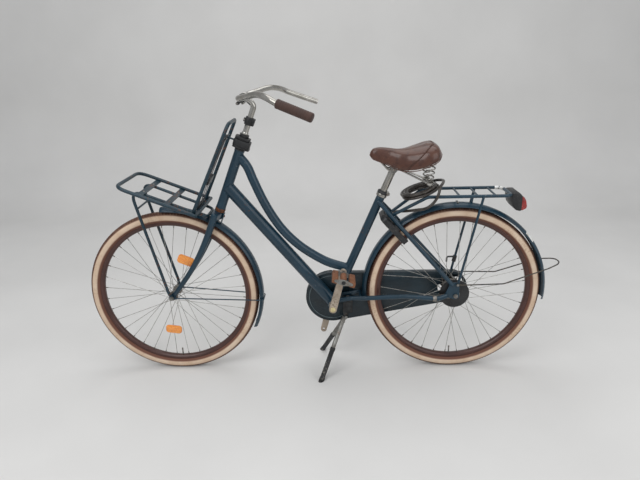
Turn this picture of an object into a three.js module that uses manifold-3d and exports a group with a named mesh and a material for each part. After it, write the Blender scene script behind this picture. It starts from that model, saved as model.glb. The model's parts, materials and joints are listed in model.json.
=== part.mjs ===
// A Dutch city bike with a step-through frame, a front carrier on the fork, a rear carrier,
// a full chain case, a ring lock and a twin-leg centre stand.
// Millimetres, +Z up. The bike faces -X, its chain side is +Y and the ground is Z = 0.
// Frame, wheels, fork and seat are placed from the rear axle and the ground below it.

import * as THREE from "three";
import { mergeVertices } from "three/addons/utils/BufferGeometryUtils.js";
import Module from "manifold-3d";

const wasm = await Module();
wasm.setup();

// Driving dimensions

const WHEELBASE = 1163;
const WHEEL_RADIUS = 356;
const TYRE_WIDTH = 47;
const BRACKET_SETBACK = 497; // rear axle to crank axis, along the ground
const BRACKET_HEIGHT = 305;
const HEAD_ANGLE = THREE.MathUtils.degToRad(68);
const FORK_RAKE = 70;
const CROWN_CLEAR = 70; // along the steering axis, from the tyre's tread to the head tube
const HEAD_TUBE_LENGTH = 247;
const SEAT_ANGLE = THREE.MathUtils.degToRad(66.7);
const SEAT_TUBE_LENGTH = 518;
const SEAT_POST_RISE = 96; // bare post between the seat tube and the saddle clamp
const CRANK_LENGTH = 170;
const BAR_HALF_WIDTH = 300;

const FORK_LENGTH = WHEEL_RADIUS + CROWN_CLEAR; // from the axle's level to the head tube

const HEAD_TUBE_RADIUS = 19;
const HEAD_TUBE_WALL = 3.5;
const STEERER_RADIUS = 12.7;
const STEERER_WALL = 1.3;
const DOWN_TUBE_RADIUS = 25;
const TOP_TUBE_RADIUS = 18;
const SEAT_TUBE_RADIUS = 17;
const SEAT_POST_RADIUS = 13.6;
const CHAIN_STAY_RADIUS = 9.5;
const SEAT_STAY_RADIUS = 8.5;
const SHELL_RADIUS = 22; // bottom bracket shell
const SHELL_LENGTH = 68;
const BAR_RADIUS = 11.1;
const FRONT_CARRIER_TUBE = 7;
const REAR_CARRIER_TUBE = 6.5;

const FRONT_HUB_SPACING = 100; // between the fork ends
const REAR_HUB_SPACING = 124; // between the frame ends
const AXLE_RADIUS = 5;
const CHAIN_LINE = 45;
const CHAIN_PITCH = 12.7;
const CHAINRING_TEETH = 38;
const SPROCKET_TEETH = 19;
const SPOKES = 36;

const SEAT = 0.3; // gap between two pieces that touch
const RUNNING = 0.4; // gap round a piece that turns or slides in another
const OVERRUN = 5; // how far a cutting shape runs past what it cuts
const WELD = 0.001; // vertices closer than this are one

// Colours, roughness and metalness of the finishes

const FINISHES = {
  paint: ["#1f4352", 0.42, 0.35],
  black: ["#17191b", 0.5, 0.1],
  chrome: ["#c9c8c4", 0.18, 1],
  steel: ["#8f8f8c", 0.38, 0.9],
  alloy: ["#c8c2b2", 0.4, 0.7],
  brownRim: ["#5a332a", 0.45, 0.2],
  tyre: ["#d9bfa0", 0.8, 0],
  leather: ["#4f332b", 0.45, 0],
  grip: ["#4a352f", 0.85, 0],
  rubberTan: ["#9a6a4a", 0.8, 0],
  vinyl: ["#1c3140", 0.55, 0],
  rust: ["#6b4632", 0.8, 0.5],
  orange: ["#e0701c", 0.3, 0],
  red: ["#a3201c", 0.25, 0],
};

function finish(name) {
  const [color, roughness, metalness] = FINISHES[name];
  return new THREE.MeshStandardMaterial({ color, roughness, metalness });
}

// Geometry tools: closed solids, joined and cut

const at = (x, y, z) => new THREE.Vector3(x, y, z);

function solid(geometry) {
  const bare = new THREE.BufferGeometry();
  bare.setAttribute("position", geometry.getAttribute("position").clone());
  if (geometry.index) bare.setIndex(geometry.index.clone());
  const merged = mergeVertices(bare, WELD);
  return new wasm.Manifold(
    new wasm.Mesh({
      numProp: 3,
      vertProperties: new Float32Array(merged.attributes.position.array),
      triVerts: new Uint32Array(merged.index.array),
    }),
  );
}

function geometryOf(made) {
  const data = made.getMesh();
  const geometry = new THREE.BufferGeometry();
  const corners = new Float32Array(data.vertProperties);
  geometry.setAttribute("position", new THREE.BufferAttribute(corners, 3));
  geometry.setIndex(new THREE.BufferAttribute(new Uint32Array(data.triVerts), 1));
  geometry.computeVertexNormals();
  return geometry;
}

const join = (pieces) => pieces.reduce((a, b) => a.add(b));
const intersection = (a, b) => a.intersect(b);
const cut = (from, tools) => tools.reduce((a, b) => a.subtract(b), from);

// Loft: rings with as many points each, joined in order, with flat ends.
// A ring list that closes on itself has no ends.
function loft(rings, closed = false) {
  const count = rings[0].length;
  const flat = rings.flatMap((ring) => ring.flatMap((p) => [p.x, p.y, p.z]));
  const index = [];
  const last = closed ? rings.length : rings.length - 1;
  for (let i = 0; i < last; i++) {
    const next = (i + 1) % rings.length;
    for (let j = 0; j < count; j++) {
      const k = (j + 1) % count;
      const [a, b] = [i * count + j, i * count + k];
      const [c, d] = [next * count + j, next * count + k];
      index.push(a, b, d, a, d, c);
    }
  }
  if (!closed) {
    const base = (rings.length - 1) * count;
    for (const [a, b, c] of capTriangles(rings[0])) index.push(a, c, b);
    for (const [a, b, c] of capTriangles(rings.at(-1))) {
      index.push(base + a, base + b, base + c);
    }
  }
  const geometry = new THREE.BufferGeometry();
  geometry.setAttribute("position", new THREE.Float32BufferAttribute(flat, 3));
  geometry.setIndex(index);
  const made = solid(geometry);
  return made.volume() < 0 ? solid(turnedOver(geometry)) : made;
}

// Triangles of a flat ring, counted the way the ring runs.
function capTriangles(ring) {
  const normal = at(0, 0, 0);
  ring.forEach((p, i) => normal.add(p.clone().cross(ring[(i + 1) % ring.length])));
  normal.normalize();
  const across = ring[1].clone().sub(ring[0]).normalize();
  const up = normal.clone().cross(across);
  const plane = ring.map((p) => new THREE.Vector2(p.dot(across), p.dot(up)));
  return THREE.ShapeUtils.triangulateShape(plane, []);
}

function turnedOver(geometry) {
  const index = Array.from(geometry.index.array);
  for (let i = 0; i < index.length; i += 3) {
    [index[i + 1], index[i + 2]] = [index[i + 2], index[i + 1]];
  }
  return geometry.clone().setIndex(index);
}

// A path of straight runs with round bends, with rings only where it bends.
class BentPath extends THREE.Curve {
  constructor(corners, bend, arcSteps = 4) {
    super();
    this.points = [corners[0]];
    this.tangents = [corners[1].clone().sub(corners[0]).normalize()];
    for (let i = 1; i < corners.length - 1; i++) {
      this.addBend(corners[i - 1], corners[i], corners[i + 1], bend, arcSteps);
    }
    const end = corners.at(-1);
    this.points.push(end);
    this.tangents.push(end.clone().sub(corners.at(-2)).normalize());
  }

  addBend(before, corner, after, bend, arcSteps) {
    const into = corner.clone().sub(before);
    const out = after.clone().sub(corner);
    const angle = into.angleTo(out);
    const room = Math.min(into.length(), out.length()) / 2;
    const reach = Math.min(bend * Math.tan(angle / 2), room);
    into.normalize();
    out.normalize();
    const start = corner.clone().addScaledVector(into, -reach);
    const stop = corner.clone().addScaledVector(out, reach);
    const curve = new THREE.QuadraticBezierCurve3(start, corner, stop);
    for (let k = 0; k <= arcSteps; k++) {
      this.points.push(curve.getPoint(k / arcSteps));
      this.tangents.push(curve.getTangent(k / arcSteps));
    }
  }

  get steps() {
    return this.points.length - 1;
  }

  getPointAt(u, target = at(0, 0, 0)) {
    return target.copy(this.points[Math.round(u * this.steps)]);
  }

  getTangentAt(u, target = at(0, 0, 0)) {
    return target.copy(this.tangents[Math.round(u * this.steps)]);
  }
}

function circle(radius, sides) {
  const shape = new THREE.Shape();
  for (let i = 0; i < sides; i++) {
    const turn = ((i + 1 / 2) / sides) * 2 * Math.PI;
    const [x, y] = [radius * Math.cos(turn), radius * Math.sin(turn)];
    if (i) shape.lineTo(x, y);
    else shape.moveTo(x, y);
  }
  shape.closePath();
  return shape;
}

function sweep(section, path, steps = path.steps) {
  return solid(new THREE.ExtrudeGeometry(section, { steps, extrudePath: path, curveSegments: 1 }));
}

const bentTube = (corners, bend, radius, sides = 10, arcSteps = 4) =>
  sweep(circle(radius, sides), new BentPath(corners, bend, arcSteps));

const straightTube = (from, to, radius, sides = 14) =>
  sweep(circle(radius, sides), new BentPath([from, to], radius));

// A cone or rod between two points, with its own radius at each.
function taper(from, to, radii, sides = 12) {
  const way = to.clone().sub(from);
  const made = new THREE.CylinderGeometry(radii[1], radii[0], way.length(), sides);
  made.translate(0, way.length() / 2, 0);
  const turn = new THREE.Quaternion().setFromUnitVectors(at(0, 1, 0), way.normalize());
  made.applyQuaternion(turn);
  made.translate(from.x, from.y, from.z);
  return solid(made);
}

// A hole with this many flats clears a round of this radius.
const holeRadius = (radius, sides) => radius / Math.cos(Math.PI / sides);

// A flat plate in the XZ plane, from the outline's points, between two Y values.
function plate(outline, fromY, toY, holes = []) {
  const shape = outline instanceof THREE.Shape ? outline : new THREE.Shape(outline);
  for (const hole of holes) {
    const [x, z, radius, sides] = hole;
    const ring = circle(holeRadius(radius, sides), sides).getPoints().slice(0, -1);
    shape.holes.push(new THREE.Path(ring.map((p) => new THREE.Vector2(p.x + x, p.y + z))));
  }
  const made = new THREE.ExtrudeGeometry(shape, {
    depth: Math.abs(toY - fromY),
    bevelEnabled: false,
    curveSegments: 6,
  });
  made.rotateX(Math.PI / 2);
  made.translate(0, Math.max(fromY, toY), 0);
  return solid(made);
}

// The outline round a set of discs, each given as [x, z, radius].
function outlineRound(discs, sides = 24) {
  const points = discs.flatMap(([x, z, radius]) =>
    circle(radius, sides).getPoints().slice(0, -1).map((p) => new THREE.Vector2(p.x + x, p.y + z)),
  );
  return hull(points);
}

function hull(points) {
  const sorted = [...points].sort((a, b) => a.x - b.x || a.y - b.y);
  const half = (list) => {
    const kept = [];
    for (const p of list) {
      while (kept.length > 1 && turnOf(kept.at(-2), kept.at(-1), p) <= 0) kept.pop();
      kept.push(p);
    }
    return kept.slice(0, -1);
  };
  return [...half(sorted), ...half(sorted.reverse())];
}

const turnOf = (a, b, c) => (b.x - a.x) * (c.y - a.y) - (b.y - a.y) * (c.x - a.x);

// A ring or disc turned about the Y axis: a closed profile of [radius, y] points.
function turned(profile, segments = 20) {
  const points = profile.map(([radius, y]) => new THREE.Vector2(radius, y));
  const closing = profile[0][0] === 0 ? [] : [points[0].clone()];
  const made = solid(new THREE.LatheGeometry([...points, ...closing], segments));
  return made.volume() < 0
    ? solid(new THREE.LatheGeometry([...points, ...closing].reverse(), segments))
    : made;
}

// The same, turned about the Z axis.
const turnedUp = (profile, segments) => turned(profile, segments).rotate([90, 0, 0]);

const tube = (outer, inner, from, to) => [
  [inner, from],
  [outer, from],
  [outer, to],
  [inner, to],
];

const disc = (radius, from, to) => [
  [0, from],
  [radius, from],
  [radius, to],
  [0, to],
];

function block(width, depth, height, centre) {
  return solid(new THREE.BoxGeometry(width, depth, height).translate(centre.x, centre.y, centre.z));
}

function mesh(name, made, finishName) {
  const piece = new THREE.Mesh(geometryOf(made), finish(finishName));
  piece.name = name;
  return piece;
}

// Places that many pieces share

const shell = at(-BRACKET_SETBACK, 0, BRACKET_HEIGHT);
const rearAxle = at(0, 0, WHEEL_RADIUS);
const frontAxle = at(-WHEELBASE, 0, WHEEL_RADIUS);
const seatWay = at(Math.cos(SEAT_ANGLE), 0, Math.sin(SEAT_ANGLE));
const alongSeat = (length) => shell.clone().addScaledVector(seatWay, length);
const seatTop = alongSeat(SEAT_TUBE_LENGTH);

// The seat stays' line, seen from the side.
const STAY_DROP = 42; // its start below the seat tube's top
const STAY_RISE = 50; // its end above the axle
const STAY_SETBACK = 16; // the same, in front of the axle

const stayStart = alongSeat(SEAT_TUBE_LENGTH - STAY_DROP);
const stayEnd = at(rearAxle.x - STAY_SETBACK, 0, rearAxle.z + STAY_RISE);
const downStay = (share, half) =>
  at(
    stayStart.x + share * (stayEnd.x - stayStart.x),
    half,
    stayStart.z + share * (stayEnd.z - stayStart.z),
  );

// The angle above the ground at which the line is that far from the rear axle.
function stayAngle(away) {
  const run = stayStart.clone().sub(stayEnd);
  const end = stayEnd.clone().sub(rearAxle);
  const half = end.dot(run) / run.lengthSq();
  const rest = (away * away - end.lengthSq()) / run.lengthSq();
  const place = end.addScaledVector(run, Math.sqrt(half * half + rest) - half);
  return Math.atan2(place.z, place.x);
}

// The steering frame: its Z is the steering axis, its X points back, and the front axle
// lies on its XY plane, a rake's length in front of the axis.
const steerLean = Math.PI / 2 - HEAD_ANGLE;
const steerFoot = frontAxle
  .clone()
  .add(at(FORK_RAKE * Math.sin(HEAD_ANGLE), 0, -FORK_RAKE * Math.cos(HEAD_ANGLE)));
const steered = (back, side, up) =>
  at(back, side, up).applyAxisAngle(at(0, 1, 0), steerLean).add(steerFoot);

const bike = new THREE.Group();
const steering = new THREE.Group();
steering.position.copy(steerFoot);
steering.rotation.y = steerLean;
const frontWheel = new THREE.Group();
frontWheel.position.copy(frontAxle);
const rearWheel = new THREE.Group();
rearWheel.position.copy(rearAxle);
const cranks = new THREE.Group();
cranks.position.copy(shell);
bike.add(steering, frontWheel, rearWheel, cranks);

// Wheels: rim, tyre and laced hub, each turned about its own axle

const TYRE_BED = 8; // how deep the tyre sits between the rim's edges
const RIM_HEIGHT = 19;
const RIM_WIDTH = 27;
const RIM_LIP = 2.7;
const RIM_FLOOR = 6; // from the lip's edge down to the tyre's bed
const WHEEL_SEGMENTS = 32;
const HUB_SEGMENTS = 12;
const SPOKE_RADIUS = 1;
const SPOKE_SIDES = 3;
const SPOKE_OFFSET = 1.3; // leading and trailing spokes on either side of the flange's middle
const TYRE_ARC = THREE.MathUtils.degToRad(130);
const TYRE_ARC_POINTS = 7;
const LACING_ANGLE = THREE.MathUtils.degToRad(60);

const RIM_EDGE_RADIUS = WHEEL_RADIUS - TYRE_WIDTH + TYRE_BED;
const RIM_INNER_RADIUS = RIM_EDGE_RADIUS - RIM_HEIGHT;
const bedRadius = RIM_EDGE_RADIUS - RIM_FLOOR;
const bedHalf = RIM_WIDTH / 2 - RIM_LIP;

function rimProfile() {
  const shoulder = (RIM_INNER_RADIUS + bedRadius) / 2;
  const half = [
    [RIM_INNER_RADIUS, RIM_WIDTH / 4],
    [shoulder, RIM_WIDTH / 2],
    [RIM_EDGE_RADIUS, RIM_WIDTH / 2],
    [bedRadius, bedHalf],
  ];
  return [...half, ...half.map(([r, y]) => [r, -y]).reverse()];
}

function tyreProfile() {
  const radius = TYRE_WIDTH / 2;
  const centre = WHEEL_RADIUS - radius;
  const bead = bedHalf - SEAT;
  const arc = Array.from({ length: TYRE_ARC_POINTS }, (unused, i) => {
    const turn = TYRE_ARC * (1 - (2 * i) / (TYRE_ARC_POINTS - 1));
    return [centre + radius * Math.cos(turn), radius * Math.sin(turn)];
  });
  arc[0][0] = RIM_EDGE_RADIUS + SEAT;
  arc.at(-1)[0] = RIM_EDGE_RADIUS + SEAT;
  return [
    [bedRadius + SEAT, -bead],
    [bedRadius + SEAT, bead],
    [RIM_EDGE_RADIUS + SEAT, bead],
    ...arc,
    [RIM_EDGE_RADIUS + SEAT, -bead],
  ];
}

// Spokes run from alternate flanges, leading and trailing in turn, to the rim.
function spokes(hub, phase) {
  return Array.from({ length: SPOKES }, (unused, i) => {
    const rimTurn = phase + (i / SPOKES) * 2 * Math.PI;
    const side = i % 2 ? 1 : -1;
    const leading = Math.floor(i / 2) % 2 ? 1 : -1;
    const hubTurn = rimTurn - leading * LACING_ANGLE;
    const root = hub.flangeRadius * Math.cos(Math.PI / HUB_SEGMENTS) - 2 * SPOKE_RADIUS;
    const y = side * (hub.flangeAt + leading * SPOKE_OFFSET);
    const tip = RIM_INNER_RADIUS * Math.cos(Math.PI / WHEEL_SEGMENTS) - SEAT;
    const from = at(root * Math.cos(hubTurn), y, root * Math.sin(hubTurn));
    const to = at(tip * Math.cos(rimTurn), side * SPOKE_RADIUS, tip * Math.sin(rimTurn));
    return taper(from, to, [SPOKE_RADIUS, SPOKE_RADIUS], SPOKE_SIDES);
  });
}

function wheel(name, group, hub, phase) {
  group.add(mesh(name + "_tyre", turned(tyreProfile(), WHEEL_SEGMENTS), "tyre"));
  group.add(mesh(name + "_rim", turned(rimProfile(), WHEEL_SEGMENTS), "brownRim"));
  group.add(mesh(name + "_hub", join([turned(hub.profile, HUB_SEGMENTS), ...spokes(hub, phase)]), "steel"));
}

const FRONT_FLANGE_RADIUS = 20;
const FRONT_FLANGE_AT = 32;
const FLANGE_WIDTH = 4.8;
const FRONT_SHELL_RADIUS = 10;
const LOCKNUT_RADIUS = 9;
const FRONT_LOCKNUT = 6;

function frontHub() {
  const bore = AXLE_RADIUS + RUNNING;
  const end = FRONT_HUB_SPACING / 2 - FRONT_LOCKNUT - SEAT - RUNNING;
  const [inner, outer] = [FRONT_FLANGE_AT - FLANGE_WIDTH / 2, FRONT_FLANGE_AT + FLANGE_WIDTH / 2];
  const half = [
    [bore, end],
    [LOCKNUT_RADIUS, end],
    [FRONT_SHELL_RADIUS, outer],
    [FRONT_FLANGE_RADIUS, outer],
    [FRONT_FLANGE_RADIUS, inner],
    [FRONT_SHELL_RADIUS, inner],
  ];
  const profile = [...half, ...half.map(([r, y]) => [r, -y]).reverse()];
  const sizes = { flangeRadius: FRONT_FLANGE_RADIUS, flangeAt: FRONT_FLANGE_AT };
  return { profile, ...sizes };
}

const REAR_FLANGE_RADIUS = 36;
const REAR_FLANGE_AT = 30;
const REAR_SHELL_RADIUS = 26;
const BRAKE_DRUM_RADIUS = 43;
const BRAKE_DRUM_WIDTH = 6;
const DISC_BOSS_RADIUS = 20;
const DISC_RADIUS = 60;
const DISC_WEB_RADIUS = 32;
const FIN = 2;
const FIN_GAP = 3;
const FINS = 2;
const DISC_SEGMENTS = 14;
const DRIVER_RADIUS = 16;
const DRIVER_LENGTH = 18;
const BRAKE_ARM = 3; // thickness
const REAR_LOCKNUT = 3.5;

const drumOuter = REAR_FLANGE_AT + FLANGE_WIDTH / 2 + BRAKE_DRUM_WIDTH;
const bossEnd = REAR_HUB_SPACING / 2 - REAR_LOCKNUT - BRAKE_ARM - 2 * SEAT - RUNNING;
const driverEnd = REAR_HUB_SPACING / 2 - REAR_LOCKNUT - SEAT - RUNNING;
const driverStart = driverEnd - DRIVER_LENGTH;

function rearHub() {
  const bore = AXLE_RADIUS + RUNNING;
  const [inner, outer] = [REAR_FLANGE_AT - FLANGE_WIDTH / 2, REAR_FLANGE_AT + FLANGE_WIDTH / 2];
  const profile = [
    [bore, -bossEnd],
    [DISC_BOSS_RADIUS, -bossEnd],
    [DISC_BOSS_RADIUS, -drumOuter],
    [BRAKE_DRUM_RADIUS, -drumOuter],
    [BRAKE_DRUM_RADIUS, -outer],
    [REAR_FLANGE_RADIUS, -outer],
    [REAR_FLANGE_RADIUS, -inner],
    [REAR_SHELL_RADIUS, -inner],
    [REAR_SHELL_RADIUS, inner],
    [REAR_FLANGE_RADIUS, inner],
    [REAR_FLANGE_RADIUS, outer],
    [DRIVER_RADIUS, driverStart - RUNNING],
    [bore, driverStart - RUNNING],
  ];
  const sizes = { flangeRadius: REAR_FLANGE_RADIUS, flangeAt: REAR_FLANGE_AT };
  return { profile, ...sizes };
}

// The finned cooling disc of the hub brake, seated on the hub's left boss.
function brakeDisc() {
  const bore = holeRadius(DISC_BOSS_RADIUS + SEAT, DISC_SEGMENTS);
  const start = -drumOuter - SEAT;
  const outline = [[bore, start]];
  for (let i = 0; i < FINS; i++) {
    const y = start - i * (FIN + FIN_GAP);
    outline.push([DISC_WEB_RADIUS, y], [DISC_RADIUS, y], [DISC_RADIUS, y - FIN]);
    outline.push([DISC_WEB_RADIUS, y - FIN]);
  }
  outline.push([bore, start - FINS * FIN - (FINS - 1) * FIN_GAP]);
  return turned(outline.filter((point, i) => i !== 1), DISC_SEGMENTS);
}

// An axle with its locknuts inside the frame ends and its nuts outside them.
const AXLE_END = 4; // beyond the nut
const NUT_WIDTH = 8;
const NUT_RADIUS = 9.5;

function axle(spacing, locknuts, stack) {
  const inner = spacing / 2 - SEAT;
  const nutStart = spacing / 2 + stack + SEAT;
  const end = nutStart + NUT_WIDTH + AXLE_END;
  const shaft = turned(disc(AXLE_RADIUS, -end, end), 6);
  const lock = (side, width) =>
    turned(disc(LOCKNUT_RADIUS, Math.min(side * inner, side * (inner - width)),
      Math.max(side * inner, side * (inner - width))), 6);
  const nut = (side) =>
    turned(disc(NUT_RADIUS, Math.min(side * nutStart, side * (nutStart + NUT_WIDTH)),
      Math.max(side * nutStart, side * (nutStart + NUT_WIDTH))), 6);
  return join([shaft, lock(-1, locknuts), lock(1, locknuts), nut(-1), nut(1)]);
}

const DROPOUT = 5; // thickness of a fork end or frame end
const TAB = 2; // thickness of a stay's flattened eye
const CARRIER_TAB = 3;
const frontStack = DROPOUT + TAB + CARRIER_TAB + 2 * SEAT;

// The ring lock's plane lies just in front of where the seat stays pass its lugs.
const LOCK_DROP = 18; // centre of the lock's ring below the tyre's tread
const LUG_RISE = 36; // lugs above the ring's centre
const LOCK_LEAD = THREE.MathUtils.degToRad(4.14);
const LOCK_AWAY = WHEEL_RADIUS - LOCK_DROP;
const LOCK_ANGLE = stayAngle(LOCK_AWAY + LUG_RISE) + LOCK_LEAD;
const spokePitch = (2 * Math.PI) / SPOKES;

wheel("front", frontWheel, frontHub(), spokePitch / 2);
wheel("rear", rearWheel, rearHub(), LOCK_ANGLE + spokePitch / 2);
rearWheel.add(mesh("brake_disc", brakeDisc(), "black"));
frontWheel.add(mesh("front_axle", axle(FRONT_HUB_SPACING, FRONT_LOCKNUT, frontStack), "steel"));
rearWheel.add(mesh("rear_axle", axle(REAR_HUB_SPACING, REAR_LOCKNUT, DROPOUT), "steel"));

// Frame tubes, each coped to the tube that it is brazed to

const HEAD_CUP = 15; // height of the lower cup
const UPPER_CUP = 8;
const CUP_FLARE = 1.5; // how much wider than the head tube
const DOWN_TUBE_DROP = 155; // down tube's axis below the head tube's top
const TOP_TUBE_DROP = 22; // the same of the top tube
const TOP_TUBE_SEAT = 166; // from the crank axis up the seat tube to the top tube
const TOP_TUBE_RINGS = 13;
// The curved top tube between its two ends, as shares of the run back and of the drop.
const TOP_TUBE_SHARES = [
  [0, 0],
  [0.08, 0.09],
  [0.11, 0.2],
  [0.19, 0.39],
  [0.28, 0.54],
  [0.38, 0.66],
  [0.52, 0.78],
  [0.66, 0.87],
  [0.8, 0.94],
  [1, 1],
];

const headTop = steered(0, 0, FORK_LENGTH + HEAD_TUBE_LENGTH);
const headBase = steered(0, 0, FORK_LENGTH);
const headInner = HEAD_TUBE_RADIUS - HEAD_TUBE_WALL;

const headCope = straightTube(headBase, headTop, HEAD_TUBE_RADIUS + SEAT, 24);
const shellCope = straightTube(
  shell.clone().add(at(0, -SHELL_LENGTH, 0)),
  shell.clone().add(at(0, SHELL_LENGTH, 0)),
  SHELL_RADIUS + SEAT,
  24,
);
const seatCope = straightTube(shell, alongSeat(SEAT_TUBE_LENGTH + OVERRUN), SEAT_TUBE_RADIUS + SEAT, 24);

function headTube() {
  const end = FORK_LENGTH + HEAD_TUBE_LENGTH;
  return turnedUp(tube(HEAD_TUBE_RADIUS, headInner, FORK_LENGTH, end), 16);
}

function headCups() {
  const bore = holeRadius(STEERER_RADIUS + RUNNING, 16);
  const flared = HEAD_TUBE_RADIUS + CUP_FLARE;
  const low = FORK_LENGTH - SEAT;
  const lower = [
    [bore, low - HEAD_CUP],
    [HEAD_TUBE_RADIUS - CUP_FLARE, low - HEAD_CUP],
    [flared, low - HEAD_CUP / 2],
    [flared, low],
    [bore, low],
  ];
  const high = FORK_LENGTH + HEAD_TUBE_LENGTH + SEAT;
  const upper = [
    [bore, high],
    [flared, high],
    [HEAD_TUBE_RADIUS - CUP_FLARE, high + UPPER_CUP],
    [bore, high + UPPER_CUP],
  ];
  return [turnedUp(lower, 16), turnedUp(upper, 16)];
}

function downTube() {
  const top = steered(0, 0, FORK_LENGTH + HEAD_TUBE_LENGTH - DOWN_TUBE_DROP);
  const way = top.clone().sub(shell).normalize();
  const foot = shell.clone().addScaledVector(way, SHELL_RADIUS / 2);
  return cut(straightTube(top, foot, DOWN_TUBE_RADIUS, 16), [headCope, shellCope, seatCope]);
}

function topTube() {
  const start = steered(0, 0, FORK_LENGTH + HEAD_TUBE_LENGTH - TOP_TUBE_DROP);
  const end = alongSeat(TOP_TUBE_SEAT);
  const points = TOP_TUBE_SHARES.map(([back, down]) =>
    at(start.x + back * (end.x - start.x), 0, start.z + down * (end.z - start.z)),
  );
  const path = new THREE.CatmullRomCurve3(points);
  const whole = sweep(circle(TOP_TUBE_RADIUS, 11), path, TOP_TUBE_RINGS);
  return cut(whole, [headCope, seatCope]);
}

function seatTube() {
  const outer = straightTube(shell, seatTop, SEAT_TUBE_RADIUS, 14);
  const bore = straightTube(
    alongSeat(POST_BORE_START),
    alongSeat(SEAT_TUBE_LENGTH + OVERRUN),
    holeRadius(SEAT_POST_RADIUS + SEAT, 14),
    14,
  );
  return cut(outer, [shellCope, bore]);
}

const POST_INSERT = 120; // how deep the seat post sits in the seat tube
const POST_BORE_START = SEAT_TUBE_LENGTH - POST_INSERT - OVERRUN;
const SPINDLE_RADIUS = 8.5;
const SHELL_WALL = 4;

function bracketShell() {
  const half = SHELL_LENGTH / 2;
  const cupFace = SPINDLE_RADIUS + RUNNING;
  const profile = [
    [cupFace, -half],
    [SHELL_RADIUS, -half],
    [SHELL_RADIUS, half],
    [cupFace, half],
    [cupFace, half - SHELL_WALL],
    [SHELL_RADIUS - SHELL_WALL, half - SHELL_WALL],
    [SHELL_RADIUS - SHELL_WALL, SHELL_WALL - half],
    [cupFace, SHELL_WALL - half],
  ];
  return turned(profile, 14);
}

// Frame ends: a plate with the axle's eye, the stays' ends and an eyelet for the carrier leg.
const END_PLATE_RADIUS = 15; // round the axle
const EYELET_RADIUS = 8;
const EYELET_RISE = 50; // carrier eyelet above the axle
const EYELET_BACK = 5;
const CHAIN_STAY_END = 34; // end of the chain stay in front of the axle
const CHAIN_STAY_RISE = 4;
const SCREW_RADIUS = 3;

const endInner = REAR_HUB_SPACING / 2;
const endOuter = endInner + DROPOUT;

function endPlate(side) {
  const outline = outlineRound([
    [rearAxle.x, rearAxle.z, END_PLATE_RADIUS],
    [rearAxle.x - CHAIN_STAY_END, rearAxle.z + CHAIN_STAY_RISE, CHAIN_STAY_RADIUS],
    [rearAxle.x - STAY_SETBACK, rearAxle.z + STAY_RISE, EYELET_RADIUS],
    [rearAxle.x + EYELET_BACK, rearAxle.z + EYELET_RISE, EYELET_RADIUS],
  ], 12);
  const holes = [
    [rearAxle.x, rearAxle.z, AXLE_RADIUS + SEAT, 12],
    [rearAxle.x + EYELET_BACK, rearAxle.z + EYELET_RISE, SCREW_RADIUS + SEAT, 8],
  ];
  return plate(outline, side * endInner, side * endOuter, holes);
}

// Chain stays leave the shell close together, bow out past the tyre and end on the plates.
const STAY_START_HALF = 27; // half the stays' spacing at the shell
const TYRE_CLEAR_HALF = 45; // the same beside the tyre
const STAY_START_RISE = 16; // above the crank axis
const STAY_BOW_RISE = 35;
// Along the chain stay from the shell to the axle.
const CHAINRING_CLEAR_SHARE = 0.16;
const TYRE_FRONT_SHARE = 0.27;
const BRIDGE_RADIUS = 6;
const GUARD_GAP = 20; // from the tyre's tread to the mudguards' outer face
const GUARD_HALF_WIDTH = 29;

const GUARD_OUTER = WHEEL_RADIUS + GUARD_GAP;
const alongStay = (share) => -BRACKET_SETBACK * (1 - share);

function chainStayTube(side, radius) {
  const floor = shell.z;
  const level = rearAxle.z - CHAIN_STAY_RADIUS;
  const corners = [
    at(shell.x + CHAIN_STAY_RADIUS, side * STAY_START_HALF, floor + STAY_START_RISE),
    at(alongStay(CHAINRING_CLEAR_SHARE), side * STAY_START_HALF, floor + STAY_BOW_RISE * BOW_SHARE),
    at(alongStay(TYRE_FRONT_SHARE), side * TYRE_CLEAR_HALF, floor + STAY_BOW_RISE),
    at(alongStay(BOW_END_SHARE), side * TYRE_CLEAR_HALF, level),
    at(alongStay(LEVEL_END_SHARE), side * REAR_STAY_HALF, level),
    at(rearAxle.x - CHAIN_STAY_END, side * REAR_STAY_HALF, rearAxle.z + CHAIN_STAY_RISE),
  ];
  return bentTube(corners, CHAIN_STAY_RADIUS * 4, radius, 8, 2);
}

const chainStay = (side) => cut(chainStayTube(side, CHAIN_STAY_RADIUS), [shellCope, seatCope]);

// The bridge between the chain stays, just in front of the mudguard's lower end.
const BRIDGE_REST_RISE = 32; // above the crank axis

function chainStayBridge(radius) {
  const rise = shell.z + BRIDGE_REST_RISE - rearAxle.z;
  const away = GUARD_OUTER + SEAT + BRIDGE_RADIUS;
  const x = -Math.sqrt(away * away - rise * rise);
  const from = at(x, -TYRE_CLEAR_HALF, rearAxle.z + rise);
  return straightTube(from, at(x, TYRE_CLEAR_HALF, rearAxle.z + rise), radius, 10);
}

// Seat stays: from the seat tube's sides, out past the tyre, down to the frame ends.
const LUG_HALF = 26; // half the stays' spacing there
const STAY_SPREAD_SHARE = 0.16; // how far down the stays have spread
const SPREAD_HALF = 46;

function grownEndPlate(side) {
  const outline = outlineRound([
    [rearAxle.x, rearAxle.z, END_PLATE_RADIUS + SEAT],
    [rearAxle.x - CHAIN_STAY_END, rearAxle.z + CHAIN_STAY_RISE, CHAIN_STAY_RADIUS + SEAT],
    [rearAxle.x - STAY_SETBACK, rearAxle.z + STAY_RISE, EYELET_RADIUS + SEAT],
    [rearAxle.x + EYELET_BACK, rearAxle.z + EYELET_RISE, EYELET_RADIUS + SEAT],
  ], 12);
  return plate(outline, side * (endInner - SEAT), side * (endOuter + SEAT));
}

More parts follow.
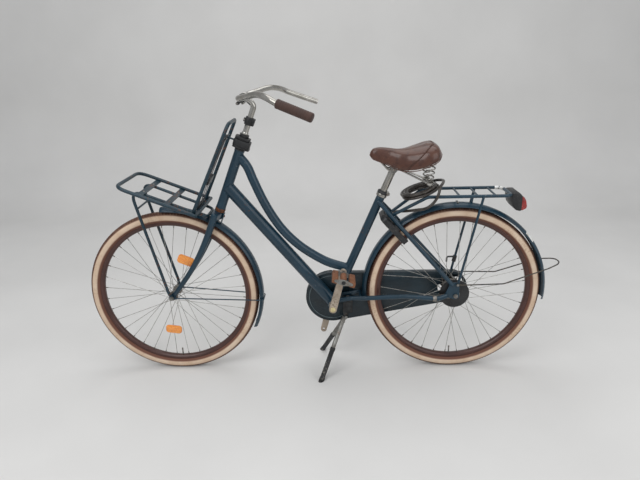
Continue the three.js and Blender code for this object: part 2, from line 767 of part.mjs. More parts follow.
function seatStayTube(side, radius) {
  const corners = [
    downStay(0, side * LUG_HALF),
    downStay(STAY_SPREAD_SHARE, side * SPREAD_HALF),
    downStay(1, side * REAR_STAY_HALF),
  ];
  return bentTube(corners, SEAT_STAY_RADIUS * 5, radius, 8, 3);
}

const seatStay = (side) =>
  cut(seatStayTube(side, SEAT_STAY_RADIUS), [seatCope, grownEndPlate(side)]);

// The bridge between the seat stays carries the mudguard and the rear carrier's foot.
const STAY_BRIDGE_SHARE = 0.19;

function seatStayBridge(radius) {
  const centre = downStay(STAY_BRIDGE_SHARE, 0);
  const half = SPREAD_HALF + (REAR_STAY_HALF - SPREAD_HALF) * BRIDGE_SPREAD_SHARE;
  const cross = straightTube(
    centre.clone().add(at(0, -half, 0)),
    centre.clone().add(at(0, half, 0)),
    radius,
    10,
  );
  const inward = rearAxle.clone().sub(centre);
  const reach = inward.length() - GUARD_OUTER - SEAT;
  const foot = centre.clone().addScaledVector(inward.normalize(), reach);
  return join([cross, taper(centre, foot, [radius, radius], 8)]);
}

const REAR_STAY_HALF = 70.5; // half the spacing of all four stays at the frame ends
const BOW_SHARE = 0.8;
const BOW_END_SHARE = 0.6;
const LEVEL_END_SHARE = 0.86;
const BRIDGE_SPREAD_SHARE = 0.04;

function frame() {
  const [lowerCup, upperCup] = headCups();
  const head = new THREE.Group();
  head.position.copy(steerFoot);
  head.rotation.y = steerLean;
  head.add(mesh("head_tube", headTube(), "paint"));
  head.add(mesh("headset_lower_cup", lowerCup, "rust"));
  head.add(mesh("headset_upper_cup", upperCup, "black"));
  const group = new THREE.Group();
  group.add(head);
  group.add(mesh("down_tube", downTube(), "paint"));
  group.add(mesh("top_tube", topTube(), "paint"));
  group.add(mesh("seat_tube", seatTube(), "paint"));
  group.add(mesh("bottom_bracket_shell", bracketShell(), "paint"));
  group.getObjectByName("bottom_bracket_shell").position.copy(shell);
  const [left, right] = [-1, 1].map((side) => join([chainStay(side), endPlate(side)]));
  group.add(mesh("chain_stay_left", join([left, chainStayBridge(BRIDGE_RADIUS)]), "paint"));
  const bridgeCope = chainStayBridge(BRIDGE_RADIUS + SEAT);
  group.add(mesh("chain_stay_right", cut(right, [bridgeCope]), "paint"));
  const stays = [-1, 1].map(seatStay);
  group.add(mesh("seat_stay_left", join([stays[0], seatStayBridge(BRIDGE_RADIUS)]), "paint"));
  const stayBridgeCope = seatStayBridge(BRIDGE_RADIUS + SEAT);
  group.add(mesh("seat_stay_right", cut(stays[1], [stayBridgeCope]), "paint"));
  return group;
}
bike.add(frame());

// Fork: steerer, crown, two raked and tapered blades and their ends, in the steering frame

const CROWN_HEIGHT = 28;
const CROWN_RADIUS = 18;
const BLADE_LEAD = 9; // blades in front of the axis at the crown
const BLADE_HALF = 50; // half the blades' spacing at the crown
const BLADE_TOP_RADIUS = 14.5;
const BLADE_END_RADIUS = 9;
const BLADE_END_RISE = 22; // above the axle
const BLADE_RINGS = 8;
const BLADE_SIDES = 8;
const STRAIGHT_BLADE = 80; // from the head tube down to where the blades start to bend
const FORK_END_RADIUS = 13;
const LOCKNUT_HEIGHT = 12;
const HOUSING_HEIGHT = 44;
const STEM_TUBE_RADIUS = STEERER_RADIUS - STEERER_WALL - SEAT;

const RAKE_START = FORK_LENGTH - STRAIGHT_BLADE;
const crownTop = FORK_LENGTH - HEAD_CUP - 3 * SEAT;
const headEnd = FORK_LENGTH + HEAD_TUBE_LENGTH;
const housingStart = headEnd + UPPER_CUP + 2 * SEAT;
const steererTop = housingStart + HOUSING_HEIGHT + LOCKNUT_HEIGHT;
const forkInner = FRONT_HUB_SPACING / 2;

// A tube of changing radius along points that never run straight along Y.
function taperedTube(points, radii, sides) {
  const rings = points.map((p, i) => {
    const before = points[Math.max(i - 1, 0)];
    const after = points[Math.min(i + 1, points.length - 1)];
    const way = after.clone().sub(before).normalize();
    const side = at(0, 1, 0).addScaledVector(way, -way.y).normalize();
    const up = way.clone().cross(side);
    return Array.from({ length: sides }, (unused, k) => {
      const turn = ((k + 1 / 2) / sides) * 2 * Math.PI;
      return p
        .clone()
        .addScaledVector(side, radii[i] * Math.cos(turn))
        .addScaledVector(up, radii[i] * Math.sin(turn));
    });
  });
  return loft(rings);
}

// A flat plate in the XY plane between two heights.
function flatPlate(outline, fromZ, toZ) {
  const made = new THREE.ExtrudeGeometry(new THREE.Shape(outline), {
    depth: toZ - fromZ,
    bevelEnabled: false,
  });
  return solid(made.translate(0, 0, fromZ));
}

function bladePoint(side, up) {
  const bend = Math.max(0, 1 - up / RAKE_START) ** 2;
  const forward = BLADE_LEAD + (FORK_RAKE - BLADE_LEAD) * bend;
  const endHalf = forkInner + DROPOUT / 2;
  const half = endHalf + (BLADE_HALF - endHalf) * Math.min(1, up / RAKE_START);
  return at(-forward, side * half, up);
}

function forkBlade(side) {
  const top = crownTop - CROWN_HEIGHT / 2;
  const points = [];
  const radii = [];
  for (let i = 0; i < BLADE_RINGS; i++) {
    const share = i / (BLADE_RINGS - 1);
    points.push(bladePoint(side, top + (BLADE_END_RISE - top) * share));
    radii.push(BLADE_TOP_RADIUS + (BLADE_END_RADIUS - BLADE_TOP_RADIUS) * share);
  }
  return taperedTube(points, radii, BLADE_SIDES);
}

function forkEnd(side) {
  const foot = bladePoint(side, BLADE_END_RISE);
  const outline = outlineRound([
    [-FORK_RAKE, 0, FORK_END_RADIUS],
    [foot.x, foot.z, BLADE_END_RADIUS],
  ], 14);
  const holes = [[-FORK_RAKE, 0, AXLE_RADIUS + SEAT, 12]];
  return plate(outline, side * forkInner, side * (forkInner + DROPOUT), holes);
}

function fork() {
  const crown = outlineRound([
    [0, 0, CROWN_RADIUS],
    [-BLADE_LEAD, -BLADE_HALF, BLADE_TOP_RADIUS],
    [-BLADE_LEAD, BLADE_HALF, BLADE_TOP_RADIUS],
  ], 16);
  const steererBase = crownTop - CROWN_HEIGHT / 2;
  const bore = turnedUp(disc(STEERER_RADIUS - STEERER_WALL, crownTop, steererTop + OVERRUN), 16);
  const whole = join([
    turnedUp(disc(STEERER_RADIUS, steererBase, steererTop), 16),
    flatPlate(crown, crownTop - CROWN_HEIGHT, crownTop),
    ...[-1, 1].flatMap((side) => [forkBlade(side), forkEnd(side)]),
  ]);
  return cut(whole, [bore]);
}

// Headset housing with its locknut and the bracket that steadies the carrier's back

const HOUSING_RADIUS = 13;
const HOUSING_HALF = 15;
const HOUSING_FRONT = 18;
const HOUSING_BACK = 22;
const HOUSING_CROWN = 12; // sloped top edge
const BACK_BASE_FORWARD = 82; // carrier back in front of the axis, at its foot
const BACK_TOP_FORWARD = 61;
const BACK_BASE_HALF = 108;
const BACK_TOP_HALF = 78;
const BACK_RISE = 361; // of the carrier's back above its platform
const PLATFORM_DROP = 22; // platform below the head tube
const SLAT_THICKNESS = 4;
const SLAT_DROP = 5; // slat's middle below the platform tube's axis
const BRACKET_ROD = 3.5;
const LOCKNUT_OUTER = 19;

const PLATFORM_UP = FORK_LENGTH - PLATFORM_DROP;
const BACK_TOP_UP = PLATFORM_UP + BACK_RISE;
const slatUp = PLATFORM_UP - SLAT_DROP;
const backFoot = slatUp + SLAT_THICKNESS / 2 + SEAT;

function backPoint(side, up) {
  const share = (up - backFoot) / (BACK_TOP_UP - backFoot);
  return at(
    -(BACK_BASE_FORWARD + share * (BACK_TOP_FORWARD - BACK_BASE_FORWARD)),
    side * (BACK_BASE_HALF + share * (BACK_TOP_HALF - BACK_BASE_HALF)),
    up,
  );
}

function headHousing() {
  const outline = (margin) =>
    outlineRound([
      [-HOUSING_FRONT, -HOUSING_HALF + margin, HOUSING_RADIUS],
      [-HOUSING_FRONT, HOUSING_HALF - margin, HOUSING_RADIUS],
      [HOUSING_BACK - margin, -HOUSING_HALF + margin, HOUSING_RADIUS],
      [HOUSING_BACK - margin, HOUSING_HALF - margin, HOUSING_RADIUS],
    ], 12);
  const shoulder = housingStart + HOUSING_HEIGHT - HOUSING_CROWN;
  const body = flatPlate(outline(0), housingStart, shoulder);
  const crown = flatPlate(outline(HOUSING_RADIUS / 2), shoulder, shoulder + HOUSING_CROWN);
  const bore = turnedUp(disc(STEERER_RADIUS + SEAT, housingStart - OVERRUN, steererTop + OVERRUN), 16);
  const up = housingStart + HOUSING_HEIGHT / 2;
  const reach = FRONT_CARRIER_TUBE + SEAT;
  const [left, right] = [-1, 1].map((side) => {
    const leg = backPoint(side, up);
    return at(leg.x, leg.y - side * reach, up);
  });
  const middle = at(left.x, 0, up);
  const rods = [
    straightTube(left, right, BRACKET_ROD, 8),
    straightTube(middle, at(-HOUSING_FRONT, 0, up), BRACKET_ROD, 8),
  ];
  const locknut = turnedUp(disc(LOCKNUT_OUTER, shoulder, steererTop), 12);
  return cut(join([body, crown, locknut, ...rods]), [bore]);
}

// Stem and handlebar

const STEM_DEPTH = 90; // inside the steerer
const STEM_RISE = 179; // of the column above the head tube
const STEM_BEND = 22;
const CLAMP_FORWARD = 42;
const CLAMP_RISE = 16; // above the column's bend
const CLAMP_RADIUS = 18;
const CLAMP_HALF_WIDTH = 17;
const CLAMP_BOLT_RADIUS = 6;
const CLAMP_BOLT_DROP = 22;
const BAR_SWEEP = 258; // the bar's ends behind its clamp
const BAR_RISE = 53;
const BAR_STEPS = 26;
const BAR_SIDES = 8;
const BAR_WALL = 1.8;
const BAR_BORE_DEPTH = 40;
// One half of the bar, as shares of its sweep back, its half width and its rise.
const BAR_SHARES = [
  [0, 0, 0],
  [-0.036, 0.15, -0.04],
  [-0.037, 0.28, -0.03],
  [0.065, 0.43, 0.33],
  [0.228, 0.63, 0.88],
  [0.385, 0.8, 1.01],
  [0.514, 0.873, 0.97],
  [1, 1, 1],
];
const STEM_BAND_RISE = 102; // above the head tube
const STEM_BAND_HEIGHT = 30;
const STEM_BAND_WALL = 5;
const STEM_BAND_EAR = 12;
const GRIP_LENGTH = 132;
const GRIP_RADIUS = 16.5;
const GRIP_ROUND = 5;
const GRIP_END = 5; // closed end beyond the bar

const STEM_TOP = headEnd + STEM_RISE;
const CLAMP_UP = STEM_TOP + CLAMP_RISE;
const STEM_BAND_UP = headEnd + STEM_BAND_RISE;

function barPath() {
  const half = BAR_SHARES.map(([back, out, up]) =>
    at(-CLAMP_FORWARD + back * BAR_SWEEP, out * BAR_HALF_WIDTH, CLAMP_UP + up * BAR_RISE),
  );
  const mirrored = half.slice(1).map((p) => at(p.x, -p.y, p.z));
  return new THREE.CatmullRomCurve3([...mirrored.reverse(), ...half]);
}

const barSweep = (radius) => sweep(circle(radius, BAR_SIDES), barPath(), BAR_STEPS);

// A solid made round the Z axis, turned to point along a way from a place.
function aimed(made, from, way) {
  const turn = new THREE.Quaternion().setFromUnitVectors(at(0, 0, 1), way.clone().normalize());
  const matrix = new THREE.Matrix4().compose(from, turn, at(1, 1, 1));
  return made.transform(matrix.elements);
}

function barEnd(side) {
  const path = barPath();
  const u = side < 0 ? 0 : 1;
  const way = path.getTangentAt(u).multiplyScalar(side);
  return { end: path.getPointAt(u), way };
}

function handlebar() {
  const bores = [-1, 1].map((side) => {
    const { end, way } = barEnd(side);
    const bore = turnedUp(disc(BAR_RADIUS - BAR_WALL, -BAR_BORE_DEPTH, OVERRUN), 10);
    return aimed(bore, end, way);
  });
  return cut(barSweep(BAR_RADIUS), bores);
}

function leftGrip() {
  const { end, way } = barEnd(-1);
  const start = GRIP_END - GRIP_LENGTH;
  const profile = [
    [0, start],
    [GRIP_RADIUS - GRIP_ROUND / 2, start],
    [GRIP_RADIUS, start + GRIP_ROUND],
    [GRIP_RADIUS, GRIP_END - GRIP_ROUND],
    [GRIP_RADIUS - GRIP_ROUND / 2, GRIP_END],
    [0, GRIP_END],
  ];
  const room = turnedUp(disc(BAR_RADIUS + SEAT, -GRIP_ROUND, SEAT), BAR_SIDES);
  return cut(aimed(turnedUp(profile, 12), end, way), [barSweep(BAR_RADIUS + SEAT), aimed(room, end, way)]);
}

function stem() {
  const clamp = at(-CLAMP_FORWARD, 0, CLAMP_UP);
  const column = bentTube(
    [at(0, 0, steererTop - STEM_DEPTH), at(0, 0, STEM_TOP), clamp],
    STEM_BEND,
    STEM_TUBE_RADIUS,
    12,
    3,
  );
  const ring = turned(disc(CLAMP_RADIUS, -CLAMP_HALF_WIDTH, CLAMP_HALF_WIDTH), 16);
  const bolt = turned(disc(CLAMP_BOLT_RADIUS, -CLAMP_HALF_WIDTH, CLAMP_HALF_WIDTH), 8);
  const boltAt = clamp.clone().add(at(0, 0, -CLAMP_BOLT_DROP));
  const whole = join([
    column,
    ring.translate(clamp.toArray()),
    bolt.translate(boltAt.toArray()),
  ]);
  return cut(whole, [barSweep(BAR_RADIUS + SEAT)]);
}

function stemBand() {
  const outer = STEM_TUBE_RADIUS + STEM_BAND_WALL;
  const ring = turnedUp(disc(outer, STEM_BAND_UP, STEM_BAND_UP + STEM_BAND_HEIGHT), 12);
  const ear = block(STEM_BAND_EAR, STEM_BAND_EAR, STEM_BAND_HEIGHT / 2,
    at(-outer, 0, STEM_BAND_UP + STEM_BAND_HEIGHT / 2));
  const lug = block(STEM_BAND_EAR, STEM_BAND_EAR * 2, STEM_BAND_HEIGHT - SEAT,
    at(outer - STEM_BAND_WALL, 0, STEM_BAND_UP + STEM_BAND_HEIGHT / 2));
  const bore = turnedUp(
    disc(holeRadius(STEM_TUBE_RADIUS + SEAT, 12), STEM_BAND_UP - OVERRUN,
      STEM_BAND_UP + STEM_BAND_HEIGHT + OVERRUN), 12);
  return cut(join([ring, ear, lug]), [bore]);
}

steering.add(mesh("fork", fork(), "paint"));
steering.add(mesh("headset_housing", headHousing(), "black"));
steering.add(mesh("stem", stem(), "chrome"));
steering.add(mesh("stem_band", stemBand(), "black"));
steering.add(mesh("handlebar", handlebar(), "chrome"));
steering.add(mesh("left_grip", leftGrip(), "grip"));

// Front carrier: slatted platform, its two stays in one bent tube, and its back

const PLATFORM_BACK = 66; // in front of the steering axis
const PLATFORM_FRONT = 380;
const PLATFORM_HALF = 133;
const PLATFORM_BEND = 45;
const SLAT_WIDTH = 22;
const SLATS = 3;
const SLAT_PITCH = 105;
const CARRIER_STAY = 6; // radius
const STAY_FOOT_FORWARD = 84;
const STAY_FOOT_UP = 22;
const STAY_FOOT_HALF = 72;
const STAY_KNEE_FORWARD = 345;
const STAY_KNEE_HALF = 66;
const STAY_LOOP_HALF = 60;
const STAY_LOOP_BACK = 33; // in front of the steering axis
const STAY_CROSS_SHARE = 0.82; // of the way from the foot to the knee
const CARRIER_TAB_RADIUS = 9;
const BACK_BEND = 28;

const carrierLoop = slatUp - SLAT_THICKNESS / 2 - SEAT - CARRIER_STAY;
const mirroredY = (points) => points.map((p) => at(p.x, -p.y, p.z));

function carrierPlatform() {
  const [back, front] = [-PLATFORM_BACK, -PLATFORM_FRONT];
  const loop = bentTube([
    at(back, -PLATFORM_HALF, PLATFORM_UP),
    at(front, -PLATFORM_HALF, PLATFORM_UP),
    at(front, PLATFORM_HALF, PLATFORM_UP),
    at(back, PLATFORM_HALF, PLATFORM_UP),
  ], PLATFORM_BEND, FRONT_CARRIER_TUBE, 8, 4);
  const over = at(0, FRONT_CARRIER_TUBE / 2, 0);
  const rear = straightTube(
    at(back, -PLATFORM_HALF, PLATFORM_UP).sub(over),
    at(back, PLATFORM_HALF, PLATFORM_UP).add(over),
    FRONT_CARRIER_TUBE, 8);
  const slats = Array.from({ length: SLATS }, (unused, i) =>
    block(SLAT_WIDTH, 2 * PLATFORM_HALF, SLAT_THICKNESS, at(-BACK_BASE_FORWARD - i * SLAT_PITCH, 0, slatUp)),
  );
  return join([loop, rear, ...slats]);
}

function carrierStays() {
  const tabMiddle = forkInner + frontStack - CARRIER_TAB / 2;
  const half = [
    at(-FORK_RAKE, -tabMiddle, 0),
    at(-STAY_FOOT_FORWARD, -STAY_FOOT_HALF, STAY_FOOT_UP),
    at(-STAY_KNEE_FORWARD, -STAY_KNEE_HALF, carrierLoop),
    at(-STAY_LOOP_BACK, -STAY_LOOP_HALF, carrierLoop),
  ];
  const [foot, knee] = [half[1], half[2]];
  half[0] = foot.clone().lerp(half[0], 1 / 2).setY(-(tabMiddle - CARRIER_TAB / 2 + CARRIER_STAY));
  const tube = bentTube([...half, ...mirroredY(half).reverse()], 5 * CARRIER_STAY, CARRIER_STAY, 6, 2);
  const crossAt = foot.clone().lerp(knee, STAY_CROSS_SHARE);
  const cross = straightTube(crossAt, mirroredY([crossAt])[0], CARRIER_STAY * 2 / 3, 6);
  const outline = outlineRound([
    [-FORK_RAKE, 0, CARRIER_TAB_RADIUS],
    [half[0].x, half[0].z, CARRIER_STAY],
  ], 8);
  const tabs = [-1, 1].map((side) =>
    plate(outline, side * (tabMiddle - CARRIER_TAB / 2), side * (tabMiddle + CARRIER_TAB / 2),
      [[-FORK_RAKE, 0, AXLE_RADIUS + SEAT, 8]]),
  );
  return join([tube, cross, ...tabs]);
}

function carrierBack() {
  const half = [backPoint(-1, backFoot), backPoint(-1, BACK_TOP_UP)];
  half[0] = backPoint(-1, backFoot - OVERRUN);
  const back = bentTube([...half, ...mirroredY(half).reverse()], BACK_BEND, FRONT_CARRIER_TUBE, 8, 3);
  const below = block(PLATFORM_FRONT, 3 * PLATFORM_HALF, PLATFORM_FRONT,
    at(-BACK_BASE_FORWARD, 0, backFoot - PLATFORM_FRONT / 2));
  return cut(back, [below]);
}

// Mudguards: a thin crowned strip bent round the wheel, over a range of angles above the ground

const GUARD_DEPTH = 14; // from the crown to the edges
const GUARD_WALL = 1.5;
// The strip's outer face, as shares of its half width and its depth.
const GUARD_SHARES = [
  [-1, 1],
  [-0.6, 0.22],
  [0, 0],
  [0.6, 0.22],
  [1, 1],
];

function mudguard(from, to, steps) {
  const outer = GUARD_SHARES.map(([y, drop]) => [
    GUARD_OUTER - drop * GUARD_DEPTH,
    y * GUARD_HALF_WIDTH,
  ]);
  const inner = GUARD_SHARES.map(([y, drop]) => [
    GUARD_OUTER - GUARD_WALL - drop * GUARD_DEPTH,
    y * (GUARD_HALF_WIDTH - GUARD_WALL),
  ]);
  inner[0][0] = outer[0][0];
  inner[inner.length - 1][0] = outer[0][0];
  const section = [...outer, ...inner.reverse()];
  const rings = Array.from({ length: steps + 1 }, (unused, i) => {
    const turn = from + ((to - from) * i) / steps;
    return section.map(([radius, y]) => at(radius * Math.cos(turn), y, radius * Math.sin(turn)));
  });
  return loft(rings);
}

// A mudguard stay: a wire from the axle's eyes out to the guard and across it, along one ray.
const WIRE = 2.5; // radius
const WIRE_EYE_RADIUS = 8;
const WIRE_START = 18; // from the axle
const WIRE_SIDE_SHARE = 0.8; // of the way out
const WIRE_SIDE_HALF = 38;
const WIRE_END_HALF = 33;

function guardStay(turn, eyeInner, crossAway) {
  const ray = at(Math.cos(turn), 0, Math.sin(turn));
  const place = (away, half) => ray.clone().multiplyScalar(away).add(at(0, -half, 0));
  const half = [
    place(WIRE_START, eyeInner + WIRE),
    place(crossAway * WIRE_SIDE_SHARE, WIRE_SIDE_HALF),
    place(crossAway, WIRE_END_HALF),
  ];
  const wire = bentTube([...half, ...mirroredY(half).reverse()], 4 * WIRE, WIRE, 5, 2);
  const outline = outlineRound([
    [0, 0, WIRE_EYE_RADIUS],
    [half[0].x * 4 / 3, half[0].z * 4 / 3, WIRE],
  ], 8);
  const eyes = [-1, 1].map((side) =>
    plate(outline, side * eyeInner, side * (eyeInner + TAB), [[0, 0, AXLE_RADIUS + SEAT, 8]]),
  );
  return join([wire, ...eyes]);
}

const FRONT_GUARD_TOP = THREE.MathUtils.degToRad(93); // above the ground's level, from the rear
const FRONT_GUARD_LOW = THREE.MathUtils.degToRad(-25);
const FRONT_STAY_ANGLE = THREE.MathUtils.degToRad(-4);
const GUARD_BRACKET_THICKNESS = 4;
const GUARD_BRACKET_WIDTH = 22;

function frontMudguard() {
  const guard = mudguard(FRONT_GUARD_LOW + steerLean, FRONT_GUARD_TOP + steerLean, 12);
  const stay = guardStay(FRONT_STAY_ANGLE + steerLean, forkInner + DROPOUT + SEAT, GUARD_OUTER + WIRE / 2);
  const ring = join([guard, stay]).translate([-FORK_RAKE, 0, 0]);
  const back = CROWN_RADIUS + SEAT + GUARD_BRACKET_THICKNESS / 2;
  const low = Math.sqrt(GUARD_OUTER ** 2 - (back + FORK_RAKE) ** 2) - GUARD_WALL;
  const height = crownTop - low;
  return join([
    ring,
    block(GUARD_BRACKET_THICKNESS, GUARD_BRACKET_WIDTH, height, at(back, 0, low + height / 2)),
  ]);
}

const REFLECTOR_LENGTH = 68;
const REFLECTOR_HEIGHT = 38;
const REFLECTOR_THICKNESS = 8;
const REFLECTOR_AWAY = 165; // from the axle
const REFLECTOR_ANGLES = [67, 263].map(THREE.MathUtils.degToRad);

// A reflector lies on the left spokes, tilted as they are.
function reflector(turn) {
  const corner = REFLECTOR_HEIGHT / 3;
  const outline = outlineRound([-1, 1].flatMap((x) =>
    [-1, 1].map((z) => [
      x * (REFLECTOR_LENGTH / 2 - corner),
      z * (REFLECTOR_HEIGHT / 2 - corner),
      corner,
    ]),
  ), 8);
  const run = RIM_INNER_RADIUS - FRONT_FLANGE_RADIUS;
  const slope = (FRONT_FLANGE_AT - SPOKE_RADIUS) / run;
  const inward = FRONT_FLANGE_AT - slope * (REFLECTOR_AWAY - FRONT_FLANGE_RADIUS);
  const face = -(inward + SPOKE_RADIUS + SEAT);
  return plate(outline, face - REFLECTOR_THICKNESS, face)
    .translate([0, -face, 0])
    .rotate([-THREE.MathUtils.radToDeg(Math.atan(slope)), 0, 0])
    .translate([0, face, REFLECTOR_AWAY])
    .rotate([0, 90 - THREE.MathUtils.radToDeg(turn), 0]);
}

steering.add(mesh("front_carrier_platform", carrierPlatform(), "rust"));
steering.add(mesh("front_carrier_stays", carrierStays(), "rust"));
steering.add(mesh("front_carrier_back", carrierBack(), "rust"));
steering.add(mesh("front_mudguard", frontMudguard(), "paint"));
frontWheel.add(mesh("front_reflector_upper", reflector(REFLECTOR_ANGLES[0]), "orange"));
frontWheel.add(mesh("front_reflector_lower", reflector(REFLECTOR_ANGLES[1]), "orange"));

// Seat: clamp, post, saddle, its rails and its two coil springs

const SEAT_CLAMP_HEIGHT = 22;
const SEAT_CLAMP_WALL = 4;
const SEAT_CLAMP_EAR = 14;
const POST_CLAMP_RADIUS = 13;
const POST_CLAMP_HALF = 25;
const RAIL_RADIUS = 3.5;
const RAIL_HALF = 20; // half the rails' spacing at the clamp
const RAIL_NOSE_HALF = 9;
const SADDLE_LENGTH = 271;
const SADDLE_HALF_WIDTH = 92;
const SADDLE_HEIGHT = 104; // from the clamp's axis to the saddle's highest point
const SADDLE_BACK = 180; // tail behind the clamp's axis
const SPRING_BACK = 135; // springs behind the clamp's axis
const SPRING_HALF = 47; // half the springs' spacing
const SPRING_SEAT_DROP = 46; // top of the spring seats below the clamp's axis
const SPRING_SEAT_RADIUS = 16;
const SPRING_WIRE = 2.5; // radius
const SPRING_LOW_RADIUS = 9;
const SPRING_HIGH_RADIUS = 20;
const SPRING_CURLS = 3;
const CURL_STEPS = 8;
const HOLLOW_SHARE = 0.32; // of the saddle's height, its hollow underside over the springs
const NOSE_UNDER_SHARE = 0.4; // the same over the nose bracket
// Stations from the saddle's nose to its tail, as shares: of its length, its half width,
// then of its height the top, the skirt's edge and the hollow underside.
const SADDLE_SHARES = [
  [0, 0.1, 0.64, 0.5, 0.53],
  [0.03, 0.18, 0.74, 0.42, 0.47],
  [0.09, 0.22, 0.8, 0.35, 0.42],
  [0.17, 0.24, 0.81, 0.27, 0.4],
  [0.3, 0.33, 0.77, 0.13, 0.36],
  [0.4, 0.49, 0.74, 0.03, 0.34],
  [0.5, 0.72, 0.76, 0.02, 0.32],
  [0.66, 0.94, 0.88, 0.09, HOLLOW_SHARE],
  [0.82, 1, 1, 0.27, HOLLOW_SHARE],
  [0.94, 0.86, 0.89, 0.41, HOLLOW_SHARE],
  [1, 0.58, 0.64, 0.53, 0.57],
];
// The crown's section, as shares of the half width and of the height above the skirt's edge.
const CROWN_SHARES = [
  [-1, 0],
  [-0.99, 0.4],
  [-0.84, 0.78],
  [-0.46, 0.97],
  [0, 1],
  [0.46, 0.97],
  [0.84, 0.78],
  [0.99, 0.4],
  [1, 0],
];
const SKIRT_SHARE = 0.9; // inner edge of the skirt

const clampAt = alongSeat(SEAT_TUBE_LENGTH + SEAT_POST_RISE);
const springAt = (side, up) => clampAt.clone().add(at(SPRING_BACK, side * SPRING_HALF, up));

function seatClamp() {
  const outer = SEAT_TUBE_RADIUS + SEAT + SEAT_CLAMP_WALL;
  const low = alongSeat(SEAT_TUBE_LENGTH - SEAT_CLAMP_HEIGHT);
  const ring = straightTube(low, seatTop, outer, 12);
  const ear = alongSeat(SEAT_TUBE_LENGTH - SEAT_CLAMP_HEIGHT / 2);
  const [left, right] = [-1, 1].map((side) => ear.clone().add(at(outer, side * SEAT_CLAMP_EAR, 0)));
  const lug = straightTube(left, right, SEAT_CLAMP_WALL * 2, 6);
  return cut(join([ring, lug]), [seatCope]);
}

function railTube(side, radius) {
  const corners = [
    clampAt.clone().add(at(-SADDLE_LENGTH / 5, side * RAIL_NOSE_HALF, SADDLE_HEIGHT / 3)),
    clampAt.clone().add(at(-SADDLE_LENGTH / 12, side * RAIL_HALF, 0)),
    clampAt.clone().add(at(SADDLE_LENGTH / 12, side * RAIL_HALF, 0)),
    springAt(side, -SPRING_SEAT_DROP - 2 * RAIL_RADIUS),
  ];
  return bentTube(corners, 4 * RAIL_RADIUS, radius, 6, 2);
}

function seatPost() {
  const bottom = alongSeat(POST_BORE_START + OVERRUN);
  const post = straightTube(bottom, clampAt, SEAT_POST_RADIUS, 14);
  const barrel = turned(disc(POST_CLAMP_RADIUS, -POST_CLAMP_HALF, POST_CLAMP_HALF), 12);
  const grooves = [-1, 1].map((side) => railTube(side, RAIL_RADIUS + SEAT));
  return cut(join([post, barrel.translate(clampAt.toArray())]), grooves);
}

function saddleRails() {
  const nose = clampAt.clone().add(at(-SADDLE_LENGTH / 5, 0, SADDLE_HEIGHT / 3));
  const under = clampAt.z + SADDLE_HEIGHT * NOSE_UNDER_SHARE - SEAT;
  const half = RAIL_NOSE_HALF + RAIL_RADIUS;
  const bracket = block(4 * RAIL_RADIUS, 2 * half, under - nose.z + RAIL_RADIUS,
    at(nose.x + RAIL_RADIUS, 0, (under + nose.z - RAIL_RADIUS) / 2));
  const seats = [-1, 1].map((side) => {
    const top = springAt(side, -SPRING_SEAT_DROP);
    return turnedUp(disc(SPRING_SEAT_RADIUS, -3 * RAIL_RADIUS, 0), 12).translate(top.toArray());
  });
  const cross = straightTube(
    springAt(-1, -SPRING_SEAT_DROP - 2 * RAIL_RADIUS),
    springAt(1, -SPRING_SEAT_DROP - 2 * RAIL_RADIUS),
    RAIL_RADIUS, 6);
  return join([railTube(-1, RAIL_RADIUS), railTube(1, RAIL_RADIUS), bracket, cross, ...seats]);
}

function saddle() {
  const rings = SADDLE_SHARES.map(([along, half, top, skirt, hollow]) => {
    const x = clampAt.x + SADDLE_BACK - SADDLE_LENGTH * (1 - along);
    const width = half * SADDLE_HALF_WIDTH;
    const edge = clampAt.z + skirt * SADDLE_HEIGHT;
    const crown = CROWN_SHARES.map(([y, up]) =>
      at(x, y * width, edge + up * (top - skirt) * SADDLE_HEIGHT),
    );
    const inner = SKIRT_SHARE * width;
    const under = clampAt.z + hollow * SADDLE_HEIGHT;
    return [
      ...crown,
      at(x, inner, edge),
      at(x, inner * SKIRT_SHARE, under),
      at(x, -inner * SKIRT_SHARE, under),
      at(x, -inner, edge),
    ];
  });
  return loft(rings);
}

// A tube through points, with its rings carried along without twist and square ends.
function woundTube(points, radius, sides) {
  const ways = points.map((p, i) =>
    points[Math.min(i + 1, points.length - 1)].clone().sub(points[Math.max(i - 1, 0)]).normalize(),
  );
  ways[0] = points[1].clone().sub(points[0]).normalize();
  let normal = at(ways[0].z, ways[0].x, ways[0].y).cross(ways[0]).normalize();
  const rings = points.map((p, i) => {
    normal = normal.clone().addScaledVector(ways[i], -normal.dot(ways[i])).normalize();
    const across = ways[i].clone().cross(normal);
    return Array.from({ length: sides }, (unused, k) => {
      const turn = (k / sides) * 2 * Math.PI;
      return p
        .clone()
        .addScaledVector(normal, radius * Math.cos(turn))
        .addScaledVector(across, radius * Math.sin(turn));
    });
  });
  return loft(rings);
}

// The least gap of a wound tube to itself: between points more than a stretch apart along it.
function leastGap(points, radius, stretch) {
  const along = [0];
  points.slice(1).forEach((p, i) => along.push(along[i] + p.distanceTo(points[i])));
  let least = Infinity;
  points.forEach((p, i) =>
    points.forEach((q, j) => {
      if (along[j] - along[i] > stretch) least = Math.min(least, p.distanceTo(q));
    }),
  );
  return least - 2 * radius;
}

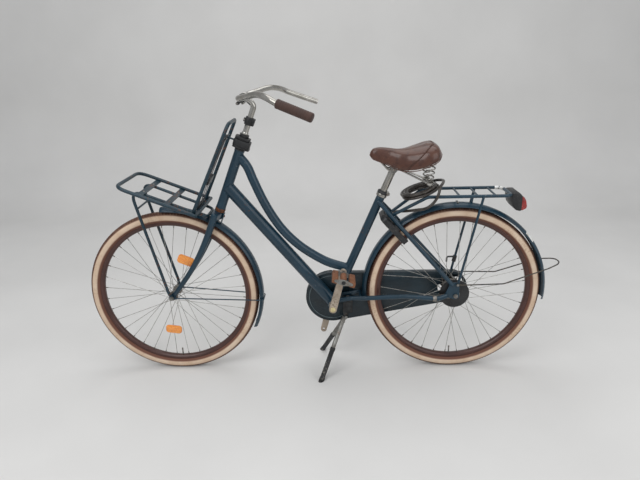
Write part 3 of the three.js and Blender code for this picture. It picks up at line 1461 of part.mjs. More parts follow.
function spring(side) {
  const low = springAt(side, SEAT - SPRING_SEAT_DROP);
  const high = springAt(side, HOLLOW_SHARE * SADDLE_HEIGHT - SEAT);
  const end = 2 * SPRING_WIRE;
  const steps = SPRING_CURLS * CURL_STEPS;
  const helix = Array.from({ length: steps + 1 }, (unused, i) => {
    const share = i / steps;
    const turn = share * SPRING_CURLS * 2 * Math.PI * -side;
    const radius = SPRING_LOW_RADIUS + share * (SPRING_HIGH_RADIUS - SPRING_LOW_RADIUS);
    const up = low.z + end + share * (high.z - low.z - 2 * end);
    return at(low.x + radius * Math.cos(turn), low.y + radius * Math.sin(turn), up);
  });
  const [first, last] = [helix[0], helix.at(-1)];
  const points = [at(first.x, first.y, low.z), ...helix, at(last.x, last.y, high.z)];
  const gap = leastGap(helix, SPRING_WIRE, 6 * SPRING_WIRE);
  console.log("saddle spring: least gap to itself " + gap.toFixed(2) + " mm");
  return woundTube(points, SPRING_WIRE, 5);
}

bike.add(mesh("seat_clamp", seatClamp(), "chrome"));
bike.add(mesh("seat_post", seatPost(), "chrome"));
bike.add(mesh("saddle_rails", saddleRails(), "chrome"));
bike.add(mesh("saddle_spring_left", spring(-1), "chrome"));
bike.add(mesh("saddle_spring_right", spring(1), "chrome"));
bike.add(mesh("saddle", saddle(), "leather"));

// Rear carrier with its legs, the rear mudguard, its loose stay and the rear light

const CARRIER_HALF = 68;
const CARRIER_RISE = 59; // of its rails above the tyre
const CARRIER_FRONT = 128; // in front of the rear axle, where the rails start to slope
const CARRIER_REAR = 190;
const CARRIER_FOOT_HALF = 25;
const CARRIER_BEND = 30;
const CROSS_BAR = 4; // radius
const CROSS_BARS = 3;
const CROSS_BAR_FIRST = 6; // in front of the axle
const CROSS_BAR_PITCH = 68;
const LEG_RADIUS = 5;
const LEG_TOP_BACK = 82;
const LEG_TAB_RADIUS = 7;
const STAY_HOLE_RADIUS = 6;
const LIGHT_WIDTH = 100;
const LIGHT_HEIGHT = 73;
const LIGHT_HOUSING = 38; // deep
const LENS_DEPTH = 22;
const LIGHT_ROUND = 16;
const LIGHT_RISE = 5; // top above the carrier's axis
const REAR_GUARD_LOW = THREE.MathUtils.degToRad(-6);
const REAR_GUARD_FRONT = THREE.MathUtils.degToRad(185);
const LOOSE_STAY_REACH = 420; // the loose stay's end behind the axle
const LOOSE_STAY_RISE = 122;
// Its bends, as shares of the reach, of the eye's distance out and of the rise.
const LOOSE_STAY_SHARES = [
  [0.45, 0.91, 0.41],
  [0.86, 0.8, 0.9],
  [1, 0.4, 1],
];

const CARRIER_HEIGHT = 2 * WHEEL_RADIUS + CARRIER_RISE;
const legInner = endOuter + SEAT;
const legHalf = legInner + LEG_RADIUS;
const eyelet = rearAxle.clone().add(at(EYELET_BACK, 0, EYELET_RISE));

function rearCarrier() {
  const bridge = downStay(STAY_BRIDGE_SHARE, 0);
  const half = [
    at(bridge.x, -CARRIER_FOOT_HALF, bridge.z + BRIDGE_RADIUS + SEAT + REAR_CARRIER_TUBE),
    at(-CARRIER_FRONT, -CARRIER_HALF, CARRIER_HEIGHT),
    at(CARRIER_REAR, -CARRIER_HALF, CARRIER_HEIGHT),
  ];
  const loop = bentTube([...half, ...mirroredY(half).reverse()], CARRIER_BEND, REAR_CARRIER_TUBE, 7, 2);
  const bars = Array.from({ length: CROSS_BARS }, (unused, i) => {
    const x = i * CROSS_BAR_PITCH - CROSS_BAR_FIRST;
    const [left, right] = [-1, 1].map((side) => at(x, side * CARRIER_HALF, CARRIER_HEIGHT));
    return straightTube(left, right, CROSS_BAR, 6);
  });
  const strutTop = at(CROSS_BAR_PITCH - CROSS_BAR_FIRST, 0, CARRIER_HEIGHT);
  const away = strutTop.clone().sub(rearAxle).normalize();
  const strutFoot = rearAxle.clone().addScaledVector(away, GUARD_OUTER + SEAT);
  const legs = [-1, 1].flatMap((side) => {
    const top = at(LEG_TOP_BACK, side * legHalf, CARRIER_HEIGHT);
    const foot = at(eyelet.x, side * legHalf, eyelet.z);
    const start = foot.clone().addScaledVector(top.clone().sub(foot).normalize(), 2 * LEG_TAB_RADIUS);
    const outline = outlineRound([[foot.x, foot.z, LEG_TAB_RADIUS], [start.x, start.z, LEG_RADIUS]], 8);
    return [
      straightTube(start, top, LEG_RADIUS, 6),
      plate(outline, side * legInner, side * (legInner + CARRIER_TAB),
        [[foot.x, foot.z, SCREW_RADIUS + SEAT, 8]]),
    ];
  });
  return join([loop, ...bars, straightTube(strutFoot, strutTop, CROSS_BAR, 6), ...legs]);
}

function rearMudguard() {
  return mudguard(REAR_GUARD_LOW, REAR_GUARD_FRONT, 20).translate(rearAxle.toArray());
}

function looseStay() {
  const inner = legInner + CARRIER_TAB + SEAT;
  const start = at(eyelet.x + 2 * STAY_HOLE_RADIUS, -inner - WIRE, eyelet.z);
  const bends = LOOSE_STAY_SHARES.map(([back, out, up]) =>
    at(back * LOOSE_STAY_REACH, -out * inner, rearAxle.z + up * LOOSE_STAY_RISE),
  );
  const half = [start, ...bends];
  const wire = bentTube([...half, ...mirroredY(half).reverse()], 8 * WIRE, WIRE, 5, 2);
  const outline = outlineRound([[eyelet.x, eyelet.z, STAY_HOLE_RADIUS], [start.x + WIRE, start.z, WIRE]], 8);
  const eyes = [-1, 1].map((side) =>
    plate(outline, side * inner, side * (inner + TAB), [[eyelet.x, eyelet.z, SCREW_RADIUS + SEAT, 8]]),
  );
  return join([wire, ...eyes]);
}

// Light outlines are drawn across the bike and pushed out along it.
function lightBlock(margin, from, depth) {
  const reachY = LIGHT_WIDTH / 2 - LIGHT_ROUND;
  const reachZ = LIGHT_HEIGHT / 2 - LIGHT_ROUND;
  const middle = CARRIER_HEIGHT + LIGHT_RISE - LIGHT_HEIGHT / 2;
  const outline = outlineRound([-1, 1].flatMap((y) =>
    [-1, 1].map((z) => [y * reachY, middle + z * reachZ, LIGHT_ROUND - margin]),
  ), 12);
  return plate(outline, from, from + depth).rotate([0, 0, -90]);
}

const lightStart = CARRIER_REAR + REAR_CARRIER_TUBE + SEAT;

bike.add(mesh("rear_carrier", rearCarrier(), "paint"));
bike.add(mesh("rear_mudguard", rearMudguard(), "paint"));
bike.add(mesh("rear_mudguard_stay", looseStay(), "steel"));
bike.add(mesh("rear_light_housing", lightBlock(0, lightStart, LIGHT_HOUSING), "black"));
bike.add(mesh("rear_light_lens", lightBlock(SEAT * 4, lightStart + LIGHT_HOUSING + SEAT, LENS_DEPTH), "red"));

// Ring lock on the seat stays: a body round the rim and tyre, with a channel for its shackle

const LOCK_INNER = 46;
const LOCK_OUTER = 64;
const LOCK_THICKNESS = 22;
const LOCK_TOP = 106; // above the ring's centre
const LOCK_ROUND = 18;
const LOCK_OPENING = 34; // ends of the arms below the ring's centre
const SHACKLE_AWAY = 54; // shackle's own radius of turn
const SHACKLE_RADIUS = 4.5;
const CHANNEL = SHACKLE_RADIUS + RUNNING;
const SHACKLE_SPAN = THREE.MathUtils.degToRad(130);
const SHACKLE_TURN = THREE.MathUtils.degToRad(112);
const SHACKLE_HIDE = THREE.MathUtils.degToRad(3); // tip inside the arm when open
const SHACKLE_STEPS = 8;
const LOCK_SIDES = 20;
const LEVER_WIDTH = 6;
const LEVER_REACH = 10; // beyond the lock's face
const LUG_WIDTH = 14;
const LUG_HEIGHT = 22;
const LUG_DEPTH = 8;

const lockRay = at(Math.cos(LOCK_ANGLE), 0, Math.sin(LOCK_ANGLE));
const lockPlace = new THREE.Matrix4().makeBasis(at(0, 1, 0), lockRay.clone().cross(at(0, 1, 0)), lockRay);
lockPlace.setPosition(rearAxle.clone().addScaledVector(lockRay, LOCK_AWAY));
const lock = new THREE.Group();
lockPlace.decompose(lock.position, lock.quaternion, lock.scale);

// A bent bar round the lock's axis, between two angles measured from straight down.
function lockArc(section, from, to, steps) {
  const rings = Array.from({ length: steps + 1 }, (unused, i) => {
    const turn = from + ((to - from) * i) / steps;
    return section.map(([away, y]) =>
      at((SHACKLE_AWAY + away) * Math.sin(turn), y, -(SHACKLE_AWAY + away) * Math.cos(turn)),
    );
  });
  return loft(rings);
}

const squareSection = (half, from, to) => [
  [-half, from],
  [half, from],
  [half, to],
  [-half, to],
];

const armAngle = Math.acos(LOCK_OPENING / SHACKLE_AWAY);
const openStart = armAngle + SHACKLE_HIDE;
const leverAngle = openStart + SHACKLE_SPAN - SHACKLE_HIDE * 2;

function lockBody() {
  const half = LOCK_THICKNESS / 2;
  const reach = LOCK_OUTER - LOCK_ROUND;
  const outline = outlineRound([
    [0, 0, LOCK_OUTER],
    [-reach, LOCK_TOP - LOCK_ROUND, LOCK_ROUND],
    [reach, LOCK_TOP - LOCK_ROUND, LOCK_ROUND],
  ], 24);
  const body = plate(outline, -half, half);
  const ring = turned(disc(LOCK_INNER, -LOCK_THICKNESS, LOCK_THICKNESS), 20);
  const below = block(4 * LOCK_OUTER, 2 * LOCK_THICKNESS, LOCK_OUTER,
    at(0, 0, -LOCK_OPENING - LOCK_OUTER / 2));
  const channelInner = (SHACKLE_AWAY - CHANNEL) * Math.cos(SHACKLE_SPAN / SHACKLE_STEPS / 2);
  const channelOuter = (SHACKLE_AWAY + CHANNEL) / Math.cos(Math.PI / LOCK_SIDES);
  const channel = turned(tube(channelOuter, channelInner, -CHANNEL, CHANNEL), LOCK_SIDES);
  const slack = LEVER_WIDTH / SHACKLE_AWAY;
  const slot = lockArc(
    squareSection(LEVER_WIDTH / 2 + 2 * RUNNING, 0, LOCK_THICKNESS),
    leverAngle - SHACKLE_TURN - slack, leverAngle + slack, SHACKLE_STEPS);
  const inverse = lockPlace.clone().invert();
  const stays = [-1, 1].map((side) =>
    seatStayTube(side, SEAT_STAY_RADIUS + SEAT).transform(inverse.elements),
  );
  const lugs = [-1, 1].map((side) =>
    block(LUG_WIDTH, LUG_DEPTH, LUG_HEIGHT,
      at(side * (LOCK_INNER + SEAT_STAY_RADIUS / 2), -half - LUG_DEPTH / 2 + SEAT, LUG_RISE)),
  );
  return cut(join([body, ...lugs]), [ring, below, channel, slot, ...stays]);
}

function lockShackle() {
  const section = circle(SHACKLE_RADIUS, 8).getPoints().slice(0, -1).map((p) => [p.x, p.y]);
  const bar = lockArc(section, openStart, openStart + SHACKLE_SPAN, SHACKLE_STEPS);
  const half = LOCK_THICKNESS / 2;
  const lever = lockArc(
    squareSection(LEVER_WIDTH / 2, 0, half + LEVER_REACH),
    leverAngle - LEVER_WIDTH / 2 / SHACKLE_AWAY, leverAngle + LEVER_WIDTH / 2 / SHACKLE_AWAY, 1);
  return join([bar, lever]);
}

lock.add(mesh("ring_lock_body", lockBody(), "black"));
lock.add(mesh("ring_lock_shackle", lockShackle(), "steel"));
bike.add(lock);

// Drive: cranks, toothed wheels and the full chain case round them

const TOOTH_DEPTH = 6;
const TOOTH_WIDTH = 2.4;
const CRANK_EYE_RADIUS = 13;
const CRANK_BOSS_RADIUS = 16;
const CRANK_INNER = 62; // from the middle of the bike
const CRANK_WIDTH = 16;
const CRANK_ARM = 12; // thickness
const CRANK_ANGLE = THREE.MathUtils.degToRad(75); // left crank above the ground's level
const PEDAL_BORE = 6;
const CASE_INNER = 30.5; // from the middle of the bike
const CASE_OUTER = 60.5;
const CASE_WALL = 1.5;
const CASE_FRONT_RADIUS = 112;
const CASE_REAR_RADIUS = 66;
const CASE_RISE = 7; // its front round's centre above the crank axis
const CASE_SETBACK = 3; // the same, in front of it
const CASE_HUB_HOLE = 56;
const CASE_CLEAR = 2; // round what turns in the case's walls
const CASE_NOTCH_LENGTH = 75; // in front of the rear axle
const CASE_NOTCH_HALF = 31;

const pitchRadius = (teeth) => CHAIN_PITCH / 2 / Math.sin(Math.PI / teeth);

function toothedWheel(teeth) {
  const root = pitchRadius(teeth) - TOOTH_DEPTH / 2;
  const tip = pitchRadius(teeth) + TOOTH_DEPTH / 2;
  const outline = Array.from({ length: teeth }, (unused, i) => {
    const turn = (i / teeth) * 2 * Math.PI;
    const next = turn + Math.PI / teeth;
    return [
      new THREE.Vector2(root * Math.cos(turn), root * Math.sin(turn)),
      new THREE.Vector2(tip * Math.cos(next), tip * Math.sin(next)),
    ];
  }).flat();
  return plate(outline, CHAIN_LINE - TOOTH_WIDTH / 2, CHAIN_LINE + TOOTH_WIDTH / 2);
}

function crankArm(side) {
  const middle = side * (CRANK_INNER + CRANK_WIDTH / 2);
  const turn = side < 0 ? CRANK_ANGLE : CRANK_ANGLE + Math.PI;
  const eye = [CRANK_LENGTH * Math.cos(turn), CRANK_LENGTH * Math.sin(turn)];
  const outline = outlineRound([[0, 0, CRANK_BOSS_RADIUS], [...eye, CRANK_EYE_RADIUS]], 12);
  const arm = plate(outline, middle - CRANK_ARM / 2, middle + CRANK_ARM / 2);
  const opening = side < 0 ? [] : [
    turned(disc(PEDAL_BORE, -CRANK_WIDTH, CRANK_WIDTH), 8).translate([eye[0], middle, eye[1]]),
  ];
  const boss = turned(disc(CRANK_BOSS_RADIUS, middle - CRANK_WIDTH / 2, middle + CRANK_WIDTH / 2), 14);
  const spindle = turned(
    disc(SPINDLE_RADIUS + SEAT, middle - CRANK_WIDTH, middle + CRANK_WIDTH), 12);
  return { arm: cut(join([arm, boss]), opening), spindle };
}

function rightCrank() {
  const { arm, spindle } = crankArm(1);
  const sleeve = turned(disc(CRANK_BOSS_RADIUS, CHAIN_LINE, CRANK_INNER + CRANK_WIDTH / 2), 14);
  const bore = turned(disc(SPINDLE_RADIUS + SEAT, SHELL_LENGTH / 2, CRANK_INNER), 12);
  return cut(join([arm, sleeve, toothedWheel(CHAINRING_TEETH)]), [spindle, bore]);
}

// The left crank carries the pedal's spindle in its eye.
function leftCrank() {
  const { arm, spindle } = crankArm(-1);
  const away = [CRANK_LENGTH * Math.cos(CRANK_ANGLE), 0, CRANK_LENGTH * Math.sin(CRANK_ANGLE)];
  const shaft = turned(disc(PEDAL_SPINDLE, 3 * PEDAL_PLATE - pedalEnd, -CRANK_INNER - CRANK_ARM / 2), 8);
  return join([cut(arm, [spindle]), shaft.translate(away)]);
}

function rearSprocket() {
  const sleeve = turned(disc(DRIVER_RADIUS, driverStart, driverEnd), 14);
  const bore = turned(disc(AXLE_RADIUS + RUNNING, driverStart - OVERRUN, driverEnd + OVERRUN), 10);
  return cut(join([toothedWheel(SPROCKET_TEETH), sleeve]), [bore]);
}

function chainCase() {
  const front = [shell.x - CASE_SETBACK, shell.z + CASE_RISE];
  const outline = (margin) => outlineRound([
    [...front, CASE_FRONT_RADIUS - margin],
    [rearAxle.x, rearAxle.z, CASE_REAR_RADIUS - margin],
  ], 20);
  const outer = plate(outline(0), CASE_INNER, CASE_OUTER);
  const inner = plate(outline(CASE_WALL), CASE_INNER + CASE_WALL, CASE_OUTER - CASE_WALL);
  const hole = (centre, radius, from, to, sides) =>
    turned(disc(radius, from, to), sides).translate([centre.x, 0, centre.z]);
  const middle = (CASE_INNER + CASE_OUTER) / 2;
  const notchLength = CASE_REAR_RADIUS + CASE_NOTCH_LENGTH + OVERRUN;
  const notch = block(notchLength, CASE_OUTER - middle, 2 * CASE_NOTCH_HALF,
    at(notchLength / 2 - CASE_NOTCH_LENGTH, CASE_OUTER, rearAxle.z));
  return cut(outer, [
    inner,
    hole(shell, holeRadius(SHELL_RADIUS + SEAT, 16), CASE_INNER - OVERRUN, middle, 16),
    hole(shell, CRANK_BOSS_RADIUS + CASE_CLEAR, middle, CASE_OUTER + OVERRUN, 14),
    hole(rearAxle, CASE_HUB_HOLE, CASE_INNER - OVERRUN, middle, 16),
    notch,
    chainStayTube(1, CHAIN_STAY_RADIUS + CASE_WALL),
    chainStayBridge(BRIDGE_RADIUS + CASE_WALL),
  ]);
}

// Left pedal on the raised crank: spindle, cage and two rubber blocks, tipped forward up

const PEDAL_START = 95; // from the middle of the bike
const PEDAL_LENGTH = 85;
const PEDAL_SPINDLE = 4.5; // radius
const PEDAL_BARREL = 9; // radius
const PEDAL_PLATE = 3;
const PEDAL_REACH = 34; // of the blocks' middles from the spindle
const PEDAL_BLOCK = 22; // rubber block's side
const PEDAL_TIP = THREE.MathUtils.degToRad(16);

const pedalEnd = PEDAL_START + PEDAL_LENGTH;

function crankSpindle() {
  const end = CRANK_INNER + CRANK_WIDTH;
  return turned(disc(SPINDLE_RADIUS, -end, end), 12);
}

function pedalCage() {
  const bore = turned(disc(PEDAL_SPINDLE + RUNNING, -pedalEnd + PEDAL_PLATE * 2, 0), 8);
  const barrel = turned(disc(PEDAL_BARREL, -pedalEnd, -PEDAL_START), 12);
  const outline = outlineRound([
    [-PEDAL_REACH, 0, PEDAL_BLOCK / 2],
    [PEDAL_REACH, 0, PEDAL_BLOCK / 2],
    [0, 0, PEDAL_BLOCK / 2 + PEDAL_PLATE],
  ], 10);
  const plates = [-PEDAL_START - PEDAL_PLATE, -pedalEnd + PEDAL_PLATE].map((y) =>
    plate(outline, y - PEDAL_PLATE, y),
  );
  return cut(join([barrel, ...plates]), [bore]);
}

function pedalBlock(side) {
  const [from, to] = [-pedalEnd + PEDAL_PLATE + SEAT, -PEDAL_START - 2 * PEDAL_PLATE - SEAT];
  return block(PEDAL_BLOCK, to - from, PEDAL_BLOCK, at(side * PEDAL_REACH, (from + to) / 2, 0));
}

const pedal = new THREE.Group();
pedal.position.set(CRANK_LENGTH * Math.cos(CRANK_ANGLE), 0, CRANK_LENGTH * Math.sin(CRANK_ANGLE));
pedal.rotation.y = PEDAL_TIP;
pedal.add(mesh("pedal_cage", pedalCage(), "steel"));
pedal.add(mesh("pedal_block_front", pedalBlock(-1), "rubberTan"));
pedal.add(mesh("pedal_block_rear", pedalBlock(1), "rubberTan"));
cranks.add(pedal);
cranks.add(mesh("crank_spindle", crankSpindle(), "steel"));
cranks.add(mesh("crank_left", leftCrank(), "steel"));
cranks.add(mesh("crank_right", rightCrank(), "steel"));
bike.add(mesh("chain_case", chainCase(), "vinyl"));
const sprocket = mesh("rear_sprocket", rearSprocket(), "steel");
rearWheel.add(sprocket);

// Brake arm of the rear hub, clipped to the left chain stay

const ARM_EYE_RADIUS = 14;
const ARM_REACH = 84;
const ARM_END_RADIUS = 7;
const ARM_BAND = 3; // thickness
const ARM_BAND_WIDTH = 14;

function brakeArm() {
  const outerFace = endInner - REAR_LOCKNUT - 2 * SEAT;
  const stayLevel = rearAxle.z - CHAIN_STAY_RADIUS;
  const outline = outlineRound([
    [rearAxle.x, rearAxle.z, ARM_EYE_RADIUS],
    [rearAxle.x - ARM_REACH, stayLevel, ARM_END_RADIUS],
  ], 12);
  const arm = plate(outline, -outerFace, BRAKE_ARM - outerFace,
    [[rearAxle.x, rearAxle.z, AXLE_RADIUS + SEAT, 10]]);
  const band = intersection(
    chainStayTube(-1, CHAIN_STAY_RADIUS + SEAT + ARM_BAND),
    block(ARM_BAND_WIDTH, 2 * CRANK_LENGTH, CRANK_LENGTH, at(rearAxle.x - ARM_REACH, 0, stayLevel)),
  );
  return cut(join([arm, band]), [chainStayTube(-1, CHAIN_STAY_RADIUS + SEAT)]);
}

// Centre stand: bracket under the chain stays, a folding yoke and two black feet

const STAND_FRONT = 455; // bracket's front end, in front of the rear axle
const STAND_BACK = 415;
const STAND_HALF = 22;
const STAND_DEPTH = 43; // bracket's underside below the crank axis
const STAND_PIVOT_SETBACK = 443;
const STAND_PIVOT_DROP = 19; // below the bracket
const STAND_CHEEK = 4;
const STAND_BARREL = 9; // radius
const STAND_BOLT = 4; // radius
const YOKE_DROP = 28; // column below the pivot
const YOKE_LEAN = 14;
const YOKE_RADIUS = 10;
const LEG_LEAN = 94; // feet in front of the column's end
const LEG_SPREAD = 128;
const STAND_LEG_RADIUS = 9;
const STAND_FOOT_RADIUS = 11;
const FOOT_SHARE = 0.45; // of the leg, where the black foot starts

const STAND_BASE = shell.z - STAND_DEPTH;
const pivot = at(-STAND_PIVOT_SETBACK, 0, STAND_BASE - STAND_PIVOT_DROP);
const yokeEnd = pivot.clone().add(at(-YOKE_LEAN, 0, -YOKE_DROP));
const legEnd = (side) => at(yokeEnd.x - LEG_LEAN, side * LEG_SPREAD, 0);

function standBracket() {
  const top = shell.z + CHAIN_STAY_RADIUS * 2;
  const length = STAND_FRONT - STAND_BACK;
  const x = -(STAND_FRONT + STAND_BACK) / 2;
  const seatBlock = block(length, 2 * STAND_HALF, top - STAND_BASE, at(x, 0, (top + STAND_BASE) / 2));
  const cheekOutline = outlineRound([
    [pivot.x, pivot.z, STAND_BARREL],
    [pivot.x, STAND_BASE + STAND_BARREL, STAND_BARREL + STAND_CHEEK],
  ], 12);
  const cheeks = [-1, 1].map((side) =>
    plate(cheekOutline, side * (STAND_HALF - STAND_CHEEK), side * STAND_HALF));
  const bolt = turned(disc(STAND_BOLT, -STAND_HALF, STAND_HALF), 8).translate(pivot.toArray());
  const stays = [-1, 1].map((side) => chainStayTube(side, CHAIN_STAY_RADIUS + SEAT));
  return cut(join([seatBlock, ...cheeks, bolt]), stays);
}

function standYoke() {
  const half = STAND_HALF - STAND_CHEEK - RUNNING;
  const barrel = turned(disc(STAND_BARREL, -half, half), 12).translate(pivot.toArray());
  const bore = turned(disc(STAND_BOLT + RUNNING, -STAND_HALF, STAND_HALF), 8).translate(pivot.toArray());
  const column = taper(pivot, yokeEnd, [YOKE_RADIUS, YOKE_RADIUS], 8);
  const knot = turned(disc(YOKE_RADIUS, -YOKE_RADIUS, YOKE_RADIUS), 8).translate(yokeEnd.toArray());
  const legs = [-1, 1].map((side) =>
    straightTube(yokeEnd, yokeEnd.clone().lerp(legEnd(side), FOOT_SHARE), STAND_LEG_RADIUS, 8),
  );
  return cut(join([barrel, column, knot, ...legs]), [bore]);
}

function standFoot(side) {
  const way = legEnd(side).sub(yokeEnd);
  const start = yokeEnd.clone().addScaledVector(way, FOOT_SHARE);
  start.addScaledVector(way.clone().normalize(), SEAT);
  const past = yokeEnd.clone().addScaledVector(way, 1 + STAND_FOOT_RADIUS / way.length());
  const below = block(2 * LEG_SPREAD, 4 * LEG_SPREAD, LEG_SPREAD, at(legEnd(1).x, 0, -LEG_SPREAD / 2));
  return cut(straightTube(start, past, STAND_FOOT_RADIUS, 10), [below]);
}

bike.add(mesh("brake_arm", brakeArm(), "steel"));
bike.add(mesh("stand_bracket", standBracket(), "steel"));
bike.add(mesh("stand_yoke", standYoke(), "steel"));
bike.add(mesh("stand_foot_left", standFoot(-1), "black"));
bike.add(mesh("stand_foot_right", standFoot(1), "black"));

// Lock cable: five loops in two layers on the carrier's rails, and its tail

const CABLE_RADIUS = 5.5;
const CABLE_LOOPS = 5;
const CABLE_STEPS = 14; // on one loop
const CABLE_CLEAR = 0.7; // between two loops
const CABLE_INNER = 46; // radius of the innermost half loop
const COIL_TILT = THREE.MathUtils.degToRad(18); // rear side up
const COIL_START = THREE.MathUtils.degToRad(240);
const COIL_SETBACK = 150;
const COIL_RISE = 10; // of the coil's middle above the carrier's rails
const TAIL_STEPS = 17;

const coilPitch = 2 * CABLE_RADIUS + CABLE_CLEAR;
const coilPlace = new THREE.Matrix4().makeRotationY(-COIL_TILT);
coilPlace.setPosition(-COIL_SETBACK, 0, CARRIER_HEIGHT + COIL_RISE);

function coilPoints() {
  const steps = CABLE_LOOPS * CABLE_STEPS;
  const loops = Array.from({ length: steps + 1 }, (unused, i) => {
    const turn = (i / steps - 1 / 2) * CABLE_LOOPS * 2 * Math.PI;
    const radius = CABLE_INNER + (coilPitch * Math.abs(turn)) / (2 * Math.PI);
    const layer = THREE.MathUtils.clamp(turn / Math.PI, -1 / 2, 1 / 2);
    const place = COIL_START - turn;
    return at(radius * Math.cos(place), radius * Math.sin(place), layer * coilPitch);
  });
  const before = loops[0].clone().sub(loops[1]).setLength(2 * CABLE_RADIUS).add(loops[0]);
  const after = loops.at(-1).clone().sub(loops.at(-2)).setLength(2 * CABLE_RADIUS).add(loops.at(-1));
  return [before, ...loops, after].map((p) => p.applyMatrix4(coilPlace));
}

function cableCoil() {
  const points = coilPoints();
  const gap = leastGap(points, CABLE_RADIUS, 4 * CABLE_RADIUS);
  console.log("lock cable: least gap to itself " + gap.toFixed(2) + " mm");
  return woundTube(points, CABLE_RADIUS, 6);
}

// The tail leaves the coil's upper end, hangs over the left rail and runs under it to the bridge.
function cableTail() {
  const [before, end] = coilPoints().slice(-2);
  const way = end.clone().sub(before).normalize();
  const start = end.clone().addScaledVector(way, SEAT);
  const path = new THREE.CatmullRomCurve3([
    start,
    start.clone().addScaledVector(way, CABLE_RADIUS),
    at(-78, 38, 812),
    at(-62, 2, 820),
    at(-68, -44, 822),
    at(-84, -74, 810),
    at(-92, -87, 786),
    at(-106, -87, 757),
    at(-133, -82, 732),
    at(-168, -60, 719),
    at(-203, -32, 707),
    at(-236, -8, 699),
    at(-251, 0, 691),
  ]);
  return sweep(circle(CABLE_RADIUS, 8), path, TAIL_STEPS);
}

bike.add(mesh("lock_cable", cableCoil(), "black"));
bike.add(mesh("lock_cable_tail", cableTail(), "black"));

// The whole bike stands on the ground with its length and width centred on the origin.
const bounds = new THREE.Box3().setFromObject(bike);
const part = new THREE.Group();
part.add(bike);
bike.position.x = -(bounds.min.x + bounds.max.x) / 2;

export default part;
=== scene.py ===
import json
import math

import bmesh
import bpy
from mathutils import Matrix, Vector


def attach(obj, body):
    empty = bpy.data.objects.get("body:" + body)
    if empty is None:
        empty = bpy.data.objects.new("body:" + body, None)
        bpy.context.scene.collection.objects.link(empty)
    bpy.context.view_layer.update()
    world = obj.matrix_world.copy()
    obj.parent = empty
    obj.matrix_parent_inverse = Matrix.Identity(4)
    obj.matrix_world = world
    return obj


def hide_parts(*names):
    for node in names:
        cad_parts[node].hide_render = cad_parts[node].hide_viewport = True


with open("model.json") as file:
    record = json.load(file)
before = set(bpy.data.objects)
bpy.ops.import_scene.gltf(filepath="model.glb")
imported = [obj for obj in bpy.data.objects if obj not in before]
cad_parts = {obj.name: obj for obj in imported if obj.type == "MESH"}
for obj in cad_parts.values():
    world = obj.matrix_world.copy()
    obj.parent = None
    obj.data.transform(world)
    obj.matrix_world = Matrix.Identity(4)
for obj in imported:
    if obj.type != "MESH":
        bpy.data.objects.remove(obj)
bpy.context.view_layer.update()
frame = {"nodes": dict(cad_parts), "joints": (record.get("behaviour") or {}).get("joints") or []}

scene = bpy.context.scene
scene.view_settings.view_transform = "Standard"

# Camera: it stands in front of the bicycle's left side, a little above the handlebar,
# and looks down on it, as the photographer did.
camera_place = Vector((0.0758, -2.0651, 1.2989))
camera_yaw = math.radians(2.02)
camera_dip = math.radians(19.15)
camera_roll = math.radians(-1.5)
camera = bpy.data.objects.new("camera", bpy.data.cameras.new("camera"))
scene.collection.objects.link(camera)
camera.data.sensor_width = 36.0
camera.data.lens = 30.28
camera.matrix_world = (
    Matrix.Translation(camera_place)
    @ Matrix.Rotation(camera_yaw, 4, "Z")
    @ Matrix.Rotation(math.pi / 2 - camera_dip, 4, "X")
    @ Matrix.Rotation(camera_roll, 4, "Z")
)
scene.camera = camera

# Lock cable: a steel rope in a smoky plastic sheath, wound in five loops on the rear
# carrier's rails. Its end runs over the left rail and under it to the bridge on the seat stays.
joints = {joint["name"]: joint for joint in frame["joints"]}
rear_axle = Vector(joints["rear_wheel_spin"]["pos_m"])
cable_radius = 0.0055
cable_loops = 5
cable_steps = 28
cable_inner = 0.046
cable_gap = 0.0007
coil_tilt = math.radians(18)
coil_start = math.radians(240)
coil_setback = 0.150
coil_height = 0.781
tail_bends = [
    (-0.078, 0.038, 0.812), (-0.062, 0.002, 0.820), (-0.068, -0.044, 0.822),
    (-0.084, -0.074, 0.810), (-0.092, -0.087, 0.786), (-0.106, -0.087, 0.757),
    (-0.133, -0.082, 0.732), (-0.168, -0.060, 0.719), (-0.203, -0.032, 0.707),
    (-0.236, -0.008, 0.699), (-0.251, 0.0, 0.691),
]


def from_rear(back, side, up):
    """A place measured back from the rear axle, across, and up from the ground."""
    return Vector((rear_axle.x + back, side, up))


def through(points, steps):
    """A smooth path through points, with that many steps between each two."""
    points = [Vector(point) for point in points]
    ends = [2 * points[0] - points[1], *points, 2 * points[-1] - points[-2]]
    path = []
    for a, b, c, d in zip(ends, ends[1:], ends[2:], ends[3:]):
        ta = max((b - a).length, 1e-9) ** 0.5
        tb = max((c - b).length, 1e-9) ** 0.5
        tc = max((d - c).length, 1e-9) ** 0.5
        leave = ((b - a) / ta - (c - a) / (ta + tb) + (c - b) / tb) * tb
        reach = ((c - b) / tb - (d - b) / (tb + tc) + (d - c) / tc) * tb
        for step in range(steps):
            t = step / steps
            path.append(
                b * (2 * t**3 - 3 * t**2 + 1)
                + leave * (t**3 - 2 * t**2 + t)
                + c * (3 * t**2 - 2 * t**3)
                + reach * (t**3 - t**2)
            )
    return [*path, points[-1]]


def placed(name, mesh):
    """A mesh as an object of the scene."""
    piece = bpy.data.objects.new(name, mesh)
    scene.collection.objects.link(piece)
    return piece


def smooth(piece, sharp=40.0):
    """The same piece, shaded smooth but for edges sharper than an angle."""
    piece.data.shade_smooth()
    piece.data.set_sharp_from_angle(angle=math.radians(sharp))
    return piece


def ring_faces(count, size, closed=False):
    """The faces between rings of points, each joined to the next one."""
    return [(k * size + i, k * size + (i + 1) % size, (k + 1) % count * size + (i + 1) % size,
        (k + 1) % count * size + i) for k in range(count if closed else count - 1) for i in range(size)]


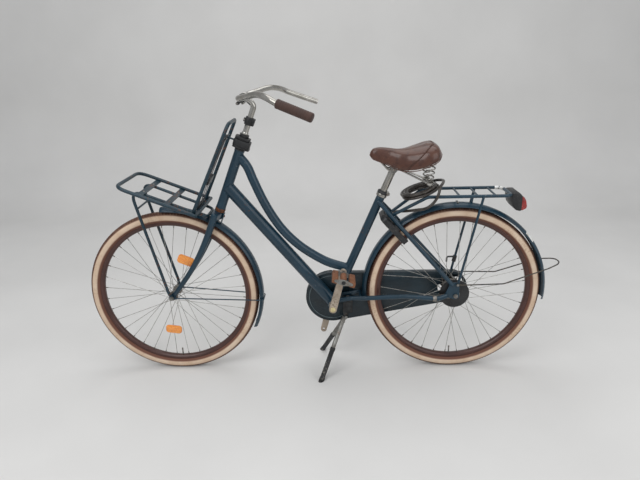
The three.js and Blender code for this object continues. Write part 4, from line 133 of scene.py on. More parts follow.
def add_piece(name, vertices, faces, finish, uv=None, sharp=40.0):
    """A mesh object in its place, smooth but for edges sharper than an angle."""
    mesh = bpy.data.meshes.new(name)
    mesh.from_pydata([tuple(vertex) for vertex in vertices], [], faces)
    if uv:
        layer = mesh.uv_layers.new(name="along")
        for loop, place in zip(layer.data, [place for face in uv for place in face]):
            loop.uv = place
    mesh.materials.append(finish)
    return smooth(placed(name, mesh), sharp)


def tube(name, path, radius, finish, sides=20):
    """A round bar along a path, of one radius or of a radius at each point."""
    path = [Vector(point) for point in path]
    radii = radius if isinstance(radius, list) else [radius] * len(path)
    ways = []
    for i, point in enumerate(path):
        before, after = path[max(i - 1, 0)], path[min(i + 1, len(path) - 1)]
        ways.append((after - before).normalized())
    normal = ways[0].orthogonal().normalized()
    vertices, uv, along = [], [], [0.0]
    for i, point in enumerate(path):
        normal = (normal - ways[i] * normal.dot(ways[i])).normalized()
        across = ways[i].cross(normal)
        for k in range(sides):
            turn = 2 * math.pi * k / sides
            vertices.append(point + radii[i] * (math.cos(turn) * normal + math.sin(turn) * across))
        if i:
            along.append(along[-1] + (point - path[i - 1]).length)
    girth = 2 * math.pi * max(radii)
    faces = ring_faces(len(path), sides)
    for i in range(len(path) - 1):
        for k in range(sides):
            v, w = girth * k / sides, girth * (k + 1) / sides
            uv.append([(along[i], v), (along[i], w), (along[i + 1], w), (along[i + 1], v)])
    last = (len(path) - 1) * sides
    faces.append(tuple(reversed(range(sides))))
    faces.append(tuple(range(last, last + sides)))
    uv.extend([[(0.0, 0.0)] * sides, [(along[-1], 0.0)] * sides])
    return add_piece(name, vertices, faces, finish, uv)


def shade(code):
    """A colour, from its usual six digits to the linear values a shader reads."""
    parts = [int(code[i:i + 2], 16) / 255 for i in (0, 2, 4)]
    return tuple(part / 12.92 if part < 0.04 else ((part + 0.055) / 1.055) ** 2.4 for part in parts)


def new_finish(name, colour, roughness, metallic=0.0, **more):
    """A finish whose shader starts with one colour."""
    finish = bpy.data.materials.new(name)
    finish.use_nodes = True
    shader = finish.node_tree.nodes["Principled BSDF"]
    shader.inputs["Base Color"].default_value = (*shade(colour), 1.0)
    shader.inputs["Roughness"].default_value = roughness
    shader.inputs["Metallic"].default_value = metallic
    for socket, value in more.items():
        shader.inputs[socket.replace("_", " ")].default_value = value
    return finish


def add_node(finish, kind, values=None, **settings):
    """One more node in a finish, with its settings and the values of its sockets."""
    node = finish.node_tree.nodes.new(kind)
    for name, value in settings.items():
        setattr(node, name, value)
    for name, value in (values or {}).items():
        node.inputs[name].default_value = value
    return node


def pattern(finish, kind, values, low=0.0, high=1.0, stretch=(1, 1, 1), turn=(0, 0, 0), across="Object",
        centre=(0, 0, 0), output=0, **settings):
    """How strong a texture is at each place, from 0 below low to 1 above high."""
    link = finish.node_tree.links.new
    place = add_node(finish, "ShaderNodeTexCoord")
    mapping = add_node(finish, "ShaderNodeMapping", {"Scale": stretch, "Rotation": turn,
        "Location": centre})
    texture = add_node(finish, kind, values, **settings)
    spread = add_node(finish, "ShaderNodeMapRange", {"From Min": low, "From Max": high})
    link(place.outputs[across], mapping.inputs["Vector"])
    link(mapping.outputs["Vector"], texture.inputs["Vector"])
    link(texture.outputs[output], spread.inputs["Value"])
    return spread.outputs["Result"]


def spots(finish, scale, low, high, detail=4.0, stretch=(1, 1, 1)):
    """Cloudy spots, about one over scale metres across."""
    return pattern(finish, "ShaderNodeTexNoise", {"Scale": scale, "Detail": detail}, low, high, stretch)


def cells(finish, scale, low, high, **settings):
    """Small round cells, about one over scale metres across."""
    return pattern(finish, "ShaderNodeTexVoronoi", {"Scale": scale}, low, high, **settings)


def strength(finish, amount):
    """A strength as it is, or of the spots of these numbers; those in a list are multiplied."""
    if isinstance(amount, tuple):
        return spots(finish, *amount)
    if isinstance(amount, list):
        sockets = [strength(finish, part) for part in amount]
        times = add_node(finish, "ShaderNodeMath", operation="MULTIPLY")
        for i, socket in enumerate(sockets):
            finish.node_tree.links.new(socket, times.inputs[i])
        return times.outputs[0]
    return amount


def tint(finish, amount, colour, roughness=None, metallic=None):
    """A second colour over the first where amount is strong, with its own gloss."""
    amount = strength(finish, amount)
    link = finish.node_tree.links.new
    shader = finish.node_tree.nodes["Principled BSDF"]
    steps = [("Base Color", "RGBA", 6, 7, 2, (*shade(colour), 1.0)),
        ("Roughness", "FLOAT", 2, 3, 0, roughness), ("Metallic", "FLOAT", 2, 3, 0, metallic)]
    for name, kind, first, second, out, value in steps:
        if value is None:
            continue
        mix = add_node(finish, "ShaderNodeMix", data_type=kind)
        socket = shader.inputs[name]
        if socket.is_linked:
            link(socket.links[0].from_socket, mix.inputs[first])
        else:
            mix.inputs[first].default_value = socket.default_value
        mix.inputs[second].default_value = value
        link(amount, mix.inputs[0])
        link(mix.outputs[out], socket)


def dress(piece, body, slot, *nodes):
    """The piece moves with a body and stands for its nodes; slot is not used."""
    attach(piece, body)
    if nodes:
        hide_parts(*nodes)
    return piece


def coil_path():
    """The cable's coil, from the lower layer's outer end to the upper layer's."""
    pitch = 2 * cable_radius + cable_gap
    steps = cable_loops * cable_steps
    path = []
    for i in range(steps + 1):
        turn = (i / steps - 0.5) * cable_loops * 2 * math.pi
        radius = cable_inner + pitch * abs(turn) / (2 * math.pi)
        layer = max(-0.5, min(0.5, turn / math.pi))
        place = coil_start - turn
        path.append(Vector((radius * math.cos(place), radius * math.sin(place), layer * pitch)))
    centre = Matrix.Translation(from_rear(-coil_setback, 0, coil_height))
    tilted = centre @ Matrix.Rotation(-coil_tilt, 4, "Y")
    return [tilted @ point for point in path]


coil = coil_path()
leaving = (coil[-1] - coil[-2]).normalized()
tail = through([coil[-1] + leaving * 2 * cable_radius, *[from_rear(*bend) for bend in tail_bends]], 6)
cable_line = list(reversed([*coil, *tail]))
cable_sheath = new_finish("cable_sheath", "26221f", 0.3)
strands = pattern(cable_sheath, "ShaderNodeTexWave", {"Scale": 55.0}, 0.45, 0.95,
    turn=(0, 0, math.radians(35)), across="UV")
tint(cable_sheath, [strands, (30.0, 0.3, 0.7)], "5d554c", 0.25)
tint(cable_sheath, (60.0, 0.58, 0.75), "6d6a64", 0.7)
cable = tube("lock_cable_rope", cable_line, cable_radius, cable_sheath, 16)
dress(cable, "frame", "cable_plastic", "lock_cable", "lock_cable_tail")

# Studio: a pale floor and a pale backdrop in one bent sheet, and three large soft lamps,
# so that paint and chrome show their own colours.
floor_half = 9.0
backdrop_back = 3.2
backdrop_high = 6.0
corner = 0.9
sweep_line = [(-backdrop_high * 1.5, 0.0), (backdrop_back - corner, 0.0)]
for i in range(1, 9):
    turn = math.pi / 2 * i / 8
    sweep_line.append((backdrop_back - corner + corner * math.sin(turn), corner - corner * math.cos(turn)))
sweep_line.append((backdrop_back, backdrop_high))
paper = new_finish("studio_paper", "d9d8d6", 0.9)
tint(paper, (1.5, 0.3, 0.8), "d0cfcd")
ground = add_piece(
    "studio_floor",
    [(side * floor_half, y, z) for y, z in sweep_line for side in (-1, 1)],
    [(2 * i, 2 * i + 1, 2 * i + 3, 2 * i + 2) for i in range(len(sweep_line) - 1)],
    paper, sharp=180.0)
lamps = [("key", (-1.6, -2.4, 3.2), 2.6, 62.0), ("fill", (2.6, -2.2, 2.0), 2.6, 30.0),
    ("top", (0.3, 0.6, 3.6), 3.0, 40.0)]
for name, place, size, power in lamps:
    lamp = bpy.data.objects.new("lamp_" + name, bpy.data.lights.new("lamp_" + name, "AREA"))
    lamp.data.size = size
    lamp.data.energy = power
    lamp.location = place
    lamp.rotation_euler = (Vector((0, 0, 0.5)) - Vector(place)).to_track_quat("-Z", "Y").to_euler()
    scene.collection.objects.link(lamp)
scene.world = bpy.data.worlds.new("studio_air")
scene.world.use_nodes = True
scene.world.node_tree.nodes["Background"].inputs["Color"].default_value = (0.9, 0.92, 0.95, 1)
scene.world.node_tree.nodes["Background"].inputs["Strength"].default_value = 0.55

# Frame: drawn steel tubes brazed into a step-through frame, enamelled a dark teal that has
# dulled, with dust, fine scratches and a few chips down to the primer and the rust.
crank_axis = Vector(joints["crank_spin"]["pos_m"])
front_axle = Vector(joints["front_wheel_spin"]["pos_m"])
head_lean = math.radians(22)
seat_slope = math.radians(66.7)
fork_rake = 0.070
fork_length = 0.426
head_length = 0.247
head_radius = 0.019
down_radius = 0.025
top_radius = 0.018
seat_radius = 0.017
seat_length = 0.518
shell_radius = 0.022
shell_half = 0.034
chain_stay_radius = 0.0095
seat_stay_radius = 0.0085
bridge_radius = 0.006
back_way = Vector((math.cos(head_lean), 0, -math.sin(head_lean)))
steer_way = Vector((math.sin(head_lean), 0, math.cos(head_lean)))
seat_way = Vector((math.cos(seat_slope), 0, math.sin(seat_slope)))
side_way = Vector((0, 1, 0))
both_sides = ((-1, "left"), (1, "right"))
axle_hole = 0.0053
eyelet_up, eyelet_hole = 0.406, 0.0033
eyelet = (rear_axle.x + 0.005, eyelet_up)
top_tube_shares = [(0, 0), (0.075, 0.09), (0.122, 0.2), (0.207, 0.385), (0.297, 0.537), (0.393, 0.66),
    (0.525, 0.78), (0.662, 0.87), (0.8, 0.94), (1, 1)]


def relief(finish, height, distance, force=1.0):
    """A raised or sunk pattern, that many metres deep."""
    height = strength(finish, height)
    link = finish.node_tree.links.new
    bump = add_node(finish, "ShaderNodeBump", {"Distance": distance, "Strength": force})
    normal = finish.node_tree.nodes["Principled BSDF"].inputs["Normal"]
    if normal.is_linked:
        link(normal.links[0].from_socket, bump.inputs["Normal"])
    link(height, bump.inputs["Height"])
    link(bump.outputs["Normal"], normal)


teal = new_finish("teal_enamel", "133445", 0.36, 0.1, Coat_Weight=0.4, Coat_Roughness=0.12,
    Specular_IOR_Level=0.35)
tint(teal, (6.0, 0.35, 0.75), "0e2a38", 0.45)
tint(teal, (240.0, 0.66, 0.78, 6.0), "2f5666", 0.55)
tint(teal, [(90.0, 0.66, 0.72, 8.0), (9.0, 0.52, 0.64)], "6d7272", 0.8, 0.0)
tint(teal, [(160.0, 0.63, 0.68, 5.0), (14.0, 0.56, 0.62)], "5b3a26", 0.9, 0.1)
relief(teal, (350.0, 0.3, 0.7), 0.0002, 0.25)
bare_steel = new_finish("zinc_plated_steel", "8d8c88", 0.42, 0.85)
tint(bare_steel, (40.0, 0.4, 0.7), "6f6d68", 0.55)
tint(bare_steel, [(220.0, 0.52, 0.66), (25.0, 0.45, 0.6)], "6a452b", 0.85, 0.2)
relief(bare_steel, (500.0, 0.3, 0.7), 0.0002, 0.3)


def steered(back, side, up):
    """A place in the fork's own frame, whose up is the steering axis."""
    return front_axle + (fork_rake + back) * back_way + side * side_way + up * steer_way


def along_seat(distance):
    """A place on the seat tube's axis, measured from the crank axis."""
    return crank_axis + distance * seat_way


def bent(corners, bend, steps=8):
    """A path of straight runs with rounded corners."""
    corners = [Vector(corner) for corner in corners]
    path = [corners[0]]
    for before, at, after in zip(corners, corners[1:], corners[2:]):
        into, out = at - before, after - at
        reach = min(bend * math.tan(into.angle(out) / 2), into.length / 2, out.length / 2)
        start, stop = at - into.normalized() * reach, at + out.normalized() * reach
        for step in range(steps + 1):
            t = step / steps
            point = start * (1 - t) ** 2 + at * (2 * t * (1 - t)) + stop * t**2
            if (point - path[-1]).length > 1e-5:
                path.append(point)
    return [*path, corners[-1]]


def finish_solid(name, solid, finish, sharp=35.0, soften=0.0):
    """A built solid with its edges joined, softened and turned outwards, as an object."""
    bmesh.ops.remove_doubles(solid, verts=solid.verts, dist=1e-6)
    bmesh.ops.dissolve_degenerate(solid, dist=1e-7, edges=solid.edges)
    bmesh.ops.recalc_face_normals(solid, faces=solid.faces)
    if soften:
        limit = math.radians(sharp)
        edges = [edge for edge in solid.edges if len(edge.link_faces) == 2
            and edge.calc_face_angle() > limit]
        bmesh.ops.bevel(solid, geom=edges, offset=soften, segments=2, profile=0.5, affect="EDGES",
            clamp_overlap=True)
        bmesh.ops.recalc_face_normals(solid, faces=solid.faces)
    mesh = bpy.data.meshes.new(name)
    solid.to_mesh(mesh)
    solid.free()
    mesh.materials.clear()
    mesh.materials.append(finish)
    return smooth(placed(name, mesh), sharp)


def spun(name, profile, place, way, finish, segments=48, sharp=35.0, soften=0.0):
    """A closed profile of (radius, distance along) points turned round an axis."""
    way = Vector(way).normalized()
    normal = way.orthogonal().normalized()
    across = way.cross(normal)
    solid = bmesh.new()
    rings = []
    for k in range(segments):
        turn = 2 * math.pi * k / segments
        out = math.cos(turn) * normal + math.sin(turn) * across
        rings.append([solid.verts.new(Vector(place) + radius * out + along * way)
            for radius, along in profile])
    for ring, following in zip(rings, [*rings[1:], rings[0]]):
        for i in range(len(profile)):
            j = (i + 1) % len(profile)
            if profile[i][0] > 0 or profile[j][0] > 0:
                solid.faces.new((ring[i], ring[j], following[j], following[i]))
    return finish_solid(name, solid, finish, sharp, soften)


def disc(radius, low, high):
    """The profile of a solid disc between two distances along its axis."""
    return [(0, low), (radius, low), (radius, high), (0, high)]


def two_ended(half):
    """A profile whose second half mirrors its first."""
    return [*half, *[(radius, -along) for radius, along in reversed(half)]]


def pipe(outer, inner, low, high):
    """The profile of a ring between two distances along its axis."""
    return [(inner, low), (outer, low), (outer, high), (inner, high)]


def round_hull(discs, sides=48):
    """The outline that a tight string makes round discs of (u, v, radius)."""
    points = sorted({
        (round(u + radius * math.cos(2 * math.pi * k / sides), 7),
         round(v + radius * math.sin(2 * math.pi * k / sides), 7))
        for u, v, radius in discs for k in range(sides)
    })
    halves = []
    for run in (points, list(reversed(points))):
        half = []
        for p in run:
            while len(half) > 1:
                (ax, ay), (bx, by) = half[-2], half[-1]
                if (bx - ax) * (p[1] - ay) - (by - ay) * (p[0] - ax) > 0:
                    break
                half.pop()
            half.append(p)
        halves.extend(half[:-1])
    return halves


def round_box(us, vs, radius, sides=48):
    """The outline of a box with round corners, whose middles are at us and vs."""
    return round_hull([(u, v, radius) for u in us for v in vs], sides)


def circle(u, v, radius, sides=32):
    """A hole's outline."""
    return [(u + radius * math.cos(2 * math.pi * k / sides),
        v + radius * math.sin(2 * math.pi * k / sides)) for k in range(sides)]


front_hole, rear_hole = [circle(axle.x, axle.z, axle_hole) for axle in (front_axle, rear_axle)]


def slab(name, outline, low, high, put, finish, holes=(), soften=0.0, sharp=35.0):
    """A plate with an outline and holes, between two levels; put gives a point's place."""
    solid = bmesh.new()
    edges = []
    for loop in (outline, *holes):
        corners = [solid.verts.new(put(u, v, low)) for u, v in loop]
        edges.extend(solid.edges.new((a, b)) for a, b in zip(corners, [*corners[1:], corners[0]]))
    if holes:
        bmesh.ops.triangle_fill(solid, use_beauty=True, use_dissolve=False, edges=edges)
    else:
        bmesh.ops.contextual_create(solid, geom=edges)
    grown = bmesh.ops.extrude_face_region(solid, geom=solid.faces[:])
    lifted = [item for item in grown["geom"] if isinstance(item, bmesh.types.BMVert)]
    bmesh.ops.translate(solid, verts=lifted, vec=put(0, 0, high) - put(0, 0, low))
    return finish_solid(name, solid, finish, sharp, soften)


def upright(u, v, level):
    """Puts a plate's outline in the plane of the wheels, at that distance across."""
    return Vector((u, level, v))


def merged(name, pieces):
    """Several meshes of one finish as one piece."""
    solid = bmesh.new()
    for piece in pieces:
        solid.from_mesh(piece.data)
    mesh = bpy.data.meshes.new(name)
    solid.to_mesh(mesh)
    solid.free()
    mesh.materials.append(pieces[0].data.materials[0])
    for piece in pieces:
        bpy.data.objects.remove(piece)
    return placed(name, mesh)


def weld(name, start, way, radius, place, other_way, other_radius, bead=0.0016):
    """The bead where a tube that starts at a place on its axis meets another tube."""
    way, other_way = Vector(way).normalized(), Vector(other_way).normalized()
    normal = way.orthogonal().normalized()
    across = way.cross(normal)
    line = []
    for k in range(64):
        turn = 2 * math.pi * k / 64
        rim = start + radius * (math.cos(turn) * normal + math.sin(turn) * across)
        flat = (rim - place) - other_way * (rim - place).dot(other_way)
        run = way - other_way * way.dot(other_way)
        a, b, c = run.dot(run), flat.dot(run), flat.dot(flat) - other_radius**2
        root = b * b - a * c
        if root > 0:
            line.append(rim + way * ((math.sqrt(root) - b) / a))
    return tube(name, [*line, line[0]], bead, teal, 8)


steer_foot = steered(0, 0, 0)
down_start = steered(0, 0, 0.518)
down_way = (down_start - crank_axis).normalized()
top_start, top_end = steered(0, 0, 0.651), along_seat(0.166)
run_back, run_down = top_end.x - top_start.x, top_end.z - top_start.z
top_line = through([(top_start.x + back * run_back, 0, top_start.z + down * run_down)
    for back, down in top_tube_shares], 8)
dress(spun("head_tube_enamelled", [(0.0155, fork_length), (0.0198, fork_length),
    (0.0198, fork_length + 0.007), (head_radius, fork_length + 0.009),
    (head_radius, fork_length + head_length - 0.009), (0.0198, fork_length + head_length - 0.007),
    (0.0198, fork_length + head_length), (0.0155, fork_length + head_length)], steer_foot, steer_way,
    teal), "frame", "frame_paint", "head_tube")
dress(tube("down_tube_enamelled", [down_start, crank_axis + down_way * 0.011], down_radius, teal, 40),
      "frame", "frame_paint", "down_tube")
dress(tube("top_tube_enamelled", top_line, top_radius, teal, 32), "frame", "frame_paint", "top_tube")
dress(spun("seat_tube_enamelled", [(0, 0.015), (seat_radius, 0.015), (seat_radius, seat_length),
    (0.0139, seat_length), (0.0139, seat_length - 0.1), (0, seat_length - 0.1)], crank_axis, seat_way,
    teal), "frame", "frame_paint", "seat_tube")
dress(spun("bottom_bracket_enamelled", pipe(shell_radius, 0.0095, -shell_half, shell_half), crank_axis,
    side_way, teal, soften=0.0008), "frame", "frame_paint", "bottom_bracket_shell")
for side, word in both_sides:
    dress(spun("bearing_cup_" + word, pipe(0.0185, 0.0089, 0.0, 0.002), crank_axis + side_way * side
        * (shell_half - 0.001), side_way * side, bare_steel, soften=0.0004), "frame", "steel")
beads = [weld("bead_a", down_start, -down_way, down_radius, steer_foot, steer_way, head_radius),
    weld("bead_b", top_start, top_line[3] - top_start, top_radius, steer_foot, steer_way, head_radius),
    weld("bead_c", top_end, top_line[-6] - top_end, top_radius, crank_axis, seat_way,
    seat_radius + 0.0008), weld("bead_d", crank_axis, seat_way, seat_radius, crank_axis, side_way,
    shell_radius)]
dress(merged("brazed_joints", beads), "frame", "frame_paint")


def lower_stay(side):
    """The chain stay's line: from the shell, round the tyre, to the frame end."""
    corners = [(-0.4875, 0.027, 0.321), (-0.4175, 0.027, 0.333), (-0.3628, 0.045, 0.340),
        (-0.1988, 0.045, 0.3465), (-0.0696, 0.0705, 0.3465), (-0.034, 0.0705, 0.360)]
    return bent([from_rear(back, side * half, up) for back, half, up in corners], 0.038)


stay_start = along_seat(seat_length - 0.042)
stay_end = from_rear(-0.016, 0, eyelet_up)


def down_stay(share, half):
    """A place on the seat stays' line, from the seat tube to the frame end."""
    point = stay_start.lerp(stay_end, share)
    return Vector((point.x, half, point.z))


def upper_stay(side):
    """The seat stay's line."""
    return bent([down_stay(0, side * 0.026), down_stay(0.16, side * 0.046), down_stay(1, side * 0.0705)],
        0.0425)


stay_bridge = down_stay(0.19, 0)
guard_radius = 0.376
guard_foot = stay_bridge + (rear_axle - stay_bridge).normalized() * (
    (rear_axle - stay_bridge).length - guard_radius)
bridge_up = crank_axis.z + 0.032
bridge_rise = bridge_up - rear_axle.z
bridge_back = -math.sqrt((guard_radius + 0.0063) ** 2 - bridge_rise**2)
for side, word in both_sides:
    chain_stay = tube(f"chain_stay_{word}_bar", lower_stay(side), chain_stay_radius, teal, 24)
    seat_stay = tube(f"seat_stay_{word}_bar", upper_stay(side), seat_stay_radius, teal, 24)
    plate = slab(f"frame_end_{word}", round_hull([(rear_axle.x, rear_axle.z, 0.015),
        (rear_axle.x - 0.034, 0.360, 0.0095), (rear_axle.x - 0.016, eyelet_up, 0.008), (*eyelet, 0.008)]),
        side * 0.062, side * 0.067, upright, teal, [rear_hole, circle(*eyelet, eyelet_hole, 16)],
        soften=0.0008)
    cap = spun(f"stay_end_cap_{word}", [(0, 0), (0.0085, 0), (0.0078, 0.004), (0.005, 0.0068),
        (0, 0.008)], down_stay(0, side * 0.026), seat_way - 0.35 * (stay_end - stay_start).normalized(),
        teal)
    dress(chain_stay, "frame", "frame_paint", "chain_stay_" + word)
    dress(plate, "frame", "frame_paint", "chain_stay_" + word)
    dress(seat_stay, "frame", "frame_paint", "seat_stay_" + word)
    dress(cap, "frame", "frame_paint")
bridges = [
    tube("bridge_a", [from_rear(bridge_back, out, bridge_up) for out in (-0.045, 0.045)],
         bridge_radius, teal, 20),
    tube("bridge_b", [stay_bridge + side_way * out for out in (-0.047, 0.047)], bridge_radius, teal, 20),
    tube("bridge_c", [stay_bridge, guard_foot], bridge_radius, teal, 20),
]
dress(merged("stay_bridges", bridges), "frame", "frame_paint", "chain_stay_left", "seat_stay_left")

# Headset: a lower cup that has rusted, a black upper cup and, over it, a black moulded
# housing with a locknut, which turns with the fork and steadies the front carrier's back.
rusty = new_finish("rusted_steel", "57392b", 0.8, 0.35)
tint(rusty, (70.0, 0.4, 0.65, 6.0), "9a5a2c", 0.95, 0.0)
tint(rusty, (220.0, 0.5, 0.7, 6.0), "3a2a22", 0.9, 0.1)
relief(rusty, (400.0, 0.3, 0.7, 8.0), 0.0006, 0.6)
black_plastic = new_finish("black_moulding", "111214", 0.42)
tint(black_plastic, (25.0, 0.4, 0.75), "2b2c2e", 0.6)
tint(black_plastic, (300.0, 0.62, 0.75), "5c5a56", 0.75)
relief(black_plastic, cells(black_plastic, 900.0, 0.0, 0.6), 0.0002, 0.35)
head_end = fork_length + head_length
dress(spun("lower_cup_rusted", [(0.0135, 0.4107), (0.0175, 0.4107), (0.0195, 0.413), (0.0205, 0.4185),
    (0.0205, 0.4225), (0.0205, 0.4257), (0.0135, 0.4257)], steer_foot, steer_way, rusty, soften=0.0004),
    "frame", "rusty_steel", "headset_lower_cup")
dress(spun("upper_cup_black", [(0.0135, head_end + 0.0003), (0.0205, head_end + 0.0003),
    (0.0205, head_end + 0.003), (0.0175, head_end + 0.0083), (0.0135, head_end + 0.0083)], steer_foot,
    steer_way, black_plastic, soften=0.0004), "frame", "black_paint", "headset_upper_cup")


def cad_shape(name, node, finish, sharp=35.0, soften=0.0):
    """A node's own shape with its corners joined and its edges softened."""
    solid = bmesh.new()
    solid.from_mesh(frame["nodes"][node].data)
    bmesh.ops.remove_doubles(solid, verts=solid.verts, dist=1e-5)
    bmesh.ops.dissolve_limit(solid, angle_limit=math.radians(0.5), verts=solid.verts, edges=solid.edges)
    return finish_solid(name, solid, finish, sharp, soften)


def laid(u, v, level):
    """Puts a plate's outline square to the steering axis, at that height along it."""
    return steered(u, v, level)


housing_low = head_end + 0.0086
housing_round = 0.013
layers = [(0.0, housing_low, housing_low + 0.006), (0.0012, housing_low + 0.006, housing_low + 0.032),
    (0.0065, housing_low + 0.032, housing_low + 0.044)]
shells = []
for i, (margin, low, high) in enumerate(layers):
    outline = round_box((-0.018, 0.022 - margin), (-0.015 + margin, 0.015 - margin), housing_round)
    shells.append(slab(f"housing_layer_{i}", outline, low, high, laid, black_plastic,
        [circle(0, 0, 0.0131)], soften=0.0016))
dress(merged("headset_housing_moulding", shells), "steering", "black_plastic", "headset_housing")


def node_group(name, inputs):
    """A geometry tree with named inputs after its geometry, and its own way to look them up."""
    tree = bpy.data.node_groups.new(name, "GeometryNodeTree")
    tree.interface.new_socket(name="Geometry", in_out="INPUT", socket_type="NodeSocketGeometry")
    for label, kind in inputs:
        tree.interface.new_socket(name=label, in_out="INPUT", socket_type="NodeSocket" + kind)
    tree.interface.new_socket(name="Geometry", in_out="OUTPUT", socket_type="NodeSocketGeometry")
    return tree, tree.nodes.new("NodeGroupInput"), tree.nodes.new("NodeGroupOutput")


def tree_node(tree, kind, inputs, **settings):
    """One more node in a tree, with its settings, and sockets or numbers for its inputs."""
    node = tree.nodes.new(kind)
    for name, value in settings.items():
        setattr(node, name, value)
    for name, value in inputs.items():
        if isinstance(value, bpy.types.NodeSocket):
            tree.links.new(value, node.inputs[name])
        else:
            node.inputs[name].default_value = value
    return node.outputs[0]


def end_tree(tree, made, geometry, finish):
    """Ends a tree: what it has made becomes real and takes the finish."""
    real = tree_node(tree, "GeometryNodeRealizeInstances", {0: geometry})
    coat = tree_node(tree, "GeometryNodeSetMaterial", {"Geometry": real, "Material": finish})
    tree.links.new(coat, made.inputs[0])
    return tree


def scaled(tree, vector, factor):
    """A vector in a tree times a number."""
    return tree_node(tree, "ShaderNodeVectorMath", {0: vector, "Scale": factor}, operation="SCALE")


def added(tree, first, second):
    """Two vectors in a tree added."""
    return tree_node(tree, "ShaderNodeVectorMath", {0: first, 1: second}, operation="ADD")


def grown(name, tree, values, finish, base=None):
    """What a geometry tree makes of a base mesh, as a plain mesh object."""
    mesh = base.data if base else bpy.data.meshes.new(name + "_base")
    carrier = placed(name + "_carrier", mesh)
    modifier = carrier.modifiers.new("grow", "NODES")
    modifier.node_group = tree
    for item in tree.interface.items_tree:
        if item.in_out == "INPUT" and item.name in values:
            modifier[item.identifier] = values[item.name]
    ready = carrier.evaluated_get(bpy.context.evaluated_depsgraph_get())
    result = bpy.data.meshes.new_from_object(ready)
    result.name = name
    carrier.modifiers.remove(modifier)
    bpy.data.objects.remove(carrier)
    if base:
        bpy.data.objects.remove(base)
    result.materials.clear()
    result.materials.append(finish)
    return placed(name, result)


def copies_tree():
    """Copies of a shape in a row, round an axis, or both: each one a step and a turn on."""
    tree, given, made = node_group("copies", [("Count", "Int"), ("Centre", "Vector"), ("Step", "Vector"),
        ("Turn", "Vector"), ("Finish", "Material")])
    value = given.outputs
    back = tree_node(tree, "GeometryNodeTransform", {
        "Geometry": value["Geometry"], "Translation": scaled(tree, value["Centre"], -1.0)})
    index = tree_node(tree, "GeometryNodeInputIndex", {})
    points = tree_node(tree, "GeometryNodePoints", {"Count": value["Count"], "Position": added(tree,
        value["Centre"], scaled(tree, value["Step"], index))})
    row = tree_node(tree, "GeometryNodeInstanceOnPoints", {
        "Points": points, "Instance": back, "Rotation": scaled(tree, value["Turn"], index)})
    return end_tree(tree, made, row, value["Finish"])


copies = copies_tree()


def repeated(name, base, count, centre=(0, 0, 0), step=(0, 0, 0), turn=(0, 0, 0)):
    """Copies of a piece, made one plain mesh of the same finish."""
    finish = base.data.materials[0]
    return grown(name, copies, {"Count": count, "Centre": tuple(centre), "Step": tuple(step),
        "Turn": tuple(turn), "Finish": finish}, finish, base)


rib = slab("housing_rib", round_hull([(-0.0295, 0.0, 0.0012), (-0.0318, 0.0, 0.0009)], 12),
    housing_low + 0.007, housing_low + 0.03, laid, black_plastic, soften=0.0003)
rib_step = side_way * 0.0045
for vertex in rib.data.vertices:
    vertex.co -= 3 * rib_step
dress(repeated("housing_ribs", rib, 7, step=rib_step), "steering", "black_plastic")
locknut = spun("headset_locknut", pipe(0.0185, 0.0131, housing_low + 0.044, housing_low + 0.056),
    steer_foot, steer_way, black_plastic, 8, soften=0.0008)
dress(locknut, "steering", "black_plastic")

# Fork: a flat crown, two blades that taper and curve forward and flat ends for the axle,
# all brazed and enamelled with the frame. Its steel steerer runs up inside the head tube.
crown_top = 0.4101
blade_top = crown_top - 0.014
blade_rise = 0.022
straight_blade = 0.346


def blade_point(side, up):
    """The middle of a fork blade at that height above the axle."""
    bend = max(0.0, 1 - up / straight_blade) ** 2
    half = 0.0525 + (0.050 - 0.0525) * min(1.0, up / straight_blade)
    return steered(-(0.009 + (fork_rake - 0.009) * bend), side * half, up)


dress(slab("fork_crown", round_hull([(0, 0, 0.018), (-0.009, -0.05, 0.0145), (-0.009, 0.05, 0.0145)]),
    crown_top - 0.028, crown_top, laid, teal, soften=0.003), "steering", "frame_paint", "fork")
dress(spun("fork_crown_race", pipe(0.0195, 0.0132, crown_top, crown_top + 0.0005), steer_foot, steer_way,
    bare_steel), "steering", "steel")
for side, word in both_sides:
    heights = [blade_top + (blade_rise - blade_top) * i / 30 for i in range(31)]
    blade = tube(f"fork_blade_{word}", [blade_point(side, up) for up in heights],
        [0.0145 + (0.009 - 0.0145) * i / 30 for i in range(31)], teal, 28)
    foot = blade_point(side, blade_rise)
    end = slab(f"fork_end_{word}", round_hull([(front_axle.x, front_axle.z, 0.013),
        (foot.x, foot.z, 0.009)]), side * 0.050, side * 0.055, upright, teal, [front_hole], soften=0.0008)
    dress(blade, "steering", "frame_paint", "fork")
    dress(end, "steering", "frame_paint", "fork")
dress(spun("fork_steerer", pipe(0.0127, 0.0115, crown_top - 0.01, 0.7374), steer_foot, steer_way,
    bare_steel, 32), "steering", "steel", "fork")

# Stem and handlebar: a chromed quill stem with a slotted clamp, and a chromed bar that rises and
# sweeps back to a brown grip on its left end. A black band on the stem and a black ring under
# the bar once held a light.
chrome = new_finish("chrome_plate", "b9b7b2", 0.14, 1.0)
tint(chrome, (18.0, 0.35, 0.7), "98958e", 0.24)
tint(chrome, [(320.0, 0.6, 0.7), (20.0, 0.45, 0.6)], "7a5a3e", 0.8, 0.3)
relief(chrome, (60.0, 0.2, 0.8), 0.0004, 0.12)
grip_brown = new_finish("grip_rubber", "3a2620", 0.7, 0.0, Sheen_Weight=0.1)
tint(grip_brown, (35.0, 0.35, 0.7), "483129", 0.8)
relief(grip_brown, cells(grip_brown, 420.0, 0.0, 0.7), 0.0006, 0.5)
# The bore's near-black colour is painted shade for the inside of the hollow bar; the brown spots over it
# are grease.
bore_shade_and_grease = new_finish("dark_bore", "0b0b0b", 0.9)
tint(bore_shade_and_grease, (80.0, 0.4, 0.7), "2a1d14", 0.95)
bar_radius = 0.0111
bar_back, bar_up = -0.042, 0.868
clamp_place = steered(bar_back, 0, bar_up)
